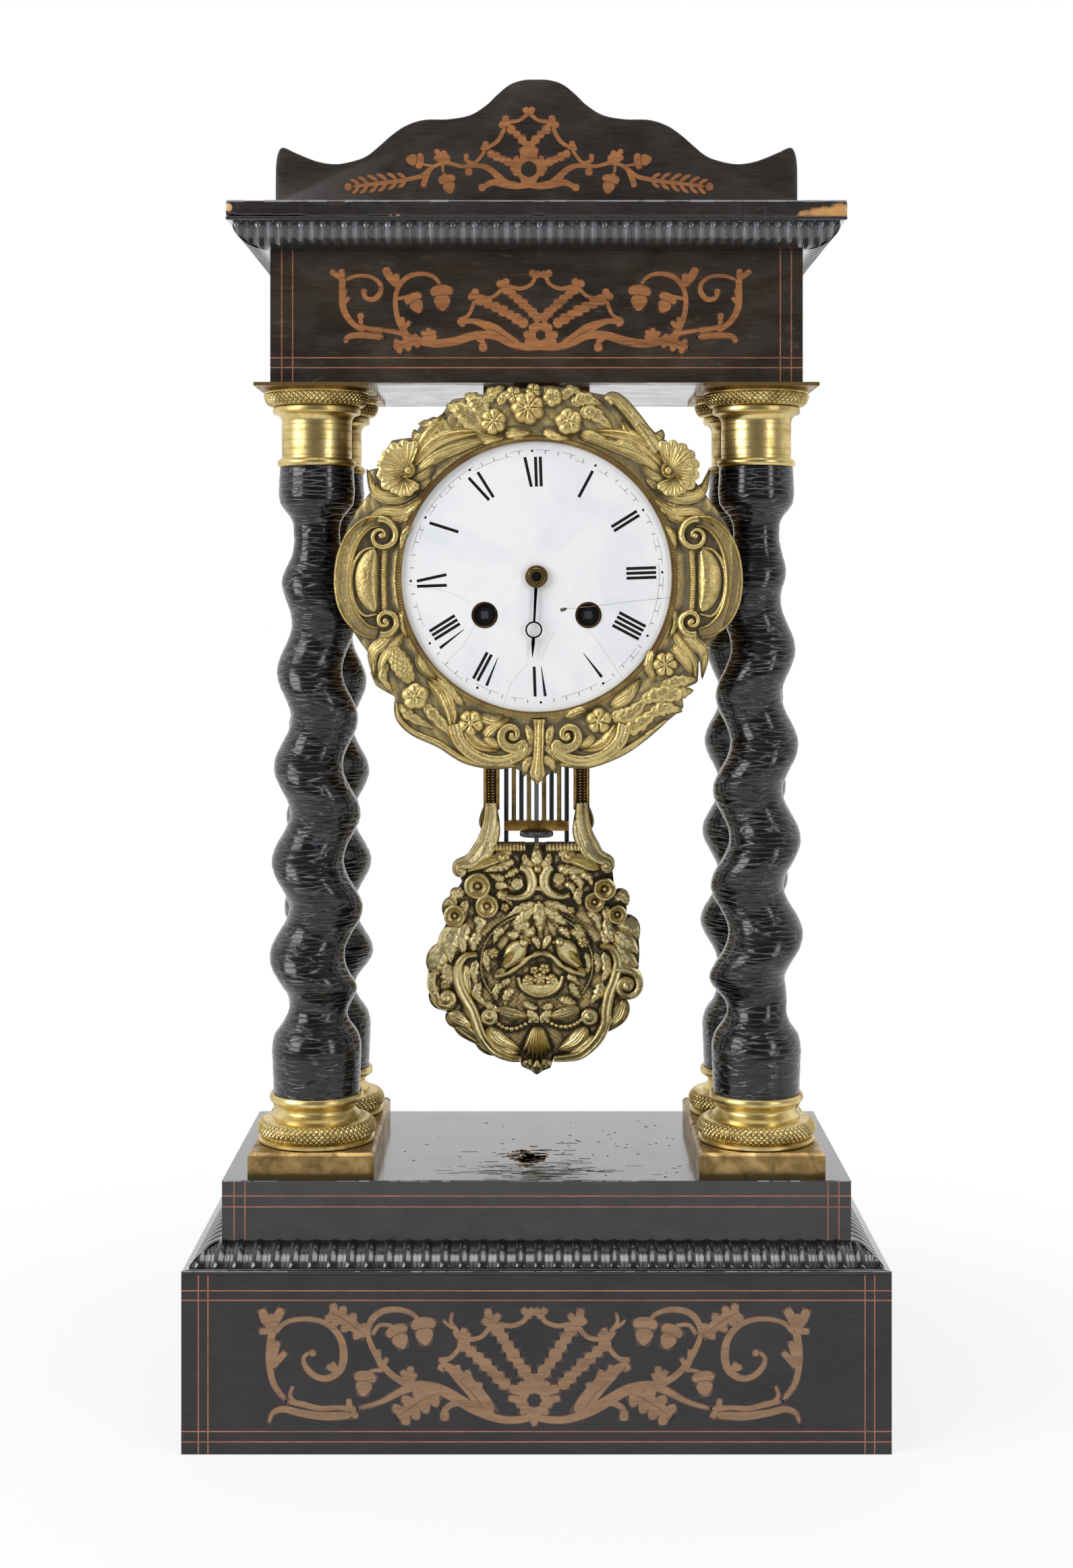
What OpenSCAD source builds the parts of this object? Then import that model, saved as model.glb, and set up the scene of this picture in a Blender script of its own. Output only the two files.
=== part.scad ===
// Portico table clock: ebonised case on four barley-twist columns, round spring movement, gridiron pendulum.
// X runs to the right, Y to the rear, Z up; the origin is the middle of the footprint. Millimetres.

/* [Base] */
// Width of the base box
base_w = 252.2; // [235:0.1:275]
// Depth of the base box
base_d = 121.7; // [118:0.1:140]
// Height of the base box
base_h = 63.7; // [45:0.1:80]
// Thickness of the base boards
board_t = 12; // [8:0.5:14]
// Thickness of the bottom board
bottom_t = 8; // [5:0.5:12]
// How far the base moulding stands out from the upper step
base_moulding_out = 12.65; // [8:0.05:16]
// Height of the base moulding and of the board behind it
base_moulding_h = 8.6; // [6:0.1:14]
// Height of the upper step, top board included
step_h = 21.5; // [18:0.1:35]
// Thickness of the upper step's top board
step_top_t = 6; // [4:0.5:9]
// Thickness of the upper step's rails
rail_t = 12; // [8:0.5:14]

/* [Columns] */
// Width of a square plinth
plinth_w = 45.8; // [42:0.1:46]
// Height of a plinth
plinth_h = 8.6; // [6:0.1:14]
// Space between the step's front edge and the front plinths
plinth_front_gap = 5.1; // [3:0.1:8]
// Space between the step's side edge and the plinths
plinth_side_gap = 8.55; // [4:0.05:12]
// Space between the front plinth and the rear plinth of a side
plinth_pair_gap = 0.3; // [0.2:0.1:4]
// Height of the turned brass base
column_base_h = 17.6; // [14:0.1:24]
// Height of the wooden column
column_h = 232.5; // [210:0.5:270]
// Widest radius of the wooden column
column_r = 16.7; // [15:0.1:18]
// Height of one turn of the barley twist
twist_pitch = 35.4; // [28:0.1:45]
// Sideways throw of the twist near the column's foot
twist_throw = 3.6; // [2:0.1:4.5]
// Height of the turned brass capital
capital_h = 28.7; // [24:0.1:36]
// Height of an outer bulge of the front left column above its foot
peak_front_left = 122; // [100:0.5:140]
// Height of an outer bulge of the front right column above its foot
peak_front_right = 130.5; // [100:0.5:140]
// Height of an outer bulge of the rear left column above its foot
peak_rear_left = 134.5; // [100:0.5:140]
// Height of an outer bulge of the rear right column above its foot
peak_rear_right = 111; // [100:0.5:140]
// Width of the square abacus plate
abacus_w = 42; // [40:0.5:45]
// Thickness of the abacus plate
abacus_t = 1.3; // [0.8:0.1:3]
// Radius of the tie rod inside a column
tie_rod_r = 2; // [1.5:0.1:2.5]

/* [Entablature] */
// Overhang of the abacus beside the entablature
abacus_side_overhang = 5.75; // [2:0.05:8]
// Overhang of the abacus in front of the entablature
abacus_front_overhang = 3.05; // [1:0.05:6]
// Height of the entablature boards
entablature_h = 58.3; // [45:0.1:75]
// Thickness of the entablature boards
entablature_t = 9; // [6:0.5:10]
// Thickness of the entablature's bottom board
soffit_t = 8; // [5:0.5:12]
// How far the cornice moulding stands out
cornice_out = 14.3; // [9:0.1:18]
// Height of the cornice moulding
cornice_h = 10.1; // [7:0.1:15]
// Thickness of the top board
top_board_t = 5.7; // [4:0.1:9]
// Width of the pediment board
pediment_w = 190.6; // [160:0.2:194]
// Height of the pediment board
pediment_h = 46.8; // [30:0.1:65]
// Thickness of the pediment board
pediment_t = 9; // [6:0.5:14]

/* [Dial and bezel] */
// Distance of the dial's centre below the entablature
dial_drop = 70.8; // [66:0.1:76]
// Visible radius of the dial
dial_r = 49.15; // [48:0.05:49.5]
// Thickness of the enamel at its edge
dial_t = 1.4; // [1:0.1:2]
// Rise of the dial's centre over its edge
dial_dome = 1.0; // [0.4:0.1:1.2]
// Distance from the middle plane of the base forward to the drum's front edge
drum_front = 33; // [31:0.1:34]
// Depth of the bezel casting's flat ground in front of the drum
bezel_t = 5; // [3:0.1:6]
// Length of the hour hand from its centre to its tip
hand_len = 29.3; // [22:0.1:33]
// Distance of each winding square from the dial's vertical centre line
winding_x = 18.9; // [18.6:0.05:19.4]
// Distance of the winding squares below the dial's centre
winding_drop = 14; // [13.4:0.1:14.6]
// Radius of the winding holes
winding_hole_r = 4.7; // [4:0.1:5.2]
// Width of a winding square across its flats
winding_square = 2.7; // [2.2:0.1:3]

/* [Movement] */
// How far the drum reaches out past the dial's visible edge
drum_over = 2.85; // [2.5:0.05:4.5]
// Wall of the drum
drum_wall = 1.2; // [0.8:0.1:1.4]
// Length of the drum
drum_len = 85; // [84:0.5:90]
// Radius of the front and back plates
plate_r = 44; // [43.5:0.1:45]
// Thickness of a plate
plate_t = 2; // [1.5:0.1:3]
// Space between the plates
plate_gap = 40; // [39:0.5:42]
// Running clearance of every pivot
run_gap = 0.06; // [0.03:0.01:0.09]
// Radius of the bell
bell_r = 29; // [24:0.5:29.5]

/* [Pendulum] */
// Distance from the middle plane of the base back to the pendulum
pendulum_y = 45; // [44:0.1:46]
// Height of the suspension above the dial's centre
suspension_up = 40.3; // [39.5:0.1:40.5]
// Radius of the bob's round middle
bob_r = 40; // [34:0.5:42]
// Distance of the bob's centre below the dial's centre
bob_drop = 154.7; // [150:0.1:160]
// Outer width of the gilt strips beside the rods
frame_w = 43; // [40:0.5:46]
// Width of one gilt strip
strip_w = 6.8; // [5:0.1:8]
// Radius of a pendulum rod
rod_r = 0.9; // [0.7:0.05:1.1]
// Distance between neighbouring rods
rod_pitch = 3.04; // [2.8:0.02:3.1]
// Radius of the rating nut
nut_r = 6.75; // [5:0.05:7.5]

/* [Hidden] */
$fn = 64;
FIT = 0.02;
BITE = 1;
HOLE_GAP = 0.3;
// Glue line that keeps neighbouring boards and mitred strips separate pieces
SEAM = 0.1;

step_w = base_w - 2 * base_moulding_out;
step_front = -base_d / 2 + base_moulding_out;
rear = base_d / 2;
base_top_z = base_h + base_moulding_h;
step_z = base_top_z + step_h;
col_x = step_w / 2 - plinth_side_gap - plinth_w / 2;
col_front_y = step_front + plinth_front_gap + plinth_w / 2;
col_rear_y = col_front_y + plinth_w + plinth_pair_gap;
column_z = step_z + plinth_h + column_base_h;
capital_z = column_z + column_h;
abacus_z = capital_z + capital_h;
soffit_z = abacus_z + abacus_t;
dial_z = soffit_z - dial_drop;
drum_r = dial_r + drum_over;
bob_z = dial_z - bob_drop;
ent_w = 2 * (col_x + abacus_w / 2 - abacus_side_overhang);
ent_front = col_front_y - abacus_w / 2 + abacus_front_overhang;
cornice_top = soffit_z + entablature_h;
pediment_z = cornice_top + top_board_t;
tie_nut_r = 4;
tie_nut_h = 4;
tie_end = 2;

front_y = -drum_front;
dial_back = front_y - 4;
dial_plate_t = 1;
lip_t = 2.6;
bezel_front = front_y - bezel_t - lip_t;
ring_t = 2;
ring_w = 8.8;
dial_gap = 0.06;
plate_front = front_y + 3;
plate_back = plate_front + plate_t + plate_gap;
drum_end = front_y + drum_len;
pivot_r = 0.8;
pillar_r = 2.5;
pillar_at = 39;
pillar_angles = [20, 160, 255, 285];
dial_foot_r = 1.2;
dial_foot_at = 34;
dial_foot_angles = [90, 200, 340];

// Teeth of the going train and its modules, from the barrel to the escape wheel
great_teeth = 84;
leaves_12 = 12;
great_m = 0.42;
second_m = 0.36;
centre_teeth = 80;
leaves_8 = 8;
centre_m = 0.36;
third_m = 0.32;
escape_teeth = 40;
escape_r = 11.5;
// Motion work: 10 into 30, then 8 into 32, gives the hour hand a twelfth of the minute arbor's speed
motion_m = 0.5;
cannon_leaves = 10;
minute_teeth = 30;
hour_teeth = 32;
fly_m = 0.34;
pin_teeth = 48;

// Planes of the wheels, measured from the front plate's rear face
in_y = plate_front + plate_t;
barrel_y = in_y + 4;
barrel_len = 20;
barrel_r = 16.6;
great_y = barrel_y + barrel_len - 2;
second_y = great_y + 5;
centre_y = great_y + 10;
third_y = great_y + 14;
escape_y = great_y;

// Centres of the arbors in the plane of the dial, [right, up] from the dial's centre
barrel_at = [winding_x, -winding_drop];
great_reach = great_m * (great_teeth + leaves_12) / 2;
second_reach = second_m * (great_teeth + leaves_12) / 2;
centre_reach = centre_m * (centre_teeth + leaves_8) / 2;
third_reach = third_m * (centre_teeth + leaves_8) / 2;
fly_reach = fly_m * (pin_teeth + leaves_8) / 2;
motion_reach = motion_m * (cannon_leaves + minute_teeth) / 2;
escape_at = [0, suspension_up - 17];
second_at = meet([0, 0], second_reach, barrel_at, great_reach);
third_at = meet([0, 0], centre_reach, escape_at, third_reach);
pin_at = [-winding_x, -winding_drop] + great_reach * [cos(125), sin(125)];
fly_at = pin_at + fly_reach * [cos(60), sin(60)];
minute_at = motion_reach * [cos(60), sin(60)];
hammer_at = [-39, -15];
hammer_head_at = [-31.5, 4.5];
bell_at = [0, -8];
bell_y = plate_back + plate_t + 6;
bell_depth = 14;
bell_wall = 1.6;
cock_y = bell_y + bell_depth + 2;
ratchet_r = 8.5;
ratchet_teeth = 24;
click_gap = 0.35;
click_stud_r = 0.7;

rod_top_z = dial_z + suspension_up - 11;
yoke_z = dial_z - drum_r - 10;
cross_z = bob_z + 53.5;
cross_h = 4;
cross_w = 26.1;
nut_h = 2.4;
rod_end_z = bob_z + 48.5;
rods_n = 9;
frame_t = 4;
bob_t = 7;
bar_z = bob_z + 43;
bar_h = 6;

// The upper left meeting point of two circles, seen from the first centre towards the second
function meet(a, ra, b, rb) =
    let (d = norm(b - a), u = (b - a) / d, t = (ra * ra - rb * rb + d * d) / (2 * d), h = sqrt(ra * ra - t * t))
    a + t * u + h * [-u[1], u[0]];
// Angle from one arbor to another as a wheel's own plane sees it
function bearing(a, b) = atan2(-(b[1] - a[1]), b[0] - a[0]);
// Outline of a toothed wheel: a trapezium per tooth, with one tooth centred on the phase angle
function tooth_points(n, m, phase, add, ded, foot, tip) =
    [for (i = [0:n - 1], q = [[-foot, -ded], [-tip, add], [tip, add], [foot, -ded]])
        let (a = phase + i * 360 / n + q[0] * 180 / n, r = m * n / 2 + q[1] * m) [r * cos(a), r * sin(a)]];
// Outline mirrored about the vertical axis, from its right half
function both_sides(half) =
    concat(half, [for (i = [len(half) - 1:-1:0]) if (half[i][0] > 0) [-half[i][0], half[i][1]]]);

// Pivot of a click, beside and a little below its ratchet wheel
function click_pivot(at, side) = at + (ratchet_r + 3.2) * [side * cos(20), -sin(20)];

// Places its children on an arbor of the movement; their Z axis runs to the rear
module at_arbor(at, y) {
    translate([at[0], y, dial_z + at[1]]) rotate([-90, 0, 0]) children();
}
module rod_y(at, y0, y1, r) {
    at_arbor(at, y0) cylinder(r = r, h = y1 - y0);
}
module wheel(at, y, n, m, t, phase, hub_r) {
    rim = m * n / 2 - 3 * m;
    at_arbor(at, y) difference() {
        linear_extrude(t) polygon(tooth_points(n, m, phase, 0.95, 1.25, 0.58, 0.20));
        if (rim > 5) for (a = [0:72:359]) rotate(a + 36) translate([(rim + hub_r) / 2, 0, -BITE])
            cylinder(r = (rim - hub_r) / 2 - 0.9, h = t + 2 * BITE);
    }
}
module pinion(at, y0, y1, n, m, phase) {
    at_arbor(at, y0) linear_extrude(y1 - y0) polygon(tooth_points(n, m, phase, 0.70, 1.30, 0.44, 0.16));
}
module on_columns() {
    for (x = [-col_x, col_x], y = [col_front_y, col_rear_y]) translate([x, y, 0]) children();
}
// A board given by its corners
module board(x0, x1, y0, y1, z0, z1) {
    translate([x0, y0, z0]) cube([x1 - x0, y1 - y0, z1 - z0]);
}
// Three mitred strips of an ovolo round the front and the sides of a block; drop is 1 for the base, -1 for the cornice
module ovolo(w, front, out, h, z, drop) {
    lip = 1.2;
    reach = out - 2.4;
    curve = [for (a = [0:9:90]) [reach * sin(a), lip + (h - lip) * cos(a)]];
    profile = concat([[0, 0]], [for (p = curve) p], [[out, lip], [out, 0]]);
    placed = [for (p = profile) [p[0], drop > 0 ? p[1] : h - p[1]]];
    intersection() {
        translate([-w / 2 - out, front, z]) rotate([90, 0, 90])
            linear_extrude(w + 2 * out) polygon([for (p = placed) [-p[0], p[1]]]);
        translate([0, 0, z - BITE]) linear_extrude(h + 2 * BITE)
            polygon([[SEAM - w / 2 - out, front - out], [w / 2 + out - SEAM, front - out], [w / 2 - SEAM, front], [SEAM - w / 2, front]]);
    }
    for (s = [-1, 1]) intersection() {
        translate([s * w / 2, rear, z]) rotate([90, 0, 0])
            linear_extrude(rear - front + out) polygon([for (p = placed) [s * p[0], p[1]]]);
        translate([0, 0, z - BITE]) linear_extrude(h + 2 * BITE)
            polygon([[s * w / 2, front], [s * (w / 2 + out), front - out], [s * (w / 2 + out), rear], [s * w / 2, rear]]);
    }
}

module base_front() {
    color("#2b2826") board(-base_w / 2, base_w / 2, -base_d / 2, -base_d / 2 + board_t, 0, base_h);
}
module base_side_and_back_boards() {
    color("#2b2826") {
        for (s = [-1, 1]) translate([s * (base_w - board_t) / 2, 0, base_h / 2])
            cube([board_t, base_d - 2 * board_t - 2 * SEAM, base_h], center = true);
        board(-base_w / 2, base_w / 2, rear - board_t, rear, 0, base_h);
    }
}
module base_bottom() {
    color("#a97b4c") board(-base_w / 2 + board_t, base_w / 2 - board_t, -base_d / 2 + board_t, rear - board_t, 0, bottom_t);
}
module base_top() {
    color("#2b2826") board(-step_w / 2, step_w / 2, step_front, rear, base_h, base_top_z);
}
module base_moulding() {
    color("#141313") ovolo(step_w, step_front, base_moulding_out, base_moulding_h, base_h, 1);
}
module step_rails() {
    top = step_z - step_top_t;
    color("#2b2826") {
        board(-step_w / 2, step_w / 2, step_front, step_front + rail_t, base_top_z, top);
        board(-step_w / 2, step_w / 2, rear - rail_t, rear, base_top_z, top);
        for (s = [-1, 1]) translate([s * (step_w - rail_t) / 2, (step_front + rear) / 2, (base_top_z + top) / 2])
            cube([rail_t, rear - step_front - 2 * rail_t - 2 * SEAM, top - base_top_z], center = true);
    }
}
module step_top() {
    color("#1c1a19") difference() {
        board(-step_w / 2, step_w / 2, step_front, rear, step_z - step_top_t, step_z);
        on_columns() translate([0, 0, step_z - step_top_t - BITE]) cylinder(r = tie_rod_r + HOLE_GAP, h = step_top_t + 2 * BITE);
    }
}

// A square plate with its top edge chamfered, drilled for the tie rod
module plinths() {
    cut = 1;
    color("#b58a3c") on_columns() difference() {
        translate([-plinth_w / 2, -plinth_w / 2, step_z]) cube([plinth_w, plinth_w, plinth_h]);
        for (a = [0:90:359]) rotate(a) translate([plinth_w / 2, 0, step_z + plinth_h]) rotate([0, 45, 0])
            cube([cut * sqrt(2), plinth_w + 2, cut * sqrt(2)], center = true);
        translate([0, 0, step_z - BITE]) cylinder(r = tie_rod_r + HOLE_GAP, h = plinth_h + 2 * BITE);
    }
}
// Attic base: big torus, fillet, hollow, top collar; radii are set out from the column's widest radius
module column_bases() {
    bore = tie_rod_r + HOLE_GAP;
    torus_h = 8.6;
    torus_r = column_r + 5.1;
    half = torus_h / 2;
    hollow = column_base_h - torus_h;
    torus = [for (a = [-90:15:90]) [torus_r - half + half * cos(a), half + half * sin(a)]];
    scotia = [for (a = [0:15:90]) [column_r - 0.4 - 1.9 * sin(2 * a), torus_h + 1 + (hollow - 4) * a / 90]];
    collar = [[column_r + 0.6, column_base_h - 2.4], [column_r + 0.6, column_base_h - 0.5], [column_r + 0.1, column_base_h]];
    color("#d7a441") on_columns() translate([0, 0, step_z + plinth_h])
        rotate_extrude() polygon(concat([[bore, 0]], torus, [[column_r - 0.4, torus_h]], scotia, collar, [[bore, column_base_h]]));
}

// Radius and throw of the wooden column against height over its foot
column_shape = [[0, 0.958], [10, 0.982], [17, 1], [22, 0.94], [26, 0.74], [30, 0.645], [34, 0.70], [40, 0.84], [60, 0.83],
    [120, 0.77], [180, 0.70], [192, 0.66], [200, 0.54], [206, 0.51], [212, 0.52], [216, 0.66], [218, 0.81], [223, 0.85], [232.5, 0.82]];
throw_shape = [[28, 0], [42, 1], [120, 0.86], [188, 0.64], [206, 0]];
column_ref_h = 232.5;
column_sides = 14;
function column_rings() = concat([0, 10, 17, 22, 26, 28, 30, 32, 34, 37], [for (z = [40.5:4.4:205]) z],
    [207, 209.5, 212, 214, 216, 218, 223, 232.5]);
// A single-start twist: a round section whose centre circles the axis as it climbs.
// hand is 1 where the ridge falls to the right across the front; peak is the height of an outer bulge above the foot
module twisted_column(hand, peak) {
    zs = column_rings();
    n = column_sides;
    points = [for (z = zs, i = [0:n - 1])
        let (f = column_h / column_ref_h, up = z * f,
            turn = 180 - 360 * (up - peak) / twist_pitch,
            r = column_r * lookup(z, column_shape), e = twist_throw * lookup(z, throw_shape), a = i * 360 / n)
        [hand * (e * cos(turn) + r * cos(a)), e * sin(turn) + r * sin(a), column_z + up]];
    sides = [for (k = [0:len(zs) - 2], i = [0:n - 1], half = [0, 1])
        let (a = k * n + i, b = k * n + (i + 1) % n) half == 0 ? [a, a + n, b] : [b, a + n, b + n]];
    caps = [[for (i = [0:n - 1]) i], [for (i = [n - 1:-1:0]) (len(zs) - 1) * n + i]];
    faces = concat(sides, caps);
    difference() {
        polyhedron(points, hand > 0 ? faces : [for (f = faces) [for (i = [len(f) - 1:-1:0]) f[i]]], convexity = 6);
        translate([0, 0, column_z - BITE]) cylinder(r = tie_rod_r + HOLE_GAP, h = column_h + 2 * BITE);
    }
}
module column_front_left() {
    color("#121212") translate([-col_x, col_front_y, 0]) twisted_column(1, peak_front_left);
}
module column_front_right() {
    color("#121212") translate([col_x, col_front_y, 0]) twisted_column(-1, peak_front_right);
}
module column_rear_left() {
    color("#121212") translate([-col_x, col_rear_y, 0]) twisted_column(1, peak_rear_left);
}
module column_rear_right() {
    color("#121212") translate([col_x, col_rear_y, 0]) twisted_column(-1, peak_rear_right);
}
// Tuscan capital: bead, neck, fillet and flaring echinus
module capitals() {
    bore = tie_rod_r + HOLE_GAP;
    neck = column_r - 3.7;
    bead = [for (a = [-90:18:90]) [neck + 1.6 * cos(a), 1.6 + 1.6 * sin(a)]];
    flare_z = capital_h - 8.5;
    flare = [for (a = [0:12:60]) [neck + 1.2 + 5.1 * (1 - cos(a)) * 2, flare_z + 6 * a / 60]];
    color("#d7a441") on_columns() translate([0, 0, capital_z]) rotate_extrude()
        polygon(concat([[bore, 0]], bead, [[neck, 3.4], [neck, flare_z - 3], [neck + 1, flare_z - 2.4], [neck + 1, flare_z - 0.8]],
            flare, [[neck + 6.3, capital_h - 1.4], [neck + 5.6, capital_h], [bore, capital_h]]));
}
module abacus_plates() {
    color("#c9973c") on_columns() difference() {
        translate([-abacus_w / 2, -abacus_w / 2, abacus_z]) cube([abacus_w, abacus_w, abacus_t]);
        translate([0, 0, abacus_z - BITE]) cylinder(r = tie_rod_r + HOLE_GAP, h = abacus_t + 2 * BITE);
    }
}
module tie_rods() {
    low = step_z - step_top_t - tie_nut_h - tie_end;
    color("#6d6d70") on_columns() translate([0, 0, low])
        cylinder(r = tie_rod_r, h = soffit_z + soffit_t + tie_nut_h + tie_end - low);
}
module tie_nuts() {
    color("#8a8a8e") on_columns() for (z = [step_z - step_top_t - tie_nut_h, soffit_z + soffit_t]) translate([0, 0, z]) difference() {
        linear_extrude(tie_nut_h) circle(r = tie_nut_r, $fn = 6);
        translate([0, 0, -BITE]) cylinder(r = tie_rod_r + FIT, h = tie_nut_h + 2 * BITE);
    }
}

module entablature_front() {
    color("#2f2922") board(-ent_w / 2, ent_w / 2, ent_front, ent_front + entablature_t, soffit_z, cornice_top);
}
module entablature_side_and_back_boards() {
    color("#2f2922") {
        for (s = [-1, 1]) translate([s * (ent_w - entablature_t) / 2, (ent_front + rear) / 2, (soffit_z + cornice_top) / 2])
            cube([entablature_t, rear - ent_front - 2 * entablature_t - 2 * SEAM, entablature_h], center = true);
        board(-ent_w / 2, ent_w / 2, rear - entablature_t, rear, soffit_z, cornice_top);
    }
}
module bracket_holes(z, h, r) {
    for (x = [-1, 1], y = [-1, 1]) translate([x * bracket_w * 0.36, bracket_mid + y * bracket_len * 0.36, z]) cylinder(r = r, h = h);
}
module entablature_bottom() {
    color("#3b3a3c") difference() {
        board(-ent_w / 2 + entablature_t, ent_w / 2 - entablature_t, ent_front + entablature_t, rear - entablature_t, soffit_z, soffit_z + soffit_t);
        on_columns() translate([0, 0, soffit_z - BITE]) cylinder(r = tie_rod_r + HOLE_GAP, h = soffit_t + 2 * BITE);
        bracket_holes(soffit_z - BITE, BITE + screw_len - bracket_t, screw_r + FIT);
    }
}
module cornice_moulding() {
    color("#141313") ovolo(ent_w, ent_front, cornice_out, cornice_h, cornice_top - cornice_h, -1);
}
module top_board() {
    w = ent_w + 2 * cornice_out;
    color("#26211c") board(-w / 2, w / 2, ent_front - cornice_out, rear, cornice_top, pediment_z);
}
// The pediment's right half as shares of its half width and of its height
pediment_half = [[1, 0], [1, 0.25], [0.992, 0.40], [0.97, 0.47], [0.92, 0.425], [0.84, 0.36], [0.765, 0.34], [0.69, 0.37],
    [0.645, 0.41], [0.60, 0.485], [0.555, 0.565], [0.50, 0.64], [0.43, 0.685], [0.34, 0.69], [0.255, 0.722], [0.192, 0.80],
    [0.151, 0.88], [0.102, 0.96], [0.05, 0.995], [0, 1]];
module pediment() {
    half = [for (p = pediment_half) [p[0] * pediment_w / 2, p[1] * pediment_h]];
    color("#2f2922") translate([0, ent_front + pediment_t, pediment_z]) rotate([90, 0, 0]) linear_extrude(pediment_t) polygon(both_sides(half));
}

// Outline of the bezel casting: disc, two scrolled ears, crown, shell flowers, lower flowers, scrolls and drop
module bezel_outline() {
    k = dial_r / 49.15;
    scale(k) {
        circle(r = 60);
        for (s = [-1, 1]) {
            translate([s * 46.5, -1]) circle(r = 26);
            translate([s * 22, 49]) circle(r = 17);
            translate([s * 42, 41]) circle(r = 13);
            polygon([[s * 45, 28], [s * 58, 27], [s * 60, 34], [s * 58.5, 41.5], [s * 52, 38]]);
            translate([s * 46, -42]) circle(r = 10.5);
            polygon([[s * 50, -20], [s * 60, -29], [s * 58, -38], [s * 52, -42]]);
            translate([s * 35, -49]) circle(r = 12);
            translate([s * 18, -52]) circle(r = 17);
        }
        translate([0, 52]) circle(r = 17);
        translate([0, -66]) circle(r = 9.5);
    }
}
module bezel() {
    k = dial_r / 49.15;
    seat = front_y - dial_back + dial_t;
    color("#c79a3a") difference() {
        union() {
            at_arbor([0, 0], front_y - bezel_t) mirror([0, 1]) linear_extrude(bezel_t) bezel_outline();
            at_arbor([0, 0], bezel_front) rotate_extrude()
                polygon([[dial_r - 2, 0.4], [dial_r + 0.6, 0], [dial_r + 3, 0.8], [dial_r + 6, lip_t + 1], [dial_r - 2, lip_t + 1]]);
            for (s = [-1, 1]) {
                for (z = [-8:2:8]) at_arbor([s * 60 * k, z * k], front_y - bezel_t - 1) sphere(r = 4.2 * k, $fn = 32);
                for (p = [[42, 41, 9], [46, -42, 7], [22, 55, 7], [19, -53, 7], [59, 17, 5], [59, -18, 5]])
                    at_arbor([s * p[0] * k, p[1] * k], front_y - bezel_t + 4) sphere(r = (p[2] + 0.6) * k, $fn = 32);
            }
            for (p = [[0, 58, 8], [0, -66, 7]]) at_arbor([p[0], p[1] * k], front_y - bezel_t + 4) sphere(r = p[2] * k, $fn = 32);
        }
        at_arbor([0, 0], front_y - seat - dial_gap) cylinder(r = drum_r - drum_wall, h = seat + 12);
        at_arbor([0, 0], bezel_front - BITE) cylinder(r = dial_r, h = bezel_t + lip_t + 2 * BITE);
        at_arbor([0, 0], front_y) cylinder(r = 90, h = 12);
    }
}
module dial() {
    edge = dial_r + 0.9;
    sphere_r = (edge * edge + dial_dome * dial_dome) / (2 * dial_dome);
    dome = [for (i = [0:8]) let (r = edge * i / 8) [r, dial_t + sqrt(sphere_r * sphere_r - r * r) - (sphere_r - dial_dome)]];
    color("#f4f3ee") difference() {
        translate([0, dial_back, dial_z]) rotate([90, 0, 0]) rotate_extrude() polygon(concat([[0, 0]], dome, [[edge, 0]]));
        rod_y([0, 0], dial_back - 4, dial_back + BITE, 3.4);
        for (s = [-1, 1]) rod_y([s * winding_x, -winding_drop], dial_back - 4, dial_back + BITE, winding_hole_r);
    }
}
module dial_plate() {
    color("#b98f45") {
        difference() {
            rod_y([0, 0], dial_back, dial_back + dial_plate_t, dial_r + 0.9);
            rod_y([0, 0], dial_back - BITE, dial_back + dial_plate_t + BITE, 3.6);
            for (s = [-1, 1]) rod_y([s * winding_x, -winding_drop], dial_back - BITE, dial_back + dial_plate_t + BITE, winding_hole_r + 0.3);
        }
        for (a = dial_foot_angles) rod_y(dial_foot_at * [cos(a), sin(a)], dial_back + dial_plate_t, plate_front, dial_foot_r);
    }
}
// Thin hand with a ring near its tip, on a turned boss that grips the hour pipe
module hour_hand() {
    at = dial_back - 4.3;
    ring = hand_len * 0.66;
    color("#1d2638") difference() {
        union() {
            rod_y([0, 0], at - 0.4, at + 1, 4);
            at_arbor([0, 0], at) linear_extrude(0.6) {
                polygon([[-0.55, 3], [0.55, 3], [0.35, ring - 2.6], [-0.35, ring - 2.6]]);
                translate([0, ring]) difference() {
                    circle(r = 3.1);
                    circle(r = 2.5);
                }
                polygon([[-0.7, ring + 2.7], [0.7, ring + 2.7], [0.12, hand_len], [-0.12, hand_len]]);
            }
        }
        rod_y([0, 0], at - BITE, at + 2, hour_pipe_r);
    }
}

cannon_pipe_r = 1.85;
hour_pipe_r = 2.6;
centre_arbor_r = 1.1;
winding_arbor_r = 2.5;
rear_pivot_r = 1.5;
hammer_arbor_r = 1;
train_arbors = [second_at, third_at, escape_at, [0, suspension_up], pin_at, fly_at];
slot_half = 8;
bracket_w = 40;
bracket_len = 50;
bracket_mid = 12;
bracket_t = 3;
screw_r = 1.6;
screw_len = 9;

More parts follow.
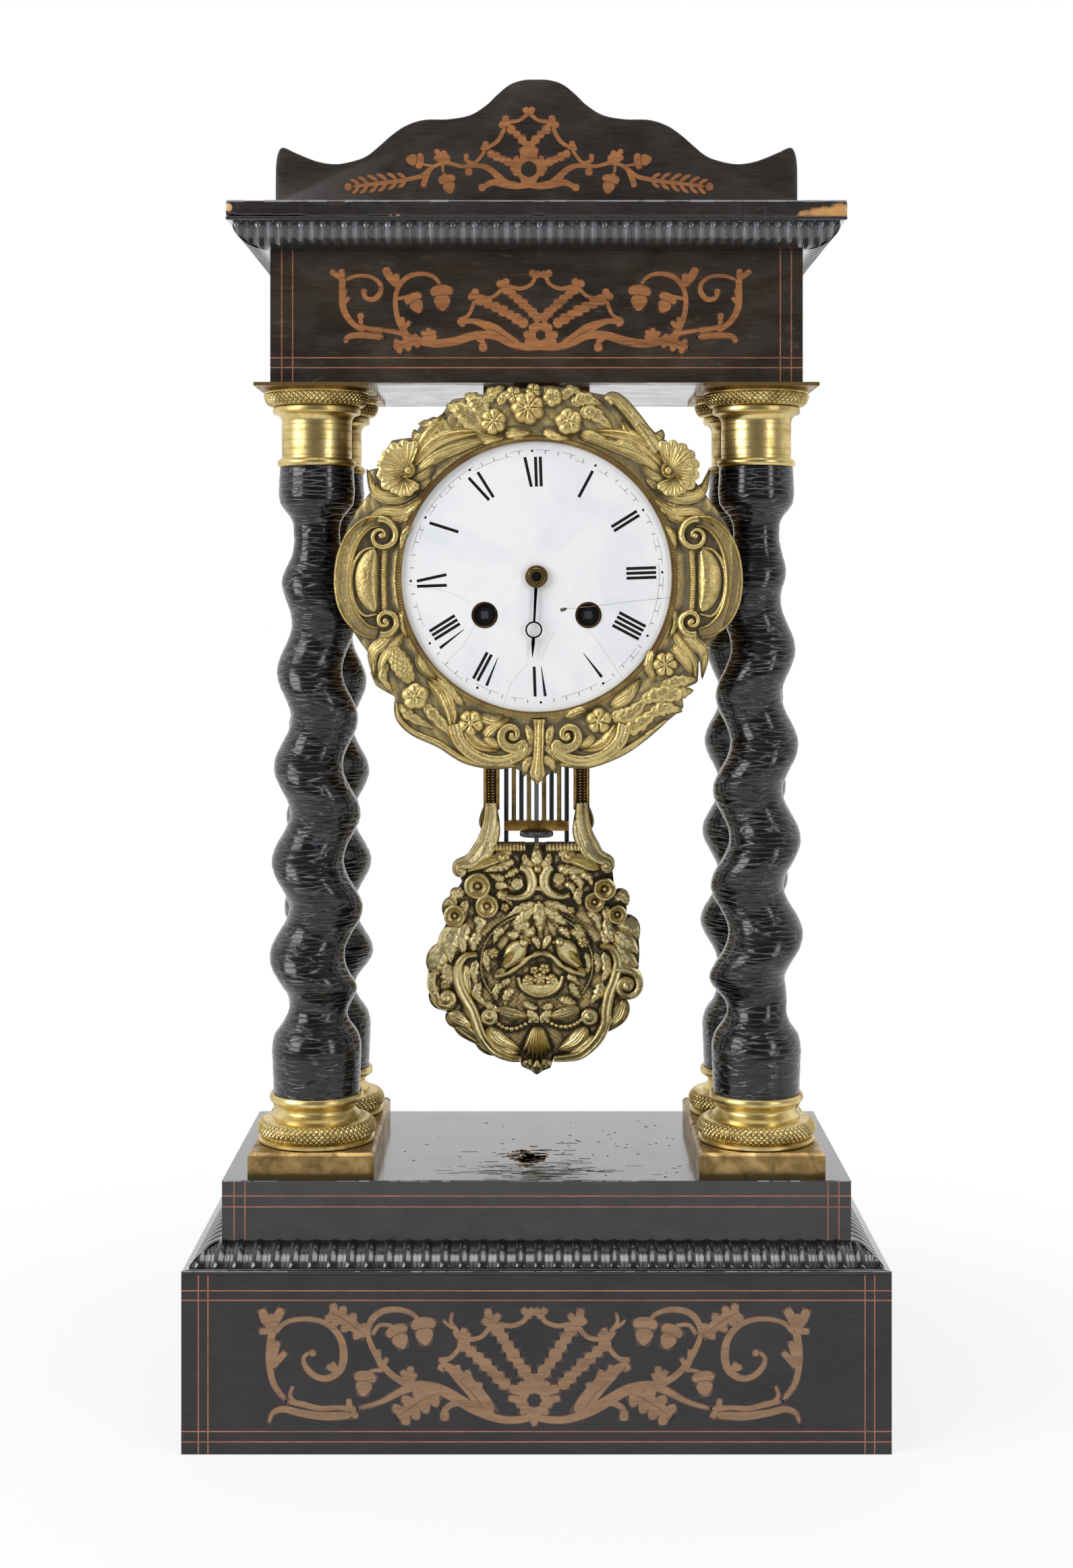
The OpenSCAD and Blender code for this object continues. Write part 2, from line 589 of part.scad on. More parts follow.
module drum() {
    color("#b98f45") difference() {
        union() {
            rod_y([0, 0], front_y, drum_end, drum_r);
            for (z = [-12, 6.2]) {
                translate([drum_r + 2.5, drum_end + 0.8, dial_z + z]) cylinder(r = 2, h = 5.8);
                translate([drum_r - 1, drum_end - 2, dial_z + z]) cube([3.6, 2, 5.8]);
            }
        }
        rod_y([0, 0], front_y - BITE, drum_end + 5, drum_r - drum_wall);
        translate([-slot_half, pendulum_y - 7, dial_z - drum_r - BITE]) cube([2 * slot_half, drum_end, 10]);
        translate([drum_r + 2.5, drum_end + 0.8, dial_z - 20]) cylinder(r = hinge_pin_r + FIT, h = 40);
    }
}
hinge_pin_r = 1;
module rear_door() {
    color("#c09648") difference() {
        union() {
            rod_y([0, 0], drum_end + 0.3, drum_end + 1.5, drum_r);
            translate([drum_r + 2.5, drum_end + 0.8, dial_z - 5.9]) cylinder(r = 2, h = 11.8);
            translate([drum_r - 4, drum_end + 0.3, dial_z - 5.9]) cube([6, 1.2, 11.8]);
        }
        translate([drum_r + 2.5, drum_end + 0.8, dial_z - 20]) cylinder(r = hinge_pin_r + run_gap, h = 40);
    }
}
module door_hinge_pin() {
    color("#8a8a8e") translate([drum_r + 2.5, drum_end + 0.8, dial_z - 12.5]) cylinder(r = hinge_pin_r, h = 25);
}
module hanger_bracket() {
    top = soffit_z;
    color("#b98f45") difference() {
        union() {
            board(-bracket_w / 2, bracket_w / 2, bracket_mid - bracket_len / 2, bracket_mid + bracket_len / 2, top - bracket_t, top);
            board(-9, 9, bracket_mid - bracket_len / 2 + 4, bracket_mid + bracket_len / 2 - 4, dial_z + drum_r - 3, top - bracket_t);
        }
        rod_y([0, 0], front_y - BITE, drum_end + BITE, drum_r + FIT);
        bracket_holes(top - bracket_t - BITE, bracket_t + 2 * BITE, screw_r + FIT);
    }
}
module bracket_screws() {
    color("#8a8a8e") {
        bracket_holes(soffit_z - bracket_t, screw_len, screw_r);
        bracket_holes(soffit_z - bracket_t - 2, 2, 3.4);
    }
}
module mounting_ring() {
    color("#b98f45") difference() {
        rod_y([0, 0], plate_front - ring_t, plate_front, drum_r - drum_wall - FIT);
        rod_y([0, 0], plate_front - ring_t - BITE, plate_front + BITE, drum_r - drum_wall - ring_w);
    }
}
module pivot_holes(y0, y1) {
    for (p = train_arbors) rod_y(p, y0, y1, pivot_r + run_gap);
    rod_y(hammer_at, y0, y1, hammer_arbor_r + run_gap);
}
module front_plate() {
    a = plate_front - BITE;
    b = plate_front + plate_t + BITE;
    color("#d1a24c") for (s = [-1, 1])
        rod_y(click_pivot([s * winding_x, -winding_drop], s), plate_front - 2, plate_front + FIT, click_stud_r);
    color("#d1a24c") difference() {
        rod_y([0, 0], plate_front, plate_front + plate_t, plate_r);
        pivot_holes(a, b);
        rod_y([0, 0], a, b, centre_arbor_r + run_gap);
        for (s = [-1, 1]) rod_y([s * winding_x, -winding_drop], a, b, winding_arbor_r + run_gap);
    }
}
module back_plate() {
    a = plate_back - BITE;
    b = plate_back + plate_t + BITE;
    color("#d1a24c") difference() {
        rod_y([0, 0], plate_back, plate_back + plate_t, plate_r);
        for (p = [second_at, third_at, escape_at, pin_at, fly_at]) rod_y(p, a, b, pivot_r + run_gap);
        rod_y([0, suspension_up], a, b, 2.2);
        rod_y(hammer_at, a, b, hammer_arbor_r + run_gap);
        rod_y([0, 0], a, b, centre_arbor_r + run_gap);
        for (s = [-1, 1]) rod_y([s * winding_x, -winding_drop], a, b, rear_pivot_r + run_gap);
    }
}
module pillars() {
    color("#c9973c") for (a = pillar_angles) {
        at = pillar_at * [cos(a), sin(a)];
        rod_y(at, in_y, plate_back, pillar_r);
        rod_y(at, in_y, in_y + 2, pillar_r + 0.9);
        rod_y(at, plate_back - 2, plate_back, pillar_r + 0.9);
    }
}
// Bridge behind the bell that carries the pallet arbor and the chops of the suspension
module back_cock() {
    top = dial_z + suspension_up;
    color("#c9973c") difference() {
        union() {
            for (s = [-1, 1]) rod_y([s * 10, suspension_up - 3], plate_back + plate_t, cock_y, 2);
            board(-13, 13, cock_y, cock_y + 2, top - 7, top + 6);
            board(-3, 3, cock_y + 2, pendulum_y + 3.5, top + 3.2, top + 6);
            board(-3, 3, pendulum_y - 3.5, pendulum_y + 3.5, top + 1, top + 6);
        }
        rod_y([0, suspension_up], cock_y - BITE, cock_y + 2 + FIT, pivot_r + run_gap);
        board(-0.35, 0.35, pendulum_y - 2.3, pendulum_y + 2.3, top, top + 5);
    }
}

module minute_arbor() {
    color("#c9a86a") {
        rod_y([0, 0], dial_back - 6.2, plate_back + plate_t, centre_arbor_r);
        rod_y([0, 0], dial_back - 5.2, plate_front - 0.8, cannon_pipe_r);
        pinion([0, 0], plate_front - 2.3, plate_front - 0.7, cannon_leaves, motion_m, bearing([0, 0], minute_at) + 180 / cannon_leaves);
        pinion([0, 0], second_y - 2, second_y + 3, leaves_12, second_m, bearing([0, 0], second_at) + 180 / leaves_12);
        wheel([0, 0], centre_y, centre_teeth, centre_m, 1.2, bearing([0, 0], third_at), 3);
    }
}
module hour_wheel() {
    y = dial_back + dial_plate_t + 1;
    color("#c9a86a") difference() {
        union() {
            wheel([0, 0], y, hour_teeth, motion_m, 1.2, bearing([0, 0], minute_at), 3.6);
            rod_y([0, 0], dial_back - 4.8, y + 1.2, hour_pipe_r);
        }
        rod_y([0, 0], dial_back - 6, y + 3, cannon_pipe_r + run_gap);
    }
}
module minute_wheel() {
    y = dial_back + dial_plate_t + 0.8;
    color("#c9a86a") {
        wheel(minute_at, plate_front - 2.1, minute_teeth, motion_m, 1.2, bearing(minute_at, [0, 0]), 2);
        pinion(minute_at, y, plate_front - 2.1, leaves_8, motion_m, bearing(minute_at, [0, 0]) + 180 / leaves_8);
        rod_y(minute_at, plate_front - 0.9, plate_front - 0.3, 1);
    }
}
module barrel(at, other) {
    difference() {
        union() {
            rod_y(at, barrel_y, barrel_y + barrel_len, barrel_r);
            at_arbor(at, great_y) linear_extrude(2) polygon(tooth_points(great_teeth, great_m, bearing(at, other), 0.95, 1.25, 0.58, 0.20));
        }
        rod_y(at, barrel_y - BITE, barrel_y + barrel_len + BITE, winding_arbor_r + run_gap);
        difference() {
            rod_y(at, barrel_y + 1.2, barrel_y + barrel_len - 1.2, barrel_r - 1.4);
            rod_y(at, barrel_y, barrel_y + barrel_len, winding_arbor_r + 1.4);
        }
    }
}
// Arbor with its winding square in front and a saw-toothed ratchet wheel before the plate
module winding_arbor(at) {
    tip = dial_back - 0.8;
    teeth = [for (i = [0:ratchet_teeth - 1], q = [0, 1])
        let (a = i * 360 / ratchet_teeth + (q == 0 ? 0 : 2)) (q == 0 ? ratchet_r : ratchet_r - 1.2) * [cos(a), sin(a)]];
    rod_y(at, plate_front - 2.4, plate_back - 0.4, winding_arbor_r);
    rod_y(at, plate_back - 0.5, plate_back + plate_t, rear_pivot_r);
    at_arbor(at, tip) linear_extrude(plate_front - tip) square(winding_square, center = true);
    at_arbor(at, plate_front - 1.8) linear_extrude(1.5) polygon(teeth);
}
module click(at, side) {
    pivot = click_pivot(at, side);
    nose = at + (ratchet_r + click_gap + 0.3) * [side * cos(52), -sin(52)];
    color("#70757c") at_arbor([0, 0], plate_front - 1.8) linear_extrude(1.5) difference() {
        hull() {
            translate([pivot[0], -pivot[1]]) circle(r = 1.5, $fn = 24);
            translate([nose[0], -nose[1]]) circle(r = 0.3, $fn = 12);
        }
        translate([pivot[0], -pivot[1]]) circle(r = click_stud_r + run_gap);
    }
}
module going_barrel() {
    color("#cda04a") barrel(barrel_at, second_at);
}
module going_winding_arbor() {
    color("#80858c") winding_arbor(barrel_at);
}
module going_click() {
    click(barrel_at, 1);
}
module strike_barrel() {
    color("#cda04a") barrel([-winding_x, -winding_drop], pin_at);
}
module strike_winding_arbor() {
    color("#80858c") winding_arbor([-winding_x, -winding_drop]);
}
module strike_click() {
    click([-winding_x, -winding_drop], -1);
}
module second_wheel() {
    color("#c9a86a") {
        rod_y(second_at, plate_front + 0.4, plate_back + plate_t - 0.4, pivot_r);
        pinion(second_at, great_y - 1, great_y + 3, leaves_12, great_m, bearing(second_at, barrel_at) + 180 / leaves_12);
        wheel(second_at, second_y, great_teeth, second_m, 1.2, bearing(second_at, [0, 0]), 3);
    }
}
module third_wheel() {
    color("#c9a86a") {
        rod_y(third_at, plate_front + 0.4, plate_back + plate_t - 0.4, pivot_r);
        pinion(third_at, centre_y - 1, centre_y + 2, leaves_8, centre_m, bearing(third_at, [0, 0]) + 180 / leaves_8);
        wheel(third_at, third_y, centre_teeth, third_m, 1, bearing(third_at, escape_at), 2.6);
    }
}
module escape_wheel() {
    teeth = [for (i = [0:escape_teeth - 1], q = [0, 1])
        let (a = i * 360 / escape_teeth + (q == 0 ? 0 : 3)) (q == 0 ? escape_r : escape_r - 1.5) * [cos(a), sin(a)]];
    color("#c9a86a") {
        rod_y(escape_at, plate_front + 0.4, plate_back + plate_t - 0.4, pivot_r);
        pinion(escape_at, third_y - 1, third_y + 2, leaves_8, third_m, bearing(escape_at, third_at) + 180 / leaves_8);
        at_arbor(escape_at, escape_y) linear_extrude(0.8) difference() {
            polygon(teeth);
            for (a = [45:90:359]) rotate(a) translate([5.5, 0]) circle(r = 2.8);
        }
    }
}
// Steel anchor over the escape wheel, its arbor and the crutch that reaches the pendulum rod
module anchor() {
    bow_r = escape_r + 1.7;
    reach = suspension_up - escape_at[1];
    fork_z = dial_z + suspension_up - 34;
    color("#70757c") {
        rod_y([0, suspension_up], plate_front + 0.4, pendulum_y - 4.6, pivot_r);
        at_arbor([0, 0], escape_y - 0.4) linear_extrude(1.6) {
            translate([0, -escape_at[1]]) intersection() {
                difference() {
                    circle(r = bow_r + 2.2);
                    circle(r = bow_r);
                }
                polygon([[0, 0], [-20, -12], [-20, -24], [20, -24], [20, -12]]);
            }
            translate([0, -suspension_up]) circle(r = reach - bow_r - 1);
        }
        rod_y([0, suspension_up], pendulum_y - 5.6, pendulum_y - 4.6, 2);
        board(-0.8, 0.8, pendulum_y - 5.6, pendulum_y - 4.6, fork_z, dial_z + suspension_up);
        for (s = [-1, 1]) board(s * 1.75 - 0.65, s * 1.75 + 0.65, pendulum_y - 5, pendulum_y + 2, fork_z, fork_z + 3);
        board(-2.4, 2.4, pendulum_y - 5.6, pendulum_y - 4.6, fork_z, fork_z + 3);
    }
}
module pin_wheel() {
    color("#c9a86a") {
        rod_y(pin_at, plate_front + 0.4, plate_back + plate_t - 0.4, pivot_r);
        pinion(pin_at, great_y - 1, great_y + 3, leaves_12, great_m, bearing(pin_at, [-winding_x, -winding_drop]) + 180 / leaves_12);
        at_arbor(pin_at, second_y) linear_extrude(1.2) polygon(tooth_points(pin_teeth, fly_m, bearing(pin_at, fly_at), 0.95, 1.25, 0.58, 0.20));
        for (a = [0:45:359]) rod_y(pin_at + 6.4 * [cos(a), sin(a)], second_y + 1.2, second_y + 4, 0.5);
    }
}
module fly() {
    color("#c9a86a") {
        rod_y(fly_at, plate_front + 0.4, plate_back + plate_t - 0.4, pivot_r);
        pinion(fly_at, second_y - 1, second_y + 2, leaves_8, fly_m, bearing(fly_at, pin_at) + 180 / leaves_8);
        translate([fly_at[0] - 5.5, barrel_y + 2, dial_z + fly_at[1] - 0.3]) cube([11, 14, 0.6]);
    }
}
module hammer() {
    arm = hammer_head_at - hammer_at;
    color("#80858c") {
        rod_y(hammer_at, plate_front + 0.4, bell_y + 4, hammer_arbor_r);
        at_arbor([0, 0], bell_y + 1) linear_extrude(2) polygon([for (q = [[-1, 0], [1, 0], [0.7, 1], [-0.7, 1]])
            let (p = hammer_at + arm * q[1] + q[0] * [arm[1], -arm[0]] / norm(arm)) [p[0], -p[1]]]);
        at_arbor(hammer_head_at, bell_y + 2) sphere(r = 4, $fn = 32);
        at_arbor(hammer_at, second_y + 2) linear_extrude(1.2) polygon([[-0.9, 0], [0.9, 0], [2.6, -8.6], [1.6, -8.8]]);
    }
}
module bell() {
    steps = [for (i = [0:8]) i * 90 / 8];
    outer = [for (t = steps) [bell_r * cos(t), bell_depth * sin(t)]];
    inner = [for (t = steps) [(bell_r - bell_wall) * cos(t), (bell_depth - bell_wall) * sin(t)]];
    bore = 2 + run_gap;
    color("#a9a294") difference() {
        at_arbor(bell_at, bell_y) rotate_extrude() polygon(concat(outer, [for (i = [8:-1:0]) inner[i]]));
        rod_y(bell_at, bell_y - BITE, bell_y + bell_depth + BITE, bore);
    }
}
module bell_stand() {
    crown = bell_y + bell_depth;
    color("#b98f45") {
        rod_y(bell_at, plate_back + plate_t, crown + 1.5, 2);
        rod_y(bell_at, plate_back + plate_t, crown - bell_wall - 0.4, 3);
        at_arbor(bell_at, crown + 0.05) linear_extrude(1.6) circle(r = 4, $fn = 6);
    }
}

module suspension_spring() {
    top = dial_z + suspension_up;
    color("#9aa0a8") board(-0.12, 0.12, pendulum_y - 2, pendulum_y + 2, rod_top_z - 2, top + 4.4);
}
// Steel rod that hangs from the spring, runs through the yoke and the crosspiece, and carries the rating nut
module pendulum_rod() {
    color("#8a7a4a") difference() {
        union() {
            translate([0, pendulum_y, rod_end_z]) cylinder(r = rod_r, h = rod_top_z - rod_end_z - 4);
            board(-1.3, 1.3, pendulum_y - 2.6, pendulum_y + 2.6, rod_top_z - 6, rod_top_z);
        }
        board(-0.12, 0.12, pendulum_y - 2, pendulum_y + 2, rod_top_z - 2, rod_top_z + 1);
    }
}
// Rods soldered into the crosspiece; the outer two run on down to the shoulder bar of the bob
module gridiron() {
    middle = (rods_n - 1) / 2;
    color("#4a4d50") {
        for (i = [0:rods_n - 1]) if (i != middle) {
            low = i == 0 || i == rods_n - 1 ? bar_z + bar_h : cross_z + cross_h - BITE;
            translate([(i - middle) * rod_pitch, pendulum_y, low]) cylinder(r = rod_r, h = yoke_z - frame_t - low);
        }
        difference() {
            board(-cross_w / 2, cross_w / 2, pendulum_y - 1.8, pendulum_y + 1.8, cross_z, cross_z + cross_h);
            translate([0, pendulum_y, cross_z - BITE]) cylinder(r = rod_r + run_gap, h = cross_h + 2 * BITE);
        }
    }
}
// One gilt piece: yoke on top, two strips, shoulder bar and the stamped bob with its curls and drop
module pendulum_bob() {
    low = pendulum_y - bob_t / 2;
    hole = rod_r + run_gap;
    color("#b3893a") difference() {
        union() {
            for (s = [-1, 1]) translate([s * (frame_w - strip_w) / 2, pendulum_y, (bar_z + yoke_z) / 2])
                cube([strip_w, frame_t, yoke_z - bar_z], center = true);
            board(-frame_w / 2, frame_w / 2, pendulum_y - frame_t / 2, pendulum_y + frame_t / 2, yoke_z - frame_t, yoke_z);
            board(-frame_w / 2, frame_w / 2, pendulum_y - frame_t / 2, pendulum_y + frame_t / 2, bar_z, bar_z + bar_h);
            translate([0, low + bob_t, bob_z]) rotate([90, 0, 0]) linear_extrude(bob_t) {
                circle(r = bob_r);
                for (s = [-1, 1]) {
                    translate([s * 14, bar_z - bob_z - 13]) circle(r = 17);
                    translate([s * 27, 35]) circle(r = 5);
                    translate([s * 33, -8]) circle(r = 8.5);
                    translate([s * 34, 12]) circle(r = 8);
                }
                translate([0, -38]) circle(r = 6.5);
            }
            translate([0, low + 12, bob_z - 2]) sphere(r = 18);
            for (s = [-1, 1]) {
                for (p = [[24, 30, 6], [31, 20, 5], [33, -10, 6], [17, -23, 5]])
                    translate([s * p[0], low + 1.5, bob_z + p[1]]) sphere(r = p[2], $fn = 32);
            }
        }
        board(-60, 60, pendulum_y + bob_t / 2, pendulum_y + 40, bob_z - 60, bob_z + 60);
        translate([0, pendulum_y, rod_end_z - 3]) cylinder(r = hole, h = 60);
    }
}
module rating_nut() {
    color("#3a3c3f") difference() {
        translate([0, pendulum_y, cross_z - nut_h - 0.02]) cylinder(r = nut_r, h = nut_h);
        translate([0, pendulum_y, cross_z - nut_h - BITE]) cylinder(r = rod_r + run_gap, h = nut_h + 2 * BITE);
    }
}

base_front();
base_side_and_back_boards();
base_bottom();
base_top();
base_moulding();
step_rails();
step_top();
plinths();
column_bases();
column_front_left();
column_front_right();
column_rear_left();
column_rear_right();
capitals();
abacus_plates();
tie_rods();
tie_nuts();
entablature_front();
entablature_side_and_back_boards();
entablature_bottom();
cornice_moulding();
top_board();
pediment();
bezel();
dial();
dial_plate();
hour_hand();
drum();
hanger_bracket();
bracket_screws();
rear_door();
door_hinge_pin();
mounting_ring();
front_plate();
back_plate();
pillars();
back_cock();
minute_arbor();
hour_wheel();
minute_wheel();
going_barrel();
going_winding_arbor();
going_click();
second_wheel();
third_wheel();
escape_wheel();
anchor();
strike_barrel();
strike_winding_arbor();
strike_click();
pin_wheel();
fly();
hammer();
bell();
bell_stand();
suspension_spring();
pendulum_rod();
gridiron();
pendulum_bob();
rating_nut();
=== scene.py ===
"""Portico mantel clock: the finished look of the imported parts, with a studio floor, lights and camera."""
import logging
from dataclasses import dataclass, replace
from enum import Enum
from math import atan2, cos, degrees, dist, exp, floor, hypot, pi, radians, sin, sqrt, tau
from random import Random
from typing import Callable, Sequence

import bmesh
import bpy
import numpy
from mathutils import Matrix, Vector


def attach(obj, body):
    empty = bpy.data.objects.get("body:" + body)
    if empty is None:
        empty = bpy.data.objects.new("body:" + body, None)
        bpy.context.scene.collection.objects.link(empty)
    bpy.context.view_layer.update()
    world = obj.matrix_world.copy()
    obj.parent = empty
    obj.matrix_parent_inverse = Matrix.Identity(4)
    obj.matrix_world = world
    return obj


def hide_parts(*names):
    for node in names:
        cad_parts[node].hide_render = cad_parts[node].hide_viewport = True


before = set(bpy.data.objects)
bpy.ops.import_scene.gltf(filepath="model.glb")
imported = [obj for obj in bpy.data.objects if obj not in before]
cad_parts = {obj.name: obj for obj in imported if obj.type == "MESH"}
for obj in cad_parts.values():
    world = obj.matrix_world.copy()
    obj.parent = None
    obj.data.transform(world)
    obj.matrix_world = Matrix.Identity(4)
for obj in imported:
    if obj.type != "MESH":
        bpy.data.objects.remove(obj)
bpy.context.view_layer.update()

LOG = logging.getLogger("clock")
MM = 0.001
Point = tuple[float, float]
Height = Callable[[float, float], float]
Along = Callable[[float], float]
Change = Callable[[float, float, float], Point]
Tree = bpy.types.NodeTree
Socket = bpy.types.NodeSocket


# Small helpers

def linear(code: str) -> tuple[float, float, float, float]:
    """Turn an sRGB hex colour into linear light.

    Args:
        code: Six hex digits.

    Returns:
        Red, green, blue and an alpha of one.
    """
    parts = [int(code[i:i + 2], 16) / 255 for i in (0, 2, 4)]
    return (*[p / 12.92 if p <= 0.04045 else ((p + 0.055) / 1.055) ** 2.4 for p in parts], 1.0)


def lerp(a: float, b: float, t: float) -> float:
    """Blend two numbers."""
    return a + (b - a) * t


def smooth(a: float, b: float, x: float) -> float:
    """Rise smoothly from 0 at a to 1 at b."""
    t = min(1.0, max(0.0, (x - a) / (b - a)))
    return t * t * (3 - 2 * t)


def lookup(x: float, rows: Sequence[Point]) -> float:
    """Read rows of places and values, straight between them and level beyond their ends."""
    if x <= rows[0][0]:
        return rows[0][1]
    for (x0, v0), (x1, v1) in zip(rows, rows[1:]):
        if x <= x1:
            return lerp(v0, v1, (x - x0) / (x1 - x0))
    return rows[-1][1]


def arch(t: float) -> float:
    """Give the height of a half round at a share of its half width."""
    return sqrt(max(0.0, 1 - t * t))


def arched(low: float, rise: float) -> Height:
    """Give a ribbon's height that is a half round of some rise over its border."""
    return lambda s, t: low + rise * arch(t)


def taper(first: float, last: float) -> Along:
    """Give a half width that changes evenly along a ribbon."""
    return lambda s: lerp(first, last, s)


def tabled(rows: Sequence[Point]) -> Along:
    """Give a half width that is read from rows of places and values."""
    return lambda s: lookup(s, rows)


def spline(points: Sequence[Sequence[float]], count: int) -> list[Vector]:
    """Run a smooth curve through points, evenly spaced in its parameter.

    Args:
        points: Two or more points of two or three numbers.
        count: How many samples to give.

    Returns:
        The samples, as vectors of three numbers.
    """
    pts = [Vector((*p, 0.0)[:3]) for p in points]
    ends = [2 * pts[0] - pts[1], *pts, 2 * pts[-1] - pts[-2]]
    spans = len(pts) - 1
    out = []
    for i in range(count):
        x = i / (count - 1) * spans
        k = min(int(x), spans - 1)
        t = x - k
        a, b, c, d = ends[k:k + 4]
        out.append(0.5 * (2 * b + (c - a) * t + (2 * a - 5 * b + 4 * c - d) * t * t + (3 * b - a - 3 * c + d) * t ** 3))
    return out


# Mesh work

class Clay:
    """Shapes gathered in one bmesh, in millimetres, which become one piece."""

    def __init__(self) -> None:
        """Start with nothing."""
        self.bm = bmesh.new()
        self.shelf: list[bpy.types.Mesh] = []

    def shelve(self, most: int = 2500) -> None:
        """Put finished shapes aside once they are many, because the operators slow down with all that they hold."""
        if len(self.bm.verts) > most:
            self.shelf.append(bpy.data.meshes.new("shelf"))
            self.bm.to_mesh(self.shelf[-1])
            self.bm.clear()

    def gather(self) -> None:
        """Bring back what was put aside."""
        for mesh in self.shelf:
            self.bm.from_mesh(mesh)
            bpy.data.meshes.remove(mesh)
        self.shelf.clear()

    def move(self, verts: Sequence[bmesh.types.BMVert], change: Callable[[Vector], Sequence[float]]) -> None:
        """Put each point where a function says."""
        for vert in verts:
            vert.co = change(vert.co)

    def block(self, low: Sequence[float], high: Sequence[float], bevel: float = 0.0, segments: int = 2) -> None:
        """Add a board with softened edges.

        Args:
            low: Lowest corner.
            high: Highest corner.
            bevel: Width of the softened edges.
            segments: Steps of each softened edge.
        """
        self.shelve()
        made = bmesh.ops.create_cube(self.bm, size=1.0)["verts"]
        low_v, high_v = Vector(low), Vector(high)
        size, mid = high_v - low_v, (high_v + low_v) / 2
        self.move(made, lambda c: Vector((c.x * size.x, c.y * size.y, c.z * size.z)) + mid)
        if bevel:
            edges = list({e for v in made for e in v.link_edges})
            bmesh.ops.bevel(self.bm, geom=edges, offset=bevel, offset_type="OFFSET", affect="EDGES",
                            segments=segments, profile=0.5, material=-1)

    def lathe(self, profile: Sequence[Point], at: Sequence[float], steps: int = 96, axis: str = "Z",
              change: Change | None = None) -> None:
        """Turn a profile about an axis.

        Args:
            profile: Points of radius and height along the axis.
            at: Where the axis starts.
            steps: Steps round the axis.
            axis: Z for upright work, Y for work that faces the front, its heights running forward.
            change: Gives a new radius and height from radius, height and angle, for knurls and flutes.
        """
        self.shelve()
        shade_and_sheen_layer = self.bm.verts.layers.float.get("painted_shade_and_sheen") or self.bm.verts.layers.float.new("painted_shade_and_sheen")
        made = bmesh.ops.create_grid(self.bm, x_segments=steps, y_segments=len(profile) - 1, size=1.0)["verts"]
        turn = Matrix.Rotation(pi / 2, 4, "X") if axis == "Y" else Matrix()
        stand = Matrix.Translation(at) @ turn
        for vert in made:
            r, h = profile[round((vert.co.y + 1) / 2 * (len(profile) - 1))]
            a = pi * vert.co.x
            if change:
                before = r
                r, h = change(r, h, a)
                # Where the change sinks the radius, the layer is set, so that a turned finish paints shade into that
                # groove.
                vert[shade_and_sheen_layer] = max(0.0, (before - r) * 5)
            vert.co = stand @ Vector((r * cos(a), r * sin(a), h))
        self.close(made)

    def close(self, made: Sequence[bmesh.types.BMVert], fill: bool = False, near: float = 1e-4) -> None:
        """Merge the seams and poles of a new shell and turn its faces outwards.

        Args:
            made: Its points.
            fill: Whether its open ends are filled.
            near: Distance under which points merge.
        """
        bmesh.ops.remove_doubles(self.bm, verts=made, dist=near)
        left = [v for v in made if v.is_valid]
        if fill:
            bmesh.ops.holes_fill(self.bm, edges=[e for e in {e for v in left for e in v.link_edges} if e.is_boundary], sides=0)
        bmesh.ops.recalc_face_normals(self.bm, faces=list({f for v in left for f in v.link_faces}))

    def plate(self, outline: Sequence[Point], back: float, front: float, bevel: float = 0.0) -> None:
        """Add an upright board with a free outline in the plane of the dial.

        Args:
            outline: Corners, across and up.
            back: Depth of its rear face.
            front: Depth of its front face.
            bevel: Width of the softened front edge.
        """
        verts = [self.bm.verts.new((x, back, z)) for x, z in outline]
        face = self.bm.faces.new(verts)
        grown = bmesh.ops.extrude_face_region(self.bm, geom=[face])["geom"]
        top = [v for v in grown if isinstance(v, bmesh.types.BMVert)]
        bmesh.ops.translate(self.bm, verts=top, vec=(0, front - back, 0))
        bmesh.ops.recalc_face_normals(self.bm, faces=list({f for v in verts + top for f in v.link_faces}))
        if bevel:
            rim = [e for e in {e for v in top for e in v.link_edges} if all(v in top for v in e.verts)]
            bmesh.ops.bevel(self.bm, geom=rim, offset=bevel, offset_type="OFFSET", affect="EDGES", segments=2,
                            profile=0.5, material=-1)

    def finish(self, name: str, body: str, finish: "Finish", slot: str, stands_for: Sequence[str] = (),
               crease: float = 35.0, wear: float = 0.0) -> bpy.types.Object:
        """Make the piece, in metres, and hang it on its body.

        Args:
            name: Name of the piece.
            body: CAD body that it moves with.
            finish: Its material.
            slot: The record's material slot it belongs to; it is not used.
            stands_for: CAD nodes that it replaces.
            crease: Edges sharper than this many degrees stay sharp.
            wear: Radius over which raised and sunk places are told apart, or 0 for none.

        Returns:
            The new object.
        """
        self.gather()
        bmesh.ops.scale(self.bm, vec=(MM, MM, MM), verts=self.bm.verts)
        mesh = bpy.data.meshes.new(name)
        self.bm.to_mesh(mesh)
        self.bm.free()
        mesh.shade_smooth()
        mesh.set_sharp_from_angle(angle=radians(crease))
        if wear:
            mark_crests(mesh, wear * MM)
        piece = bpy.data.objects.new(name, mesh)
        bpy.context.scene.collection.objects.link(piece)
        mesh.materials.append(finish.material())
        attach(piece, body)
        if stands_for:
            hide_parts(*stands_for)
        LOG.info("%s: %d faces", name, len(mesh.polygons))
        return piece


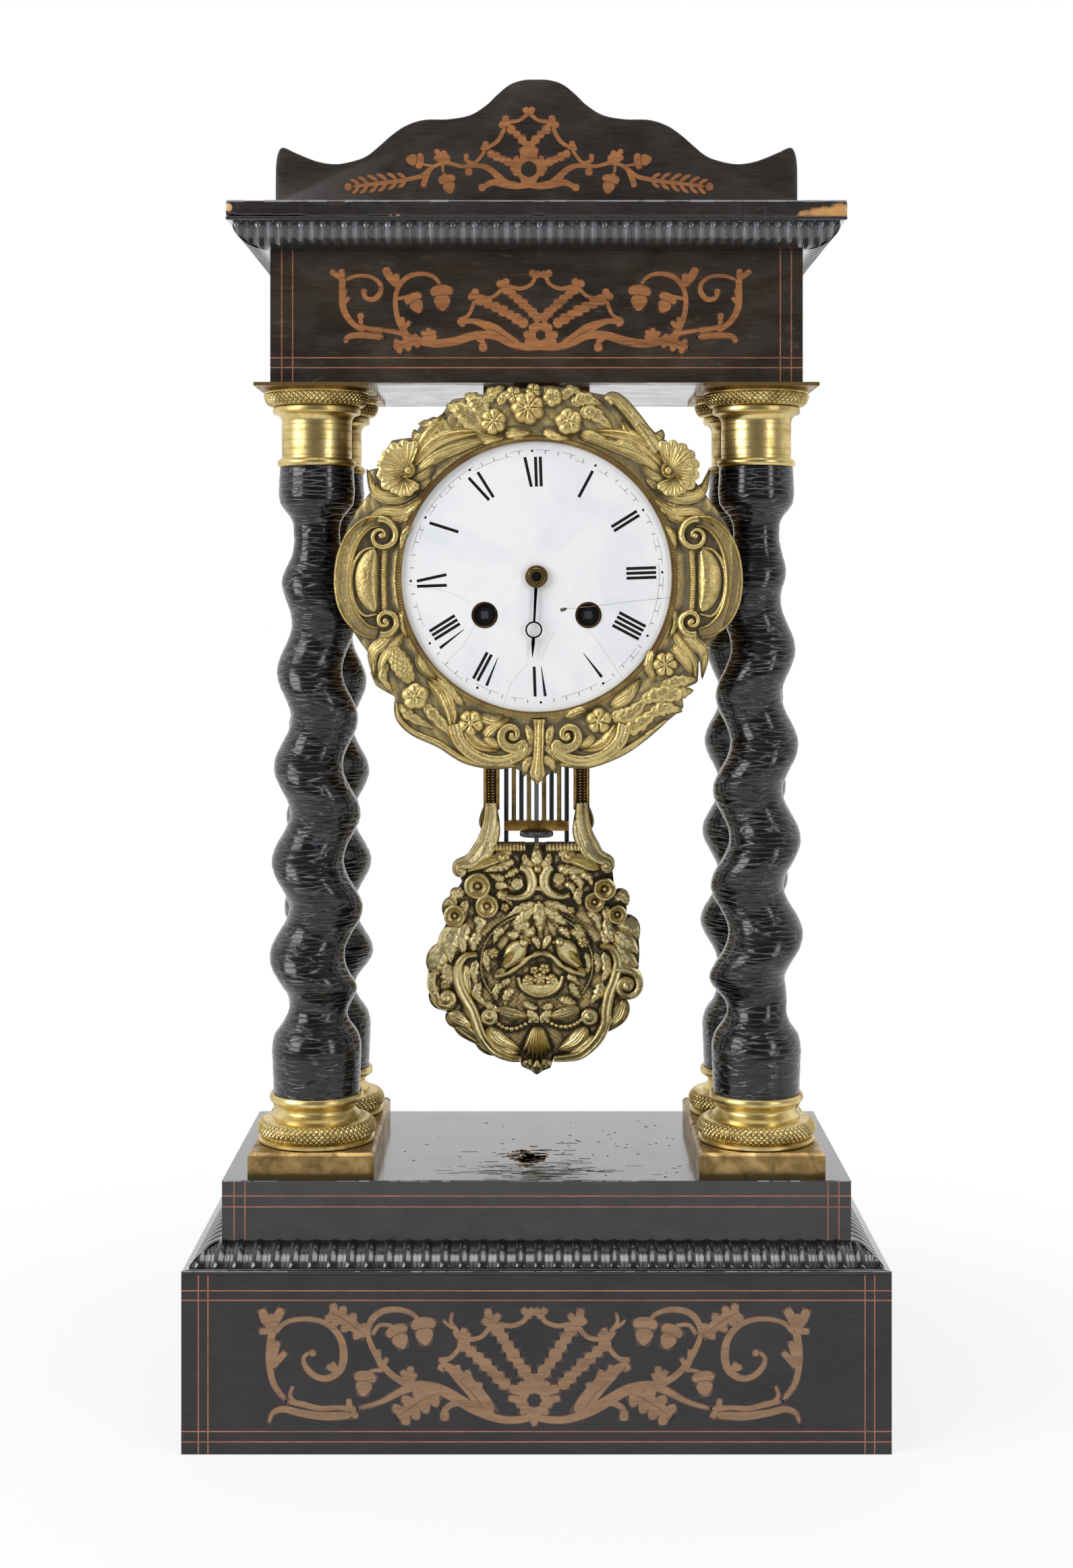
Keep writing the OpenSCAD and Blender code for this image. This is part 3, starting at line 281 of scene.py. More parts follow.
def mark_crests(mesh: bpy.types.Mesh, reach: float) -> None:
    """Store how far each point stands out over its surroundings, towards the front.

    Args:
        mesh: A relief that faces the front.
        reach: Radius of the surroundings in metres.
    """
    flat = numpy.empty(len(mesh.vertices) * 3, dtype=numpy.float32)
    mesh.vertices.foreach_get("co", flat)
    place = flat.reshape(-1, 3)
    cell = reach / 4
    spot = ((place[:, [0, 2]] - place[:, [0, 2]].min(axis=0)) / cell).astype(int) + 8
    front = numpy.full(spot.max(axis=0) + 9, numpy.inf)
    numpy.minimum.at(front, (spot[:, 0], spot[:, 1]), place[:, 1])
    share = numpy.isfinite(front).astype(float)
    level = numpy.where(share > 0, front, 0.0)
    for _ in range(14):
        for axis in (0, 1):
            level, share = (m + numpy.roll(m, 1, axis) + numpy.roll(m, -1, axis) for m in (level, share))
    around = (level / numpy.maximum(share, 1e-9))[spot[:, 0], spot[:, 1]]
    layer = mesh.attributes.new("crest", "FLOAT", "POINT")
    layer.data.foreach_set("value", (0.5 + (around - place[:, 1]) / (reach * 1.1)).astype(numpy.float32))


@dataclass(frozen=True)
class Drawing:
    """A measured drawing: its units are turned into millimetres about an origin, up being positive."""
    unit: float
    across: float
    down: float
    flip: int = 1

    def at(self, x: float, y: float) -> Point:
        """Give one place in millimetres."""
        return ((x - self.across) * self.unit * self.flip, (self.down - y) * self.unit)

    def line(self, *flat: float) -> list[Point]:
        """Give a row of places from pairs of numbers."""
        return [self.at(flat[i], flat[i + 1]) for i in range(0, len(flat), 2)]


def flat_ground(u: float, v: float) -> float:
    """Ground with no height."""
    return 0.0


class Relief(Clay):
    """Chased work on a ground: u to the right, v up and w out towards the front."""

    def __init__(self, origin: Sequence[float], ground: Height = flat_ground, skirt: float = 0.5) -> None:
        """Set up the ground.

        Args:
            origin: Where u, v and w are zero, in the object's frame.
            ground: Height of the ground at a place.
            skirt: How far the border of each shape runs down below the ground.
        """
        super().__init__()
        self.origin = Vector(origin)
        self.ground = ground
        self.skirt = skirt

    def _settle(self, made: Sequence[bmesh.types.BMVert], skirt: float | None = None) -> None:
        """Run the border of a new shape down into the ground."""
        depth = self.skirt if skirt is None else skirt
        if depth <= 0:
            return
        rim = [e for e in {e for v in made for e in v.link_edges} if e.is_boundary]
        if not rim:
            return
        grown = bmesh.ops.extrude_edge_only(self.bm, edges=rim)["geom"]
        low = [v for v in grown if isinstance(v, bmesh.types.BMVert)]
        for vert in low:
            vert.co.z = self.ground(vert.co.x, vert.co.y) - depth
        self.close([*made, *low], True)

    def sheet(self, edge: Along, back: float, bore: float = 0.0, cells: tuple[int, int] = (20, 360),
              crowd: float = 1.0, grain: Height = flat_ground) -> None:
        """Lay the ground itself as a closed plate: a disc, or a ring where it has a bore.

        Args:
            edge: Its outer radius at an angle in radians.
            back: Depth of its flat back below the origin.
            bore: Radius of its bore, or 0.
            cells: Cells along the radius and round.
            crowd: Over 1 the cells are closer together at the middle.
            grain: Fine work cut into the ground, which shapes laid on it don't take up.
        """
        self.shelve()
        made = bmesh.ops.create_grid(self.bm, x_segments=cells[0], y_segments=cells[1], size=1.0)["verts"]
        for vert in made:
            s, a = (vert.co.x + 1) / 2, pi * vert.co.y
            r = lerp(bore, edge(a), s ** crowd)
            u, v = r * cos(a), r * sin(a)
            vert.co = (u, v, self.ground(u, v) + grain(u, v))
        bmesh.ops.remove_doubles(self.bm, verts=made, dist=1e-4)
        left = [v for v in made if v.is_valid]
        rim = [e for e in {e for v in left for e in v.link_edges} if e.is_boundary]
        grown = bmesh.ops.extrude_edge_only(self.bm, edges=rim)["geom"]
        low = [v for v in grown if isinstance(v, bmesh.types.BMVert)]
        for vert in low:
            vert.co.z = -back
        loops = [e for e in grown if isinstance(e, bmesh.types.BMEdge) and e.is_boundary]
        if bore:
            bmesh.ops.bridge_loops(self.bm, edges=loops)
        self.close([*left, *low], not bore)

    def strip(self, path: Sequence[Sequence[float]], half: Along, height: Height,
              cells: tuple[int, int] = (24, 6), skirt: float | None = None) -> None:
        """Lay a ribbon along a path.

        Args:
            path: Points that the middle of the ribbon runs through.
            half: Half its width at a share of its length.
            height: Its height over the ground at a share of its length and, from -1 to 1, across it.
            cells: Cells along and across.
            skirt: Depth of its border below the ground, or None for the usual one.
        """
        long, wide = cells
        line = spline([p[:2] for p in path], long + 1)
        self.shelve()
        made = bmesh.ops.create_grid(self.bm, x_segments=long, y_segments=wide, size=1.0)["verts"]
        for vert in made:
            s, t = (vert.co.x + 1) / 2, vert.co.y
            k = round(s * long)
            ahead = line[min(k + 1, long)] - line[max(k - 1, 0)]
            side = Vector((-ahead.y, ahead.x)).normalized()
            place = Vector(line[k][:2]) + side * (t * half(s))
            vert.co = (place.x, place.y, self.ground(place.x, place.y) + height(s, t))
        self._settle(made, skirt)

    def disc(self, centre: Point, edge: Along, height: Height, cells: tuple[int, int] = (6, 24),
             tilt: tuple[float, float] = (0.0, 0.0), skirt: float | None = None) -> None:
        """Lay a round shape.

        Args:
            centre: Its middle.
            edge: Its radius at an angle in radians.
            height: Its height over the ground at a share of its radius and an angle.
            cells: Cells along the radius and round.
            tilt: Rise of its plane per millimetre to the right and up.
            skirt: Depth of its border below the ground, or None for the usual one.
        """
        rings, around = cells
        self.shelve()
        made = bmesh.ops.create_grid(self.bm, x_segments=rings, y_segments=around, size=1.0)["verts"]
        base = self.ground(*centre)
        for vert in made:
            s, a = (vert.co.x + 1) / 2, pi * vert.co.y
            r = s * edge(a)
            u, v = r * cos(a), r * sin(a)
            vert.co = (centre[0] + u, centre[1] + v, base + height(s, a) + tilt[0] * u + tilt[1] * v)
        bmesh.ops.remove_doubles(self.bm, verts=made, dist=1e-4)
        self._settle([v for v in made if v.is_valid], skirt)

    def ball(self, centre: Point, radius: float, rise: float = 0.0, squash: float = 1.0, fine: int = 2) -> None:
        """Set a bead.

        Args:
            centre: Its middle.
            radius: Its radius.
            rise: Height of its middle over the ground.
            squash: Its depth as a share of its width.
            fine: Subdivisions.
        """
        self.shelve()
        made = bmesh.ops.create_icosphere(self.bm, subdivisions=fine, radius=radius)["verts"]
        up = self.ground(*centre) + rise
        self.move(made, lambda c: (c.x + centre[0], c.y + centre[1], c.z * squash + up))

    def leaf(self, path: Sequence[Sequence[float]], half: float, rise: float = 1.0, low: float = 0.15,
             lobes: float = 0.0, veins: float = 5.0, ridges: int = 0, blunt: float = 0.75,
             cells: tuple[int, int] = (20, 8)) -> None:
        """Lay a chased leaf from its stalk to its tip.

        Args:
            path: Its midrib.
            half: Half its greatest width.
            rise: Height of its crown.
            low: Height of its border.
            lobes: Number of lobes on each side, or 0 for a plain edge.
            veins: Number of side veins.
            ridges: Number of ridges along it, or 0 for a grooved midrib.
            blunt: Under 1 the widest place lies towards the tip.
            cells: Cells along and across.
        """
        def edge(s: float) -> float:
            """Give half the width, with its lobes cut in."""
            body = sin(pi * min(1.0, s ** blunt)) ** 0.75
            cut = 1 - 0.24 * (1 - abs(sin(pi * lobes * s))) if lobes else 1.0
            return half * body * cut + 0.05

        def form(s: float, t: float) -> float:
            """Give the crown, the midrib or ridges, and the side veins."""
            crown = low + rise * sin(pi * (0.12 + 0.8 * s)) * (1 - 0.75 * t * t)
            rib = 0.13 * rise * cos(2 * pi * ridges * t) if ridges else -0.28 * rise * exp(-(t / 0.13) ** 2)
            side = 0.13 * rise * cos(2 * pi * veins * (s - 0.22 * abs(t))) * min(1.0, 3 * abs(t)) * (1 - t * t)
            return crown + rib + side

        self.strip(path, edge, form, cells)

    def flower(self, centre: Point, radius: float, petals: int, rise: float = 1.0, eye: float = 0.28,
               turn: float = 0.0, tilt: tuple[float, float] = (0.0, 0.0)) -> None:
        """Lay a rosette with an eye.

        Args:
            centre: Its middle.
            radius: Radius of its petals.
            petals: Number of petals.
            rise: Height of the petals.
            eye: Radius of the eye as a share of the whole.
            turn: Angle of a petal in degrees.
            tilt: Rise of its plane per millimetre to the right and up.
        """
        a0 = radians(turn)

        def edge(a: float) -> float:
            """Give the scalloped outline of the petals."""
            return radius * (0.84 + 0.16 * abs(cos(petals * (a - a0) / 2)) ** 0.6)

        def form(s: float, a: float) -> float:
            """Give the bowl of the petals."""
            petal = abs(cos(petals * (a - a0) / 2))
            bowl = sin(pi * min(1.0, 0.15 + 0.85 * s)) ** 0.6
            return 0.4 + rise * bowl * (0.6 + 0.4 * petal ** 0.4) + 0.1 * rise * s * petal

        self.disc(centre, edge, form, (8, petals * 8), tilt)
        self.ball(centre, radius * eye, rise * 0.75, 0.8)

    def cup(self, centre: Point, radius: float, rise: float = 1.6, tilt: tuple[float, float] = (0.0, 0.0)) -> None:
        """Lay a trumpet blossom: a rolled lip, a hollow and a pistil.

        Args:
            centre: Its middle.
            radius: Radius of its lip.
            rise: Height of the lip.
            tilt: Rise of its plane per millimetre to the right and up.
        """
        def form(s: float, a: float) -> float:
            """Give the rolled lip and the hollow."""
            lip = exp(-((s - 0.84) / 0.13) ** 2)
            hollow = -0.75 * exp(-(s / 0.5) ** 2)
            return 0.35 + rise * (0.55 + 0.5 * lip + hollow) + 0.05 * cos(10 * a) * s

        self.disc(centre, lambda a: radius * (1 + 0.015 * cos(5 * a)), form, (10, 40), tilt)
        self.ball(centre, radius * 0.2, rise * 0.35, 1.3)

    def beads(self, path: Sequence[Sequence[float]], count: int, radius: tuple[float, float, float],
              rise: float = 0.3, fine: int = 2) -> None:
        """Set a row of beads along a path.

        Args:
            path: Line of the beads.
            count: Number of beads.
            radius: Radius at the start, the middle and the end.
            rise: Height of the beads' middles.
            fine: Subdivisions of a bead.
        """
        for i, p in enumerate(spline([q[:2] for q in path], count)):
            s = i / (count - 1)
            r = lerp(radius[0], radius[1], s * 2) if s < 0.5 else lerp(radius[1], radius[2], s * 2 - 1)
            self.ball((p.x, p.y), r, rise, 0.9, fine)

    def finish(self, name: str, body: str, finish: "Finish", slot: str, stands_for: Sequence[str] = (),
               crease: float = 50.0, wear: float = 0.0) -> bpy.types.Object:
        """Stand the relief up on its ground and make the piece, as Clay.finish does."""
        self.gather()
        stand = Matrix.Translation(self.origin) @ Matrix.Rotation(pi / 2, 4, "X")
        bmesh.ops.transform(self.bm, matrix=stand, verts=self.bm.verts)
        return super().finish(name, body, finish, slot, stands_for, crease, wear)


# Finishes

def add(tree: Tree, kind: str, feeds: dict | None = None, stops: Sequence[tuple[float, str]] = (),
        **settings: object) -> bpy.types.Node:
    """Add one shader node with its settings and links.

    Args:
        tree: Tree to add it to.
        kind: Type of the node without its ShaderNode prefix.
        feeds: A value or an output for each named or numbered input.
        stops: Places and hex colours of a colour ramp.
        **settings: The node's own properties.

    Returns:
        The new node.
    """
    made = tree.nodes.new("ShaderNode" + kind)
    for key, value in settings.items():
        setattr(made, key, value)
    feed(tree, made, feeds or {})
    if stops:
        ramp = made.color_ramp.elements
        while len(ramp) < len(stops):
            ramp.new(1.0)
        for step, (at, code) in zip(ramp, stops):
            step.position, step.color = at, linear(code)
    return made


def feed(tree: Tree, node: bpy.types.Node, feeds: dict) -> None:
    """Link an output or set a value for each named or numbered input of a node."""
    for key, value in feeds.items():
        if isinstance(value, Socket):
            tree.links.new(value, node.inputs[key])
        else:
            node.inputs[key].default_value = value


def blend(tree: Tree, share: Socket, first: Socket, second: object) -> Socket:
    """Mix two colours by a share of the second."""
    return add(tree, "Mix", {0: share, 6: first, 7: second}, data_type="RGBA").outputs[2]


def ramp(tree: Tree, value: Socket, *stops: tuple[float, str]) -> Socket:
    """Turn a number into a colour by the places and hex colours of a ramp."""
    return add(tree, "ValToRGB", {0: value}, stops).outputs[0]


def spread(tree: Tree, value: Socket, low: float, high: float, first: float = 0.0, last: float = 1.0) -> Socket:
    """Map a number's range from low to high onto the range from first to last."""
    return add(tree, "MapRange", {"Value": value, "From Min": low, "From Max": high, "To Min": first, "To Max": last}).outputs[0]


def raised(tree: Tree, height: Socket, strength: float, depth: float, normal: Socket | None = None) -> Socket:
    """Bend a surface's normal by a height, of a depth in metres, over the normal that it may already have."""
    feeds = {"Strength": strength, "Distance": depth, "Height": height}
    return add(tree, "Bump", {**feeds, "Normal": normal} if normal else feeds).outputs[0]


class Grain(Enum):
    """Direction in which a surface's fibres or tool lines run."""
    ACROSS = (1.0, 0.0, 0.0)
    DEEP = (0.0, 1.0, 0.0)
    UP = (0.0, 0.0, 1.0)
    NONE = (1.0, 1.0, 1.0)

    def size(self, along: float, over: float) -> tuple[float, float, float]:
        """Give a pattern's size on each axis from its length along and its width over the grain."""
        return tuple(along if share else over for share in self.value)


@dataclass(frozen=True)
class Finish:
    """One real surface. Its material is made the first time that a piece asks for it."""
    name: str

    def material(self) -> bpy.types.Material:
        """Give the material."""
        known = bpy.data.materials.get(self.name)
        if known:
            return known
        made = bpy.data.materials.new(self.name)
        made.use_nodes = True
        tree = made.node_tree
        tree.nodes.clear()
        shader = add(tree, "BsdfPrincipled")
        add(tree, "OutputMaterial", {"Surface": shader.outputs[0]})
        self.paint(tree, shader, add(tree, "TexCoord").outputs["Object"])
        return made

    def paint(self, tree: Tree, shader: bpy.types.Node, place: Socket) -> None:
        """Build the surface; each finish does this its own way."""
        raise NotImplementedError

    def dress(self, *nodes: str) -> None:
        """Give this finish to CAD nodes."""
        for node in nodes:
            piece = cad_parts[node]
            if not piece.material_slots:
                piece.data.materials.append(self.material())
            for slot in piece.material_slots:
                slot.material = self.material()

    @staticmethod
    def mottle(tree: Tree, place: Socket, size: Sequence[float], detail: float = 4.0,
               rough: float = 0.55, twist: float = 0.0, shift: float = 0.0) -> Socket:
        """Lay an uneven pattern whose features have a real size.

        Args:
            tree: Tree to add it to.
            place: Coordinates in metres.
            size: Size of a feature on each axis in millimetres.
            detail: Finer steps within it.
            rough: Weight of the finer steps.
            twist: Distortion.
            shift: Offset that makes another pattern of the same kind.

        Returns:
            A number from 0 to 1.
        """
        scaled = add(tree, "Mapping", {"Vector": place, "Location": (shift,) * 3,
                                       "Scale": tuple(1 / (MM * s) for s in size)}).outputs[0]
        return add(tree, "TexNoise", {"Vector": scaled, "Scale": 1.0, "Detail": detail, "Roughness": rough,
                                      "Distortion": twist}).outputs["Fac"]


@dataclass(frozen=True)
class Spot:
    """A patch of colour on a surface: a worn or stained place, and on the step's polish a painted reflection."""
    at: tuple[float, float, float]
    radius: float
    colour: str
    ragged: float = 0.5

    def lay(self, tree: Tree, place: Socket, colour: Socket) -> Socket:
        """Blend the spot into a colour.

        Args:
            tree: Tree to add it to.
            place: Coordinates in metres.
            colour: Colour round the spot.

        Returns:
            The colour with the spot.
        """
        where = add(tree, "VectorMath", {0: place, 1: tuple(c * MM for c in self.at)}, operation="DISTANCE").outputs["Value"]
        edge = Finish.mottle(tree, place, (2.6, 2.6, 2.6), 6.0, 0.6, 0.4)
        far = add(tree, "Math", {0: edge, 1: self.radius * MM * self.ragged * 2, 2: where}, operation="MULTIPLY_ADD").outputs[0]
        inside = spread(tree, far, self.radius * MM * (0.75 + self.ragged), self.radius * MM * (1.1 + self.ragged), 1.0, 0.0)
        return blend(tree, inside, colour, linear(self.colour))


@dataclass(frozen=True)
class Ebonised(Finish):
    """Black-stained veneer under french polish: dark fibres, a hazy shine and rubbed places."""
    dark: str = "141211"
    light: str = "2f2b29"
    grain: Grain = Grain.ACROSS
    gloss: float = 0.25
    coat: float = 0.5
    rubbed: str = "4a3b2f"
    rubs: float = 0.66
    shine: float = 0.5
    spots: tuple[Spot, ...] = ()

    def paint(self, tree: Tree, shader: bpy.types.Node, place: Socket) -> None:
        """Build the veneer: pores 0.3 mm wide and 12 mm long, clouds of 25 mm, rubs of 4 mm."""
        fibre = self.mottle(tree, place, self.grain.size(12, 0.35), 5, 0.6)
        cloud = self.mottle(tree, place, (25, 25, 18), 3, 0.5)
        both = add(tree, "Math", {0: fibre, 1: 0.6, 2: add(tree, "Math", {0: cloud, 1: 0.4}, operation="MULTIPLY").outputs[0]},
                   operation="MULTIPLY_ADD").outputs[0]
        tone = ramp(tree, both, (0.36, self.dark), (0.62, self.light))
        rub = self.mottle(tree, place, self.grain.size(9, 3), 7, 0.68, 0.3, 3.1)
        worn = ramp(tree, rub, (self.rubs, "000000"), (self.rubs + 0.12, "ffffff"))
        colour = blend(tree, worn, tone, linear(self.rubbed))
        for spot in self.spots:
            colour = spot.lay(tree, place, colour)
        smear = self.mottle(tree, place, (16, 16, 7), 5, 0.6, 0.6, 7.7)
        dull = spread(tree, smear, 0.35, 0.7, self.gloss * 0.7, self.gloss * 1.8)
        bump = raised(tree, fibre, 0.25, 0.00012)
        feed(tree, shader, {"Base Color": colour, "Roughness": dull, "Normal": bump, "Specular IOR Level": self.shine,
                            "Coat Weight": self.coat, "Coat Roughness": 0.09})


@dataclass(frozen=True)
class Lacquer(Finish):
    """Black shellac on turned wood: deep gloss over fine tool lines; thick old coats have crazed into a net of cracks.
    A pale colour is painted as highlight and reflection where the mesh's layer asks for it, and the crack lines are
    painted grey as highlights.
    """
    colour: str = "0b0b0c"
    haze: str = "2c2c30"
    line: float = 0.3
    relief: float = 0.5
    rough: float = 0.24
    coat: float = 0.6
    # Colour painted as highlight and reflection where the mesh's layer of painted sheen is set.
    pale: str = "77787e"
    craze: tuple[float, float, float] | None = None

    def paint(self, tree: Tree, shader: bpy.types.Node, place: Socket) -> None:
        """Build the lacquer: level tool lines 7 mm long, and cracks drawn twice as wide as they are so that they show,
        their lines painted grey as highlights on their lips.
        """
        lines = self.mottle(tree, place, (7, 7, self.line), 3, 0.6, 0.15)
        fine = self.mottle(tree, place, (2.5, 2.5, self.line * 0.6), 4, 0.7, 0.2, 5.0)
        mixed = add(tree, "Math", {0: lines, 1: fine}, operation="ADD").outputs[0]
        dust_and_sheen = ramp(tree, fine, (0.5, self.colour), (0.8, self.haze))
        dull = spread(tree, fine, 0.3, 0.75, self.rough * 0.6, self.rough * 1.7)
        # Painted highlight and reflection: on the ripple mouldings' ridges and flutes the colour is blended towards the
        # pale colour.
        rubbed = add(tree, "Attribute", attribute_name="painted_shade_and_sheen", attribute_type="GEOMETRY").outputs["Fac"]
        dust_and_sheen = blend(tree, rubbed, dust_and_sheen, linear(self.pale))
        bump = raised(tree, mixed, self.relief, 0.00025)
        if self.craze:
            bend = self.mottle(tree, place, (6, 6, 5), 3, 0.6, 0.0, 3.3)
            moved = add(tree, "VectorMath", {0: bend, 1: (0.004, 0.004, 0.0008), 2: place}, operation="MULTIPLY_ADD").outputs[0]
            where = add(tree, "Mapping", {"Vector": moved, "Scale": tuple(1 / (MM * s) for s in self.craze)}).outputs[0]
            edge = add(tree, "TexVoronoi", {"Vector": where, "Scale": 1.0, "Randomness": 1.0},
                       feature="DISTANCE_TO_EDGE").outputs["Distance"]
            flat = spread(tree, edge, 0.0, 0.12)
            bump = raised(tree, flat, 0.6, 0.0003, bump)
            # Painted highlight: the crack lines take a grey from the tool-line pattern, as light caught on the cracks'
            # lips.
            lit = ramp(tree, lines, (0.42, "0c0c0f"), (0.66, "56575c"))
            dust_and_sheen = blend(tree, flat, lit, dust_and_sheen)
        feed(tree, shader, {"Base Color": dust_and_sheen, "Roughness": dull, "Normal": bump, "Coat Weight": self.coat,
                            "Coat Roughness": 0.12})


@dataclass(frozen=True)
class Brass(Finish):
    """Lacquered brass: warm metal with duller clouds, brown specks and the lines of its making."""
    bright: str = "e2b04a"
    warm: str = "c88f2f"
    dull: str = "8f6a2c"
    speck: str = "4a3518"
    rough: tuple[float, float] = (0.2, 0.42)
    lines: Grain = Grain.NONE
    line: float = 0.3
    specks: float = 0.7
    cloud: float = 7.0

    def paint(self, tree: Tree, shader: bpy.types.Node, place: Socket) -> None:
        """Build the brass: clouds of some millimetres, specks of 1 mm, tool lines 0.3 mm apart."""
        cloud = self.mottle(tree, place, (self.cloud,) * 3, 6, 0.6, 0.5)
        tone = ramp(tree, cloud, (0.30, self.dull), (0.47, self.warm), (0.66, self.bright))
        fleck = self.mottle(tree, place, (1.3, 1.3, 1.3), 5, 0.65, 0.2, 2.2)
        spots = ramp(tree, fleck, (self.specks, "000000"), (self.specks + 0.07, "ffffff"))
        colour = blend(tree, spots, tone, linear(self.speck))
        size = (1.5, 1.5, 1.5) if self.lines is Grain.NONE else self.lines.size(60, self.line)
        tool = self.mottle(tree, place, size, 3, 0.6)
        dull = spread(tree, cloud, 0.3, 0.7, self.rough[1], self.rough[0])
        bump = raised(tree, tool, 0.22, 0.0001)
        feed(tree, shader, {"Base Color": colour, "Roughness": dull, "Normal": bump, "Metallic": 1.0})


@dataclass(frozen=True)
class Turned(Brass):
    """Brass turned in a lathe: its lines run level round the axis, and painted shade lies in its knurl grooves."""

    def paint(self, tree: Tree, shader: bpy.types.Node, place: Socket) -> None:
        """Build the brass, then paint shade into the knurl grooves and lay level tool lines over it."""
        super().paint(tree, shader, place)
        # Painted shade: where the mesh's layer marks a knurl groove, the colour is blended towards the dark speck
        # colour.
        painted_shade_and_sheen = add(tree, "Attribute", attribute_name="painted_shade_and_sheen", attribute_type="GEOMETRY").outputs["Fac"]
        tone = shader.inputs["Base Color"].links[0].from_socket
        tree.links.new(blend(tree, painted_shade_and_sheen, tone, linear(self.speck)), shader.inputs["Base Color"])
        rings = self.mottle(tree, place, (900, 900, self.line), 4, 0.7)
        bump = raised(tree, rings, 0.3, 0.00012, shader.inputs["Normal"].links[0].from_socket)
        tree.links.new(bump, shader.inputs["Normal"])


@dataclass(frozen=True)
class Gilt(Finish):
    """Cast and fire-gilt brass: bright rubbed crests over dull, dirty recesses."""
    crest: str = "e3bd5c"
    middle: str = "b88f37"
    recess: str = "5d5434"
    deep: str = "34301f"
    blush: str = "a8682f"
    blushed: float = 0.62
    level: float = 0.0
    rough: tuple[float, float] = (0.27, 0.6)

    def paint(self, tree: Tree, shader: bpy.types.Node, place: Socket) -> None:
        """Build the gilding from the stored crests, with stains of 7 mm, chaser's marks of 1.2 mm and a cast grain of 0.5 mm."""
        crest = add(tree, "Attribute", attribute_name="crest", attribute_type="GEOMETRY").outputs["Fac"]
        stain = self.mottle(tree, place, (7, 7, 7), 8, 0.74, 0.5)
        marks = self.mottle(tree, place, (1.2, 1.2, 1.2), 3, 0.6, 0.6, 6.1)
        grit = self.mottle(tree, place, (0.5, 0.5, 0.5), 4, 0.7)
        lifted = add(tree, "Math", {0: stain, 1: 1.0, 2: crest}, operation="MULTIPLY_ADD").outputs[0]
        mixed = add(tree, "Math", {0: grit, 1: 0.35, 2: lifted}, operation="MULTIPLY_ADD").outputs[0]
        share = spread(tree, mixed, 0.75 + self.level, 1.6 + self.level)
        tone = ramp(tree, share, (0.0, self.deep), (0.22, self.recess), (0.44, self.middle), (0.72, self.crest))
        red = self.mottle(tree, place, (14, 14, 14), 5, 0.6, 0.4, 9.3)
        warm = ramp(tree, red, (self.blushed, "000000"), (self.blushed + 0.14, "b0b0b0"))
        colour = blend(tree, warm, tone, linear(self.blush))
        metal = spread(tree, share, 0.05, 0.42, 0.45, 1.0)
        dull = spread(tree, share, 0.1, 0.8, self.rough[1], self.rough[0])
        beaten = raised(tree, marks, 0.5, 0.0006)
        bump = raised(tree, grit, 0.28, 0.00018, beaten)
        feed(tree, shader, {"Base Color": colour, "Roughness": dull, "Metallic": metal, "Normal": bump})


@dataclass(frozen=True)
class Enamel(Finish):
    """Fired enamel: hard glassy gloss, faint grey clouds and brown stains round the holes."""
    white: str = "e9e9ea"
    shade: str = "dddfe2"
    spots: tuple[Spot, ...] = ()

    def paint(self, tree: Tree, shader: bpy.types.Node, place: Socket) -> None:
        """Build the enamel: clouds of 22 mm, and a slight swell of 6 mm left by the kiln."""
        cloud = self.mottle(tree, place, (22, 22, 22), 4, 0.6, 0.5)
        colour = ramp(tree, cloud, (0.3, self.shade), (0.56, self.white))
        for spot in self.spots:
            colour = spot.lay(tree, place, colour)
        swell = self.mottle(tree, place, (6, 6, 6), 2, 0.4)
        bump = raised(tree, swell, 0.08, 0.0002)
        feed(tree, shader, {"Base Color": colour, "Normal": bump, "Roughness": 0.16, "Coat Weight": 0.5, "Coat Roughness": 0.05})


@dataclass(frozen=True)
class Steel(Finish):
    """Drawn or polished steel: grey metal with fine lines and thin brown rust in places."""
    light: str = "8d9095"
    dark: str = "5c5f64"
    rust: str = "5a4230"
    lines: Grain = Grain.UP
    rough: tuple[float, float] = (0.25, 0.42)
    metal: float = 1.0
    rusted: float = 0.68

    def paint(self, tree: Tree, shader: bpy.types.Node, place: Socket) -> None:
        """Build the steel: lines 0.2 mm apart and 20 mm long, rust in patches of 4 mm."""
        line = self.mottle(tree, place, self.lines.size(20, 0.2), 3, 0.6)
        tone = ramp(tree, line, (0.32, self.dark), (0.66, self.light))
        patch = self.mottle(tree, place, (4, 4, 4), 7, 0.7, 0.3, 1.4)
        eaten = ramp(tree, patch, (self.rusted, "000000"), (self.rusted + 0.1, "ffffff"))
        colour = blend(tree, eaten, tone, linear(self.rust))
        dull = spread(tree, patch, 0.35, 0.75, self.rough[0], self.rough[1])
        bump = raised(tree, line, 0.15, 0.00008)
        feed(tree, shader, {"Base Color": colour, "Roughness": dull, "Normal": bump, "Metallic": self.metal})


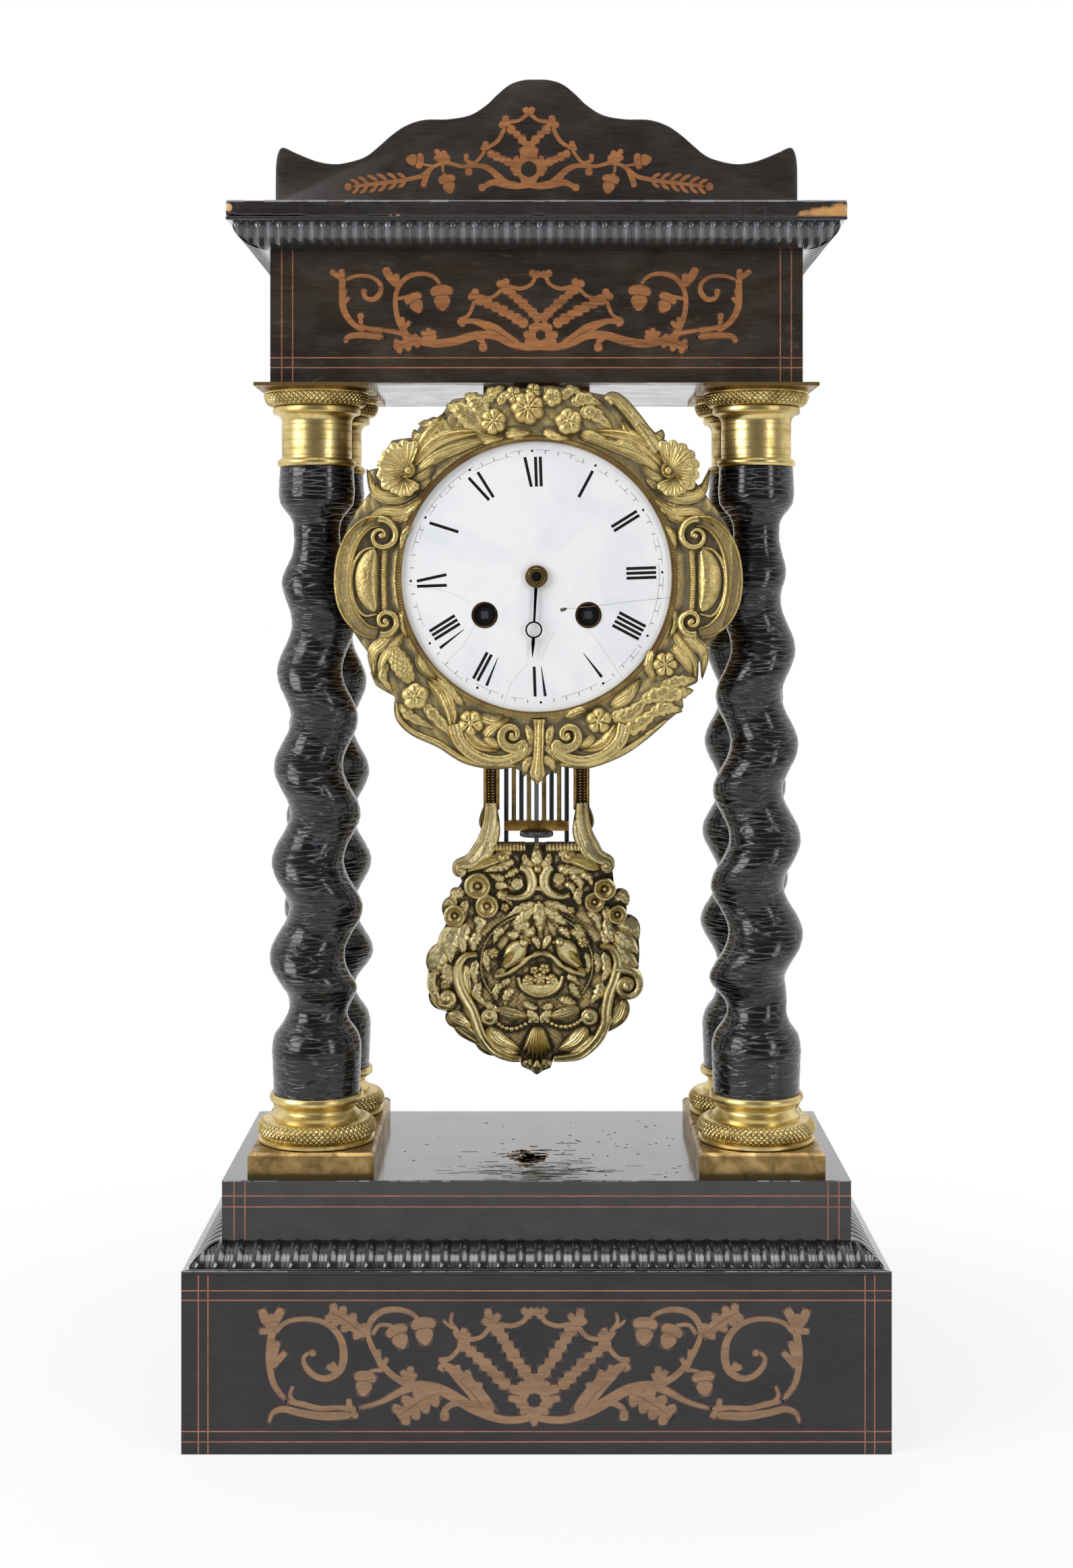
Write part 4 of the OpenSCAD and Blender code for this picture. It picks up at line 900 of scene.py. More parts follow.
@dataclass(frozen=True)
class Veneer(Finish):
    """Bare or polished wood: straight fibres, darker pores and a soft shine."""
    light: str = "c48a4a"
    middle: str = "b0733a"
    dark: str = "8a5527"
    grain: Grain = Grain.ACROSS
    gloss: float = 0.38
    coat: float = 0.3
    pore: float = 0.3

    def paint(self, tree: Tree, shader: bpy.types.Node, place: Socket) -> None:
        """Build the wood: fibres 0.3 mm wide and 5 mm long over bands of 3 mm."""
        fibre = self.mottle(tree, place, self.grain.size(5, self.pore), 5, 0.65)
        band = self.mottle(tree, place, self.grain.size(40, 3), 3, 0.5, 0.3, 4.0)
        both = add(tree, "Math", {0: fibre, 1: 0.65, 2: add(tree, "Math", {0: band, 1: 0.35}, operation="MULTIPLY").outputs[0]},
                   operation="MULTIPLY_ADD").outputs[0]
        colour = ramp(tree, both, (0.34, self.dark), (0.49, self.middle), (0.64, self.light))
        bump = raised(tree, fibre, 0.3, 0.00012)
        feed(tree, shader, {"Base Color": colour, "Normal": bump, "Roughness": self.gloss, "Coat Weight": self.coat,
                            "Coat Roughness": 0.12})


CASE_BLACK = Ebonised("ebonised_front_veneer", "110e10", "231f21", coat=0.2, shine=0.4)
CASE_BROWN = Ebonised("ebonised_faded_veneer", "130d07", "35281a", rubbed="4f3f2c", rubs=0.6, gloss=0.33, coat=0.3)
CASE_CREST = Ebonised("ebonised_crest_veneer", "17120f", "342d28", rubbed="4a4038", rubs=0.64, gloss=0.3, coat=0.2, shine=0.35)
CASE_SIDES = Ebonised("ebonised_side_veneer", "100e0e", "242121", Grain.DEEP)
SOFFIT_BLACK = Ebonised("thin_black_polish_underside", "202022", "3c3c40", gloss=0.2, coat=0.6, rubs=0.7, rubbed="55555a")
# Its pale colour is painted highlight and reflection on the ridges and flutes of the ripple mouldings.
MOULDING_BLACK = Lacquer("black_moulding_lacquer", pale="8c8d94", line=0.8, relief=0.08, rough=0.17, coat=1.0)
# Its crack lines are painted grey as highlights.
COLUMN_BLACK = Lacquer("crazed_column_lacquer", "050507", "121216", line=0.9, relief=0.05, rough=0.17, coat=0.2,
                       craze=(13.0, 13.0, 1.6))
PLINTH_BRASS = Brass("worn_sheet_brass", "b59a66", "977d50", "6e5a3a", rough=(0.28, 0.5), lines=Grain.ACROSS, specks=0.64)
TURNED_BRASS = Turned("gilded_turned_brass", "e6d296", "cdb676", "9c8656", rough=(0.24, 0.42), cloud=9, specks=0.7)
BEZEL_GILT = Gilt("antique_gilt_bezel", "d2bd80", "b09c66", "8e8160", "6a6048", rough=(0.34, 0.56))
STRIP_GILT = Gilt("brown_gilt_strips", "d4ac62", "a07c42", "5c4526", "33261a", "7a4a2a", level=0.2, rough=(0.32, 0.55))
BOB_GILT = Gilt("antique_gilt_bob", "f0e0a8", "d0b87e", "80704c", "3c3422", "7a5a3a", rough=(0.3, 0.5))
DIAL_ENAMEL = Enamel("white_vitreous_enamel")
PLATE_BRASS = Brass("grained_plate_brass", "d9b25c", "c59a45", "a07a35", lines=Grain.ACROSS, rough=(0.22, 0.36))
DRUM_BRASS = Brass("dull_spun_brass", "b8924c", "9c7838", "75592c", rough=(0.3, 0.5), lines=Grain.DEEP, specks=0.63)
WHEEL_BRASS = Brass("cut_wheel_brass", "e0bd6a", "cda552", "a98340", rough=(0.18, 0.32))
BELL_METAL = Brass("cast_bell_metal", "b5ae9b", "9a927e", "7a735f", speck="4d4a3e", rough=(0.24, 0.4))
STEEL = Steel("polished_steel")
ROD_STEEL = Steel("drawn_grey_steel", "4b4e52", "2c2e31", rusted=0.62)
BLUED = Steel("dark_blued_steel", "121216", "09090c", "16141a", rough=(0.3, 0.42))
SOOT = Steel("oil_blackened_steel", "131314", "0a0a0b", "1c1713", rough=(0.5, 0.7), metal=0.7)
BLACKENED = Steel("blackened_steel", "2a2b2d", "161718", "3a2c22", rough=(0.3, 0.5))
RAW_WOOD = Veneer("unpolished_softwood", "c9a26e", "b08551", "8d6437", gloss=0.6, coat=0.0)
INLAY = Veneer("inlaid_fruitwood", "ab7241", "935f36", "6b4222", gloss=0.34)
INLAY_DUSTY = Veneer("inlaid_fruitwood_dusty", "94704f", "82603f", "5f442c", gloss=0.3, coat=0.5)
STRINGING = Veneer("copper_coloured_stringing", "a8704c", "8c583c", "644032")
PRINT = Lacquer("fired_black_enamel", "09090a", "1a1a1c", relief=0.05, rough=0.2)
# Its brown spot is a worn place; its near-black spot is a painted reflection of the bob in the polish.
STEP_POLISH = Ebonised("black_french_polish_step", "0a0909", "171514", gloss=0.13, coat=0.7, rubs=0.74, rubbed="3a2a20",
                       spots=(Spot((-2, -14.0, 93.8), 9.0, "6a5440"), Spot((3, -34.0, 93.8), 13.0, "060606")))
BARE = Lacquer("bare_wood_in_polish", "6b5138", "8d7050", relief=0.2, rough=0.6, coat=0.0)
TOP_WOOD = Ebonised("worn_top_polish", "191614", "2d2724", rubs=0.6, rubbed="5a4636",
                    spots=(*(Spot((x, -52.4, z), r, "c8945a", 0.35) for x, z, r in (
                        (96.5, 439.6, 3.4), (100, 440, 3.7), (104, 440.4, 4), (109, 441, 4.4))),
                           Spot((-110.8, -52.4, 444), 1.6, "cfa77a"), Spot((-52.4, -52.4, 440.4), 1.2, "b58055"),
                           Spot((-49.8, -52.4, 440.4), 1.2, "b58055")))
DUST = Lacquer("dust_on_knocked_edges", "85858a", "c0beb8", relief=0.05, rough=0.55, coat=0.0)
# Dark nicks, and the streaks that spread the painted reflection of the bob across the step.
NICK_AND_REFLECTION_STREAKS = Lacquer("dark_nicks_and_reflection_streaks", "141110", "2c221b", relief=0.05, rough=0.6, coat=0.0)
CRACK = Lacquer("dirt_in_hairlines", "8a857b", "a39d92", relief=0.05, rough=0.4)
CHIP = Lacquer("oxidised_copper_chip", "3f4a35", "6e6440", relief=0.2, rough=0.5)
BOSS_BRASS = Turned("brown_hand_boss", "8a7450", "6a5638", "463826", rough=(0.28, 0.42))
EYELET = Brass("thin_dark_brass_rim", "6a5234", "4a3822", "2e2418", rough=(0.3, 0.45))
RING_GILT = Turned("tarnished_milled_brass", "bca468", "947c50", "7c5c40", speck="5c4028", rough=(0.25, 0.45), cloud=11,
                   specks=0.66)
ROD_BRASS = Brass("drawn_aged_brass", "a8905c", "867248", "5e4e32", rough=(0.28, 0.45), lines=Grain.UP, specks=0.62)
CROSS_BRASS = Brass("orange_aged_brass", "c49c5c", "a07a42", "74552e", rough=(0.3, 0.5), lines=Grain.ACROSS, specks=0.6)
SCORCHED = Ebonised("scorched_edge", "2f1c12", "4a3022", gloss=0.35, rubs=0.9)


# Marquetry: three inlaid motifs

@dataclass
class Marquetry:
    """One inlaid motif, mirrored about its middle: scrolls, oak leaves, acorns and bead chains with scorched edges."""
    name: str
    draft: Drawing
    shift: float
    face: float
    wood_finish: Finish = INLAY
    scorch: float = 0.24
    level: float = 0.0

    def __post_init__(self) -> None:
        """Set up the wood, the scorched line round it and the cuts on it."""
        self.wood, self.line, self.cuts = (Relief((self.shift, self.face, 0), flat_ground, 0.3) for _ in range(3))

    def lay(self, path: Sequence[Point], half: Along, cells: tuple[int, int]) -> None:
        """Inlay a ribbon and its mirror image, with round ends.

        Args:
            path: Its middle line in millimetres.
            half: Half its width at a share of its length.
            cells: Cells along and across.
        """
        size = sum(dist(a, b) for a, b in zip(path, path[1:]))
        first, last = (Vector(path[i]) - Vector(path[j]) for i, j in ((0, 1), (-1, -2)))
        longer = [tuple(Vector(path[0]) + first.normalized() * self.scorch), *path,
                  tuple(Vector(path[-1]) + last.normalized() * self.scorch)]
        for side in (1, -1):
            self.level += 0.00025
            for relief, row, grow, top in ((self.wood, path, 0.0, 0.056), (self.line, longer, self.scorch, 0.012)):
                def wide(s: float, grow: float = grow) -> float:
                    """Give the half width with the end rounded."""
                    body = half(s)
                    reach = min(s, 1 - s) * size / max(0.05, body)
                    return 0.02 + grow + body * sqrt(min(1.0, reach * (2 - min(1.0, reach))))
                relief.strip([(side * u, v) for u, v in row], wide, lambda s, t, top=top: top + self.level, cells)

    def stem(self, widths: Sequence[float], *flat: float) -> None:
        """Inlay a scroll from half widths, spread evenly along it, and the drawing's numbers."""
        rows = [(i / (len(widths) - 1), w * self.draft.unit) for i, w in enumerate(widths)]
        self.lay(self.draft.line(*flat), lambda s: lookup(s, rows), (max(10, len(flat) * 2), 2))

    def dots(self, count: int, radius: float, *flat: float) -> None:
        """Inlay a chain of round beads that touch."""
        line = spline(self.draft.line(*flat), count)
        for i, place in enumerate(line):
            r = radius * self.draft.unit * (1.0 + 0.1 * sin(2.4 * i))
            self.lay([(place.x - r, place.y), (place.x + r, place.y)], lambda s: r, (12, 2))

    def bud(self, x: float, y: float, radius: float) -> None:
        """Inlay a round dot."""
        u, v = self.draft.at(x, y)
        r = radius * self.draft.unit
        self.lay([(u - r, v), (u + r, v)], lambda s: r, (12, 2))

    def sprig(self, x: float, y: float, *tips: float) -> None:
        """Inlay blunt lobes from one place to each tip, given as across, down and half width."""
        for i in range(0, len(tips), 3):
            self.stem((tips[i + 2] * 0.5, tips[i + 2], tips[i + 2] * 0.9), x, y, (x + tips[i]) / 2 + (tips[i + 1] - y) * 0.06,
                      (y + tips[i + 1]) / 2, tips[i], tips[i + 1])

    def oak(self, half: float, lobes: int, *flat: float, scored: bool = True, core: float = 0.46, lean: float = 0.5,
            fat: float = 0.2) -> None:
        """Inlay an oak leaf or a spray: pairs of blunt lobes that lean towards its tip, and its scored midrib."""
        path = self.draft.line(*flat)
        line = spline(path, 41)
        size = half * self.draft.unit
        self.lay(path, lambda s: size * core * sin(pi * (0.12 + 0.8 * s)) ** 0.5, (20, 2))
        for i in range(lobes):
            s = (i + 0.35) / lobes
            k = min(39, max(1, round(s * 40)))
            ahead = (line[k + 1] - line[k - 1]).normalized()
            reach = size * sin(pi * (0.2 + 0.62 * s)) ** 0.6
            for side in (1, -1):
                out = Vector((-ahead.y, ahead.x, 0)) * side
                tip = line[k] + out * reach * 0.8 + ahead * reach * lean
                self.lay([tuple(line[k][:2]), tuple((line[k] + out * reach * 0.55 + ahead * reach * lean * 0.5)[:2]),
                          tuple(tip[:2])],
                         lambda s: size * (fat + 0.1 * sin(pi * s)), (10, 2))
        if scored:
            self.score(*flat)

    def score(self, *flat: float) -> None:
        """Cut a fine dark line, mirrored."""
        for side in (1, -1):
            self.cuts.strip([(side * u, v) for u, v in self.draft.line(*flat)], lambda s: 0.1 * sin(pi * (0.1 + 0.8 * s)) + 0.03,
                            lambda s, t: 0.062 + self.level, (10, 1))

    def acorn(self, x: float, y: float, turn: float, size: float) -> None:
        """Inlay an acorn: cap, scored rim and nut.

        Args:
            x: Across place of the rim's middle in the drawing.
            y: Down place of the rim's middle.
            turn: Way in which the nut points, in degrees from straight down towards the right.
            size: Width of the cap.
        """
        a = radians(turn)
        down, side = (sin(a), cos(a)), (cos(a), -sin(a))

        def at(across: float, along: float) -> tuple[float, float]:
            """Give a place from the acorn's own measures."""
            return x + size * (across * side[0] + along * down[0]), y + size * (across * side[1] + along * down[1])

        self.stem((0.34 * size, 0.41 * size, 0.4 * size, 0.3 * size, 0.1 * size), *at(0, 0), *at(0, 0.28), *at(0, 0.55),
                  *at(0, 0.88))
        self.stem((0.12 * size, 0.24 * size, 0.27 * size, 0.24 * size, 0.12 * size), *at(-0.54, 0.02), *at(-0.24, -0.14),
                  *at(0.24, -0.14), *at(0.54, 0.02))
        self.score(*at(-0.46, 0.12), *at(0, 0.07), *at(0.46, 0.12))

    def eye(self, x: float, y: float, hole: float, ring: float, scallops: int) -> None:
        """Inlay a ring with a scalloped edge round a dark hole."""
        middle, half = (hole + ring) / 2, (ring - hole) / 2
        path = [(x - middle * sin(pi * i / 12), y - middle * cos(pi * i / 12)) for i in range(-2, 15)]
        rows = self.draft.line(*[v for p in path for v in p])
        self.lay(rows, lambda s: half * self.draft.unit * (0.9 + 0.2 * abs(cos(pi * scallops * s))), (60, 2))

    def build(self) -> None:
        """Make the motif's three pieces."""
        self.wood.finish(self.name, "case", self.wood_finish, "ebonised_wood")
        self.line.finish(self.name + "_edges", "case", SCORCHED, "ebonised_wood")
        self.cuts.finish(self.name + "_cuts", "case", SCORCHED, "ebonised_wood")


def base_motif() -> Marquetry:
    """Draw the motif of the base."""
    m = Marquetry("base_marquetry", Drawing(0.12518, 788, 450.8), -0.8, -60.85, INLAY_DUSTY)
    m.sprig(46, 100, 14, 38, 13, 74, 36, 13, 44, 52, 12, 8, 102, 9)
    m.stem((11, 10, 9, 8, 6), 46, 96, 38, 150, 38, 200, 50, 252, 82, 296)
    m.stem((6, 6, 6, 7, 9, 11, 10, 8, 8, 5, 4), 52, 108, 78, 80, 115, 68, 162, 68, 206, 84, 238, 120, 248, 168, 238, 210, 205, 234,
           170, 230, 142, 205, 134, 178, 150, 160)
    m.bud(160, 163, 9)
    m.sprig(232, 215, 200, 200, 8, 214, 190, 8)
    m.sprig(48, 205, 62, 128, 10, 84, 160, 9)
    m.stem((3, 6, 9, 10, 12, 9), 36, 362, 46, 334, 78, 322, 130, 334, 200, 342, 276, 338)
    m.stem((5, 8, 7, 6, 9), 88, 300, 130, 308, 180, 320, 230, 318, 285, 322)
    m.sprig(270, 325, 262, 292, 8, 284, 348, 9)
    m.stem((7, 5, 4), 112, 306, 96, 284, 104, 256)
    m.stem((5, 6, 9, 13, 14, 15, 15, 12, 10, 10, 9), 290, 320, 350, 303, 410, 272, 455, 256, 520, 266, 575, 296, 630, 328, 690, 350,
           745, 352, 804, 338)
    m.stem((12, 9, 8, 7, 9, 8, 6, 5), 462, 262, 400, 236, 360, 200, 330, 150, 316, 106, 328, 68, 358, 45, 402, 40, 442, 52, 466, 76)
    m.acorn(474, 88, 6, 62)
    m.stem((6, 5, 5), 328, 112, 350, 84, 388, 86)
    m.acorn(400, 106, 22, 56)
    m.oak(36, 4, 312, 116, 272, 84, 236, 60, 206, 46)
    m.sprig(356, 212, 345, 152, 8, 372, 176, 7)
    m.stem((6, 5, 5), 360, 212, 338, 212, 318, 218)
    m.acorn(308, 238, -8, 56)
    m.sprig(440, 246, 412, 212, 9, 438, 200, 10, 452, 220, 8)
    m.oak(44, 4, 520, 276, 480, 292, 440, 316, 400, 346)
    m.stem((20, 24, 22, 18, 12, 10, 12), 668, 340, 640, 300, 610, 262, 578, 232, 552, 208, 530, 200, 522, 214)
    m.sprig(628, 282, 596, 210, 10, 636, 246, 9, 648, 282, 8)
    m.sprig(580, 236, 570, 196, 8)
    m.score(650, 325, 615, 280, 575, 240)
    m.stem((10, 9, 8, 9), 612, 316, 572, 304, 540, 318, 528, 344)
    m.bud(534, 342, 13)
    m.dots(7, 17, 704, 250, 650, 196, 588, 140)
    m.dots(7, 18, 776, 238, 728, 168, 684, 96)
    m.stem((9, 6, 6, 7), 516, 184, 548, 178, 572, 154, 586, 124)
    m.sprig(584, 128, 562, 98, 9, 592, 92, 10, 606, 106, 8)
    m.stem((7, 5, 3), 572, 104, 552, 76, 556, 48)
    m.stem((6, 4, 3), 560, 92, 542, 82, 530, 70)
    m.stem((7, 6, 7), 592, 126, 636, 118, 668, 84)
    m.sprig(668, 84, 640, 68, 10, 656, 36, 11, 690, 52, 10)
    m.stem((7, 6, 7), 684, 80, 722, 86, 756, 74, 770, 52)
    m.sprig(772, 56, 754, 36, 10, 770, 66, 9, 788, 38, 11)
    m.stem((10, 9), 770, 50, 788, 48)
    m.eye(788, 297, 21, 44, 5)
    m.sprig(770, 276, 716, 262, 13, 748, 244, 13, 778, 240, 14)
    m.sprig(764, 300, 714, 290, 10, 736, 312, 11, 752, 338, 9)
    m.bud(788, 352, 12)
    m.bud(788, 362, 8)
    return m


def entablature_motif() -> Marquetry:
    """Draw the motif of the entablature."""
    m = Marquetry("entablature_marquetry", Drawing(0.09926, 788, 4317.7), 1.5, -38.15)
    m.sprig(62, 84, 14, 52, 10, 56, 46, 11, 34, 66, 9)
    m.stem((12, 11, 12, 10, 9), 60, 76, 58, 130, 62, 190, 90, 240, 140, 276)
    m.sprig(60, 180, 70, 118, 9, 84, 150, 8)
    m.stem((6, 6, 6, 8, 10, 8, 7), 70, 86, 110, 72, 160, 74, 194, 96, 200, 128, 178, 156, 148, 154, 134, 132)
    m.bud(138, 130, 11)
    m.stem((8, 10, 11, 12), 68, 318, 84, 294, 140, 290, 210, 296)
    m.stem((8, 8, 10), 120, 256, 160, 266, 210, 272)
    m.stem((9, 6), 128, 250, 124, 222)
    m.bud(126, 220, 12)
    m.stem((6, 8, 14, 15, 15, 14, 14, 12, 10), 200, 270, 270, 282, 330, 306, 400, 320, 470, 312, 550, 290, 620, 292, 680, 320, 740,
           334, 806, 332)
    m.stem((12, 9, 8, 9, 7, 6), 300, 296, 268, 244, 254, 180, 260, 124, 292, 80, 340, 64, 390, 72, 420, 104)
    m.acorn(424, 136, 4, 74)
    m.sprig(262, 112, 214, 40, 15, 258, 62, 12)
    m.stem((6, 6), 260, 156, 308, 146)
    m.acorn(322, 160, 26, 60)
    m.sprig(286, 268, 278, 222, 10, 308, 238, 9)
    m.oak(34, 3, 350, 306, 300, 318, 246, 336)
    m.sprig(380, 306, 350, 276, 9, 376, 262, 11, 400, 272, 10, 406, 292, 8)
    m.stem((16, 20, 20, 14, 9, 9, 12), 712, 330, 660, 300, 620, 270, 580, 250, 540, 238, 504, 242, 496, 258)
    m.sprig(650, 296, 620, 262, 9, 648, 270, 9, 666, 290, 8)
    m.score(690, 320, 640, 285, 590, 262)
    m.stem((13, 9, 9), 552, 296, 574, 312, 574, 334)
    m.bud(576, 334, 16)
    m.stem((8, 6, 7), 484, 236, 524, 214, 546, 160)
    m.bud(492, 240, 11)
    m.sprig(546, 152, 522, 142, 14, 552, 118, 14)
    m.stem((8, 6, 7), 556, 152, 610, 150, 650, 116)
    m.sprig(652, 112, 630, 90, 14, 668, 82, 14)
    m.stem((8, 6, 8), 664, 110, 716, 118, 756, 100, 770, 66)
    m.bud(758, 62, 13)
    m.bud(778, 66, 13)
    m.dots(7, 19, 724, 244, 650, 200, 566, 160)
    m.dots(7, 17, 776, 224, 724, 174, 664, 122)
    m.eye(788, 290, 19, 46, 4)
    m.sprig(772, 262, 744, 262, 14, 778, 240, 14)
    m.bud(738, 288, 14)
    m.bud(742, 314, 13)
    return m


def pediment_motif() -> Marquetry:
    """Draw the motif of the pediment."""
    m = Marquetry("pediment_marquetry", Drawing(0.0903, 775, 5400.7), -2.8, -38.15)
    m.eye(775, 302, 33, 52, 4)
    m.sprig(768, 262, 742, 246, 17, 748, 212, 15, 768, 208, 15, 775, 236, 18)
    m.sprig(738, 290, 704, 272, 14, 700, 302, 14, 716, 328, 13, 722, 248, 12)
    m.dots(4, 17, 766, 204, 738, 172, 704, 142)
    m.dots(5, 16, 712, 280, 668, 262, 622, 240)
    m.stem((12, 12, 14, 13, 11, 8, 7, 7, 7, 9), 795, 362, 730, 370, 690, 362, 660, 340, 625, 308, 590, 290, 540, 288, 500, 290, 440,
           276, 390, 292, 330, 340)
    m.stem((13, 16, 12, 9), 740, 372, 680, 362, 630, 356, 590, 374)
    m.bud(586, 376, 15)
    m.sprig(660, 350, 634, 318, 9, 660, 324, 8, 680, 342, 8)
    m.stem((16, 14, 12), 742, 346, 775, 350, 795, 350)
    m.stem((9, 9, 8, 7, 6), 384, 300, 340, 330, 270, 346, 200, 356, 130, 364, 60, 372)
    m.oak(44, 6, 290, 344, 220, 350, 140, 360, 70, 370, scored=False, core=0.1, lean=1.0, fat=0.06)
    m.bud(44, 373, 15)
    m.stem((6, 11, 12), 376, 306, 358, 340, 346, 376)
    m.stem((5, 5), 426, 276, 428, 316)
    m.acorn(446, 350, 16, 60)
    m.sprig(436, 330, 410, 350, 11, 432, 318, 10)
    m.stem((5, 5), 390, 290, 344, 282)
    m.acorn(326, 268, -100, 56)
    m.sprig(340, 280, 324, 298, 11)
    m.sprig(452, 276, 396, 222, 11, 428, 226, 12, 446, 246, 10, 392, 252, 11)
    m.bud(532, 312, 15)
    m.stem((8, 7, 6, 6), 520, 250, 524, 268, 556, 276, 582, 250, 600, 222)
    m.bud(522, 250, 10)
    m.sprig(598, 222, 582, 212, 11, 604, 188, 12, 618, 206, 10)
    m.stem((6, 8, 8), 608, 216, 650, 186, 680, 132)
    m.sprig(682, 128, 654, 118, 14, 684, 84, 14, 700, 108, 11)
    m.stem((8, 6, 9), 694, 110, 738, 104, 774, 74)
    m.sprig(775, 76, 756, 52, 13)
    return m


# Case: boards, ripple mouldings, worn top and stringing

@dataclass
class Ripple:
    """A ripple-cut ovolo moulding on the front and both sides of a box, mitred at the front corners."""
    name: str
    stands_for: str
    width: float
    front: float
    rear: float
    out: float
    height: float
    foot: float
    upright: bool
    wave: Along
    # Gives the share of painted highlight and reflection at a place along the run and down the section.
    pale: Callable[[float, float], float]
    swell: tuple[Point, ...]
    depth: float = 1.1
    steep: float = 1.0
    lip: float = 1.2
    cell: float = 0.3

    def section(self) -> list[tuple[float, float, float, float, float]]:
        """Give the section as rows of reach, height, the way out at that place, and share of the ripple."""
        reach, tall = self.out - 2.4, self.height - self.lip
        rows = [(0.0, self.height, 0.0, 1.0, 0.0)]
        for i in range(23):
            a = radians(4 + 82 * i / 22)
            s, c = sin(a), cos(a)
            way = Vector((tall * c ** (self.steep - 1) * s, reach * s ** (self.steep - 1) * c)).normalized()
            share = lookup(i / 22, self.swell)
            rows.append((reach * s ** self.steep, self.lip + tall * c ** self.steep, way.x, way.y, share))
        rows += [(reach + 0.1, self.lip, 0, 0, 0), (self.out - 0.35, self.lip, 0, 0, 0), (self.out, self.lip - 0.35, 0, 0, 0),
                 (self.out, 0.3, 0, 0, 0), (self.out - 0.3, 0.0, 0, 0, 0), (0.0, 0.0, 0, 0, 0), (0.0, self.height, 0, 0, 0)]
        return rows

    def run(self, clay: Clay, length: float, place: Callable[[float, float, float], Sequence[float]],
            ends: Callable[[float], tuple[float, float]], chance: Random) -> None:
        """Lay one straight run.

        Args:
            clay: Mesh to add it to.
            length: Its greatest length.
            place: Turns a distance along, a reach and a height into a point.
            ends: Gives where the run starts and stops at a reach, so that the mitres close.
            chance: Seeded numbers for the unevenness of old work.
        """
        rows = self.section()
        shade_and_sheen_layer = clay.bm.verts.layers.float.get("painted_shade_and_sheen") or clay.bm.verts.layers.float.new("painted_shade_and_sheen")
        cells = int(length / self.cell)
        made = bmesh.ops.create_grid(clay.bm, x_segments=cells, y_segments=len(rows) - 1, size=1.0)["verts"]
        shift = chance.random()
        for vert in made:
            k = round((vert.co.y + 1) / 2 * (len(rows) - 1))
            reach, height, ox, oz, share = rows[k]
            start, stop = ends(0)
            middle, s = (start + stop) / 2, vert.co.x * length / 2
            ripple = self.depth * share * self.wave(s + shift) * (1 + 0.12 * sin(s * 0.37) * sin(s * 1.3))
            reach, height = reach + ox * ripple, height + oz * ripple * 0.6
            # The layer holds the share of painted highlight and reflection that the lacquer blends in.
            vert[shade_and_sheen_layer] = self.pale(s + shift, (k - 1) / 22) if 0 < k < 24 else 0.0
            start, stop = ends(max(0.0, reach))
            vert.co = place(min(stop, max(start, middle + s)), reach, height)
        clay.close(made, True, 2e-3)

    def build(self) -> None:
        """Make the three runs as one piece."""
        clay, chance = Clay(), Random(len(self.name))
        half = self.width / 2

        def up(height: float) -> float:
            """Give a height in the frame, turned over where the moulding hangs."""
            return self.foot + (height if self.upright else self.height - height)

        self.run(clay, self.width + 2 * self.out, lambda s, o, h: (s, self.front - o, up(h)),
                 lambda o: (-half - o, half + o), chance)
        depth = self.rear - self.front
        for side in (-1, 1):
            self.run(clay, depth + 2 * self.out, lambda s, o, h, side=side: (side * (half + o), s, up(h)),
                     lambda o: (self.front - o, self.rear), chance)
        clay.finish(self.name, "case", MOULDING_BLACK, "black_moulding", (self.stands_for,), crease=75)


def base_wave(s: float) -> float:
    """Ripple of the base moulding: a round lobe every 6.7 mm with three fine ridges between two lobes."""
    p = (s / 6.72) % 1.0
    if p < 0.6:
        return sin(pi * p / 0.6) ** 0.9 - 0.4
    q = (p - 0.6) / 0.4
    return 0.25 * abs(sin(2 * pi * q)) - 0.4


def base_painted_sheen(s: float, down: float) -> float:
    """Give the share of painted highlight and reflection on the base moulding: on two fine ridges between the lobes,
    low down.
    """
    q = ((s / 6.72) % 1.0 - 0.6) / 0.4
    some = 0.3 + 0.2 * sin(2.3 * floor(s / 3.36))
    return some * exp(-((abs(q - 0.5) - 0.29) / 0.19) ** 2) * smooth(0.4, 0.55, down) * smooth(0.98, 0.85, down)


def cornice_wave(s: float) -> float:
    """Ripple of the cornice: a strong and a weak flute every 7.8 mm with fine lines on them."""
    p = (s / 7.8) % 1.0
    if p < 0.5:
        body, q = 1.0, p / 0.5
    else:
        body, q = 0.62, (p - 0.5) / 0.5
    lobe = exp(-((q - 0.5) / 0.24) ** 2) * body
    return lobe - 0.3 + 0.07 * sin(2 * pi * q * 5)


def cornice_painted_sheen(s: float, up: float) -> float:
    """Give the share of painted highlight on the cornice: on the flutes' crests, fading downwards."""
    q = (s / 3.9) % 1.0
    some = 0.5 + 0.5 * sin(1.7 * floor(s / 3.9))
    return (0.35 + 0.55 * some) * exp(-((q - 0.5) / 0.25) ** 2) * smooth(0.25, 0.75, up) * (0.75 + 0.25 * sin(19 * s))


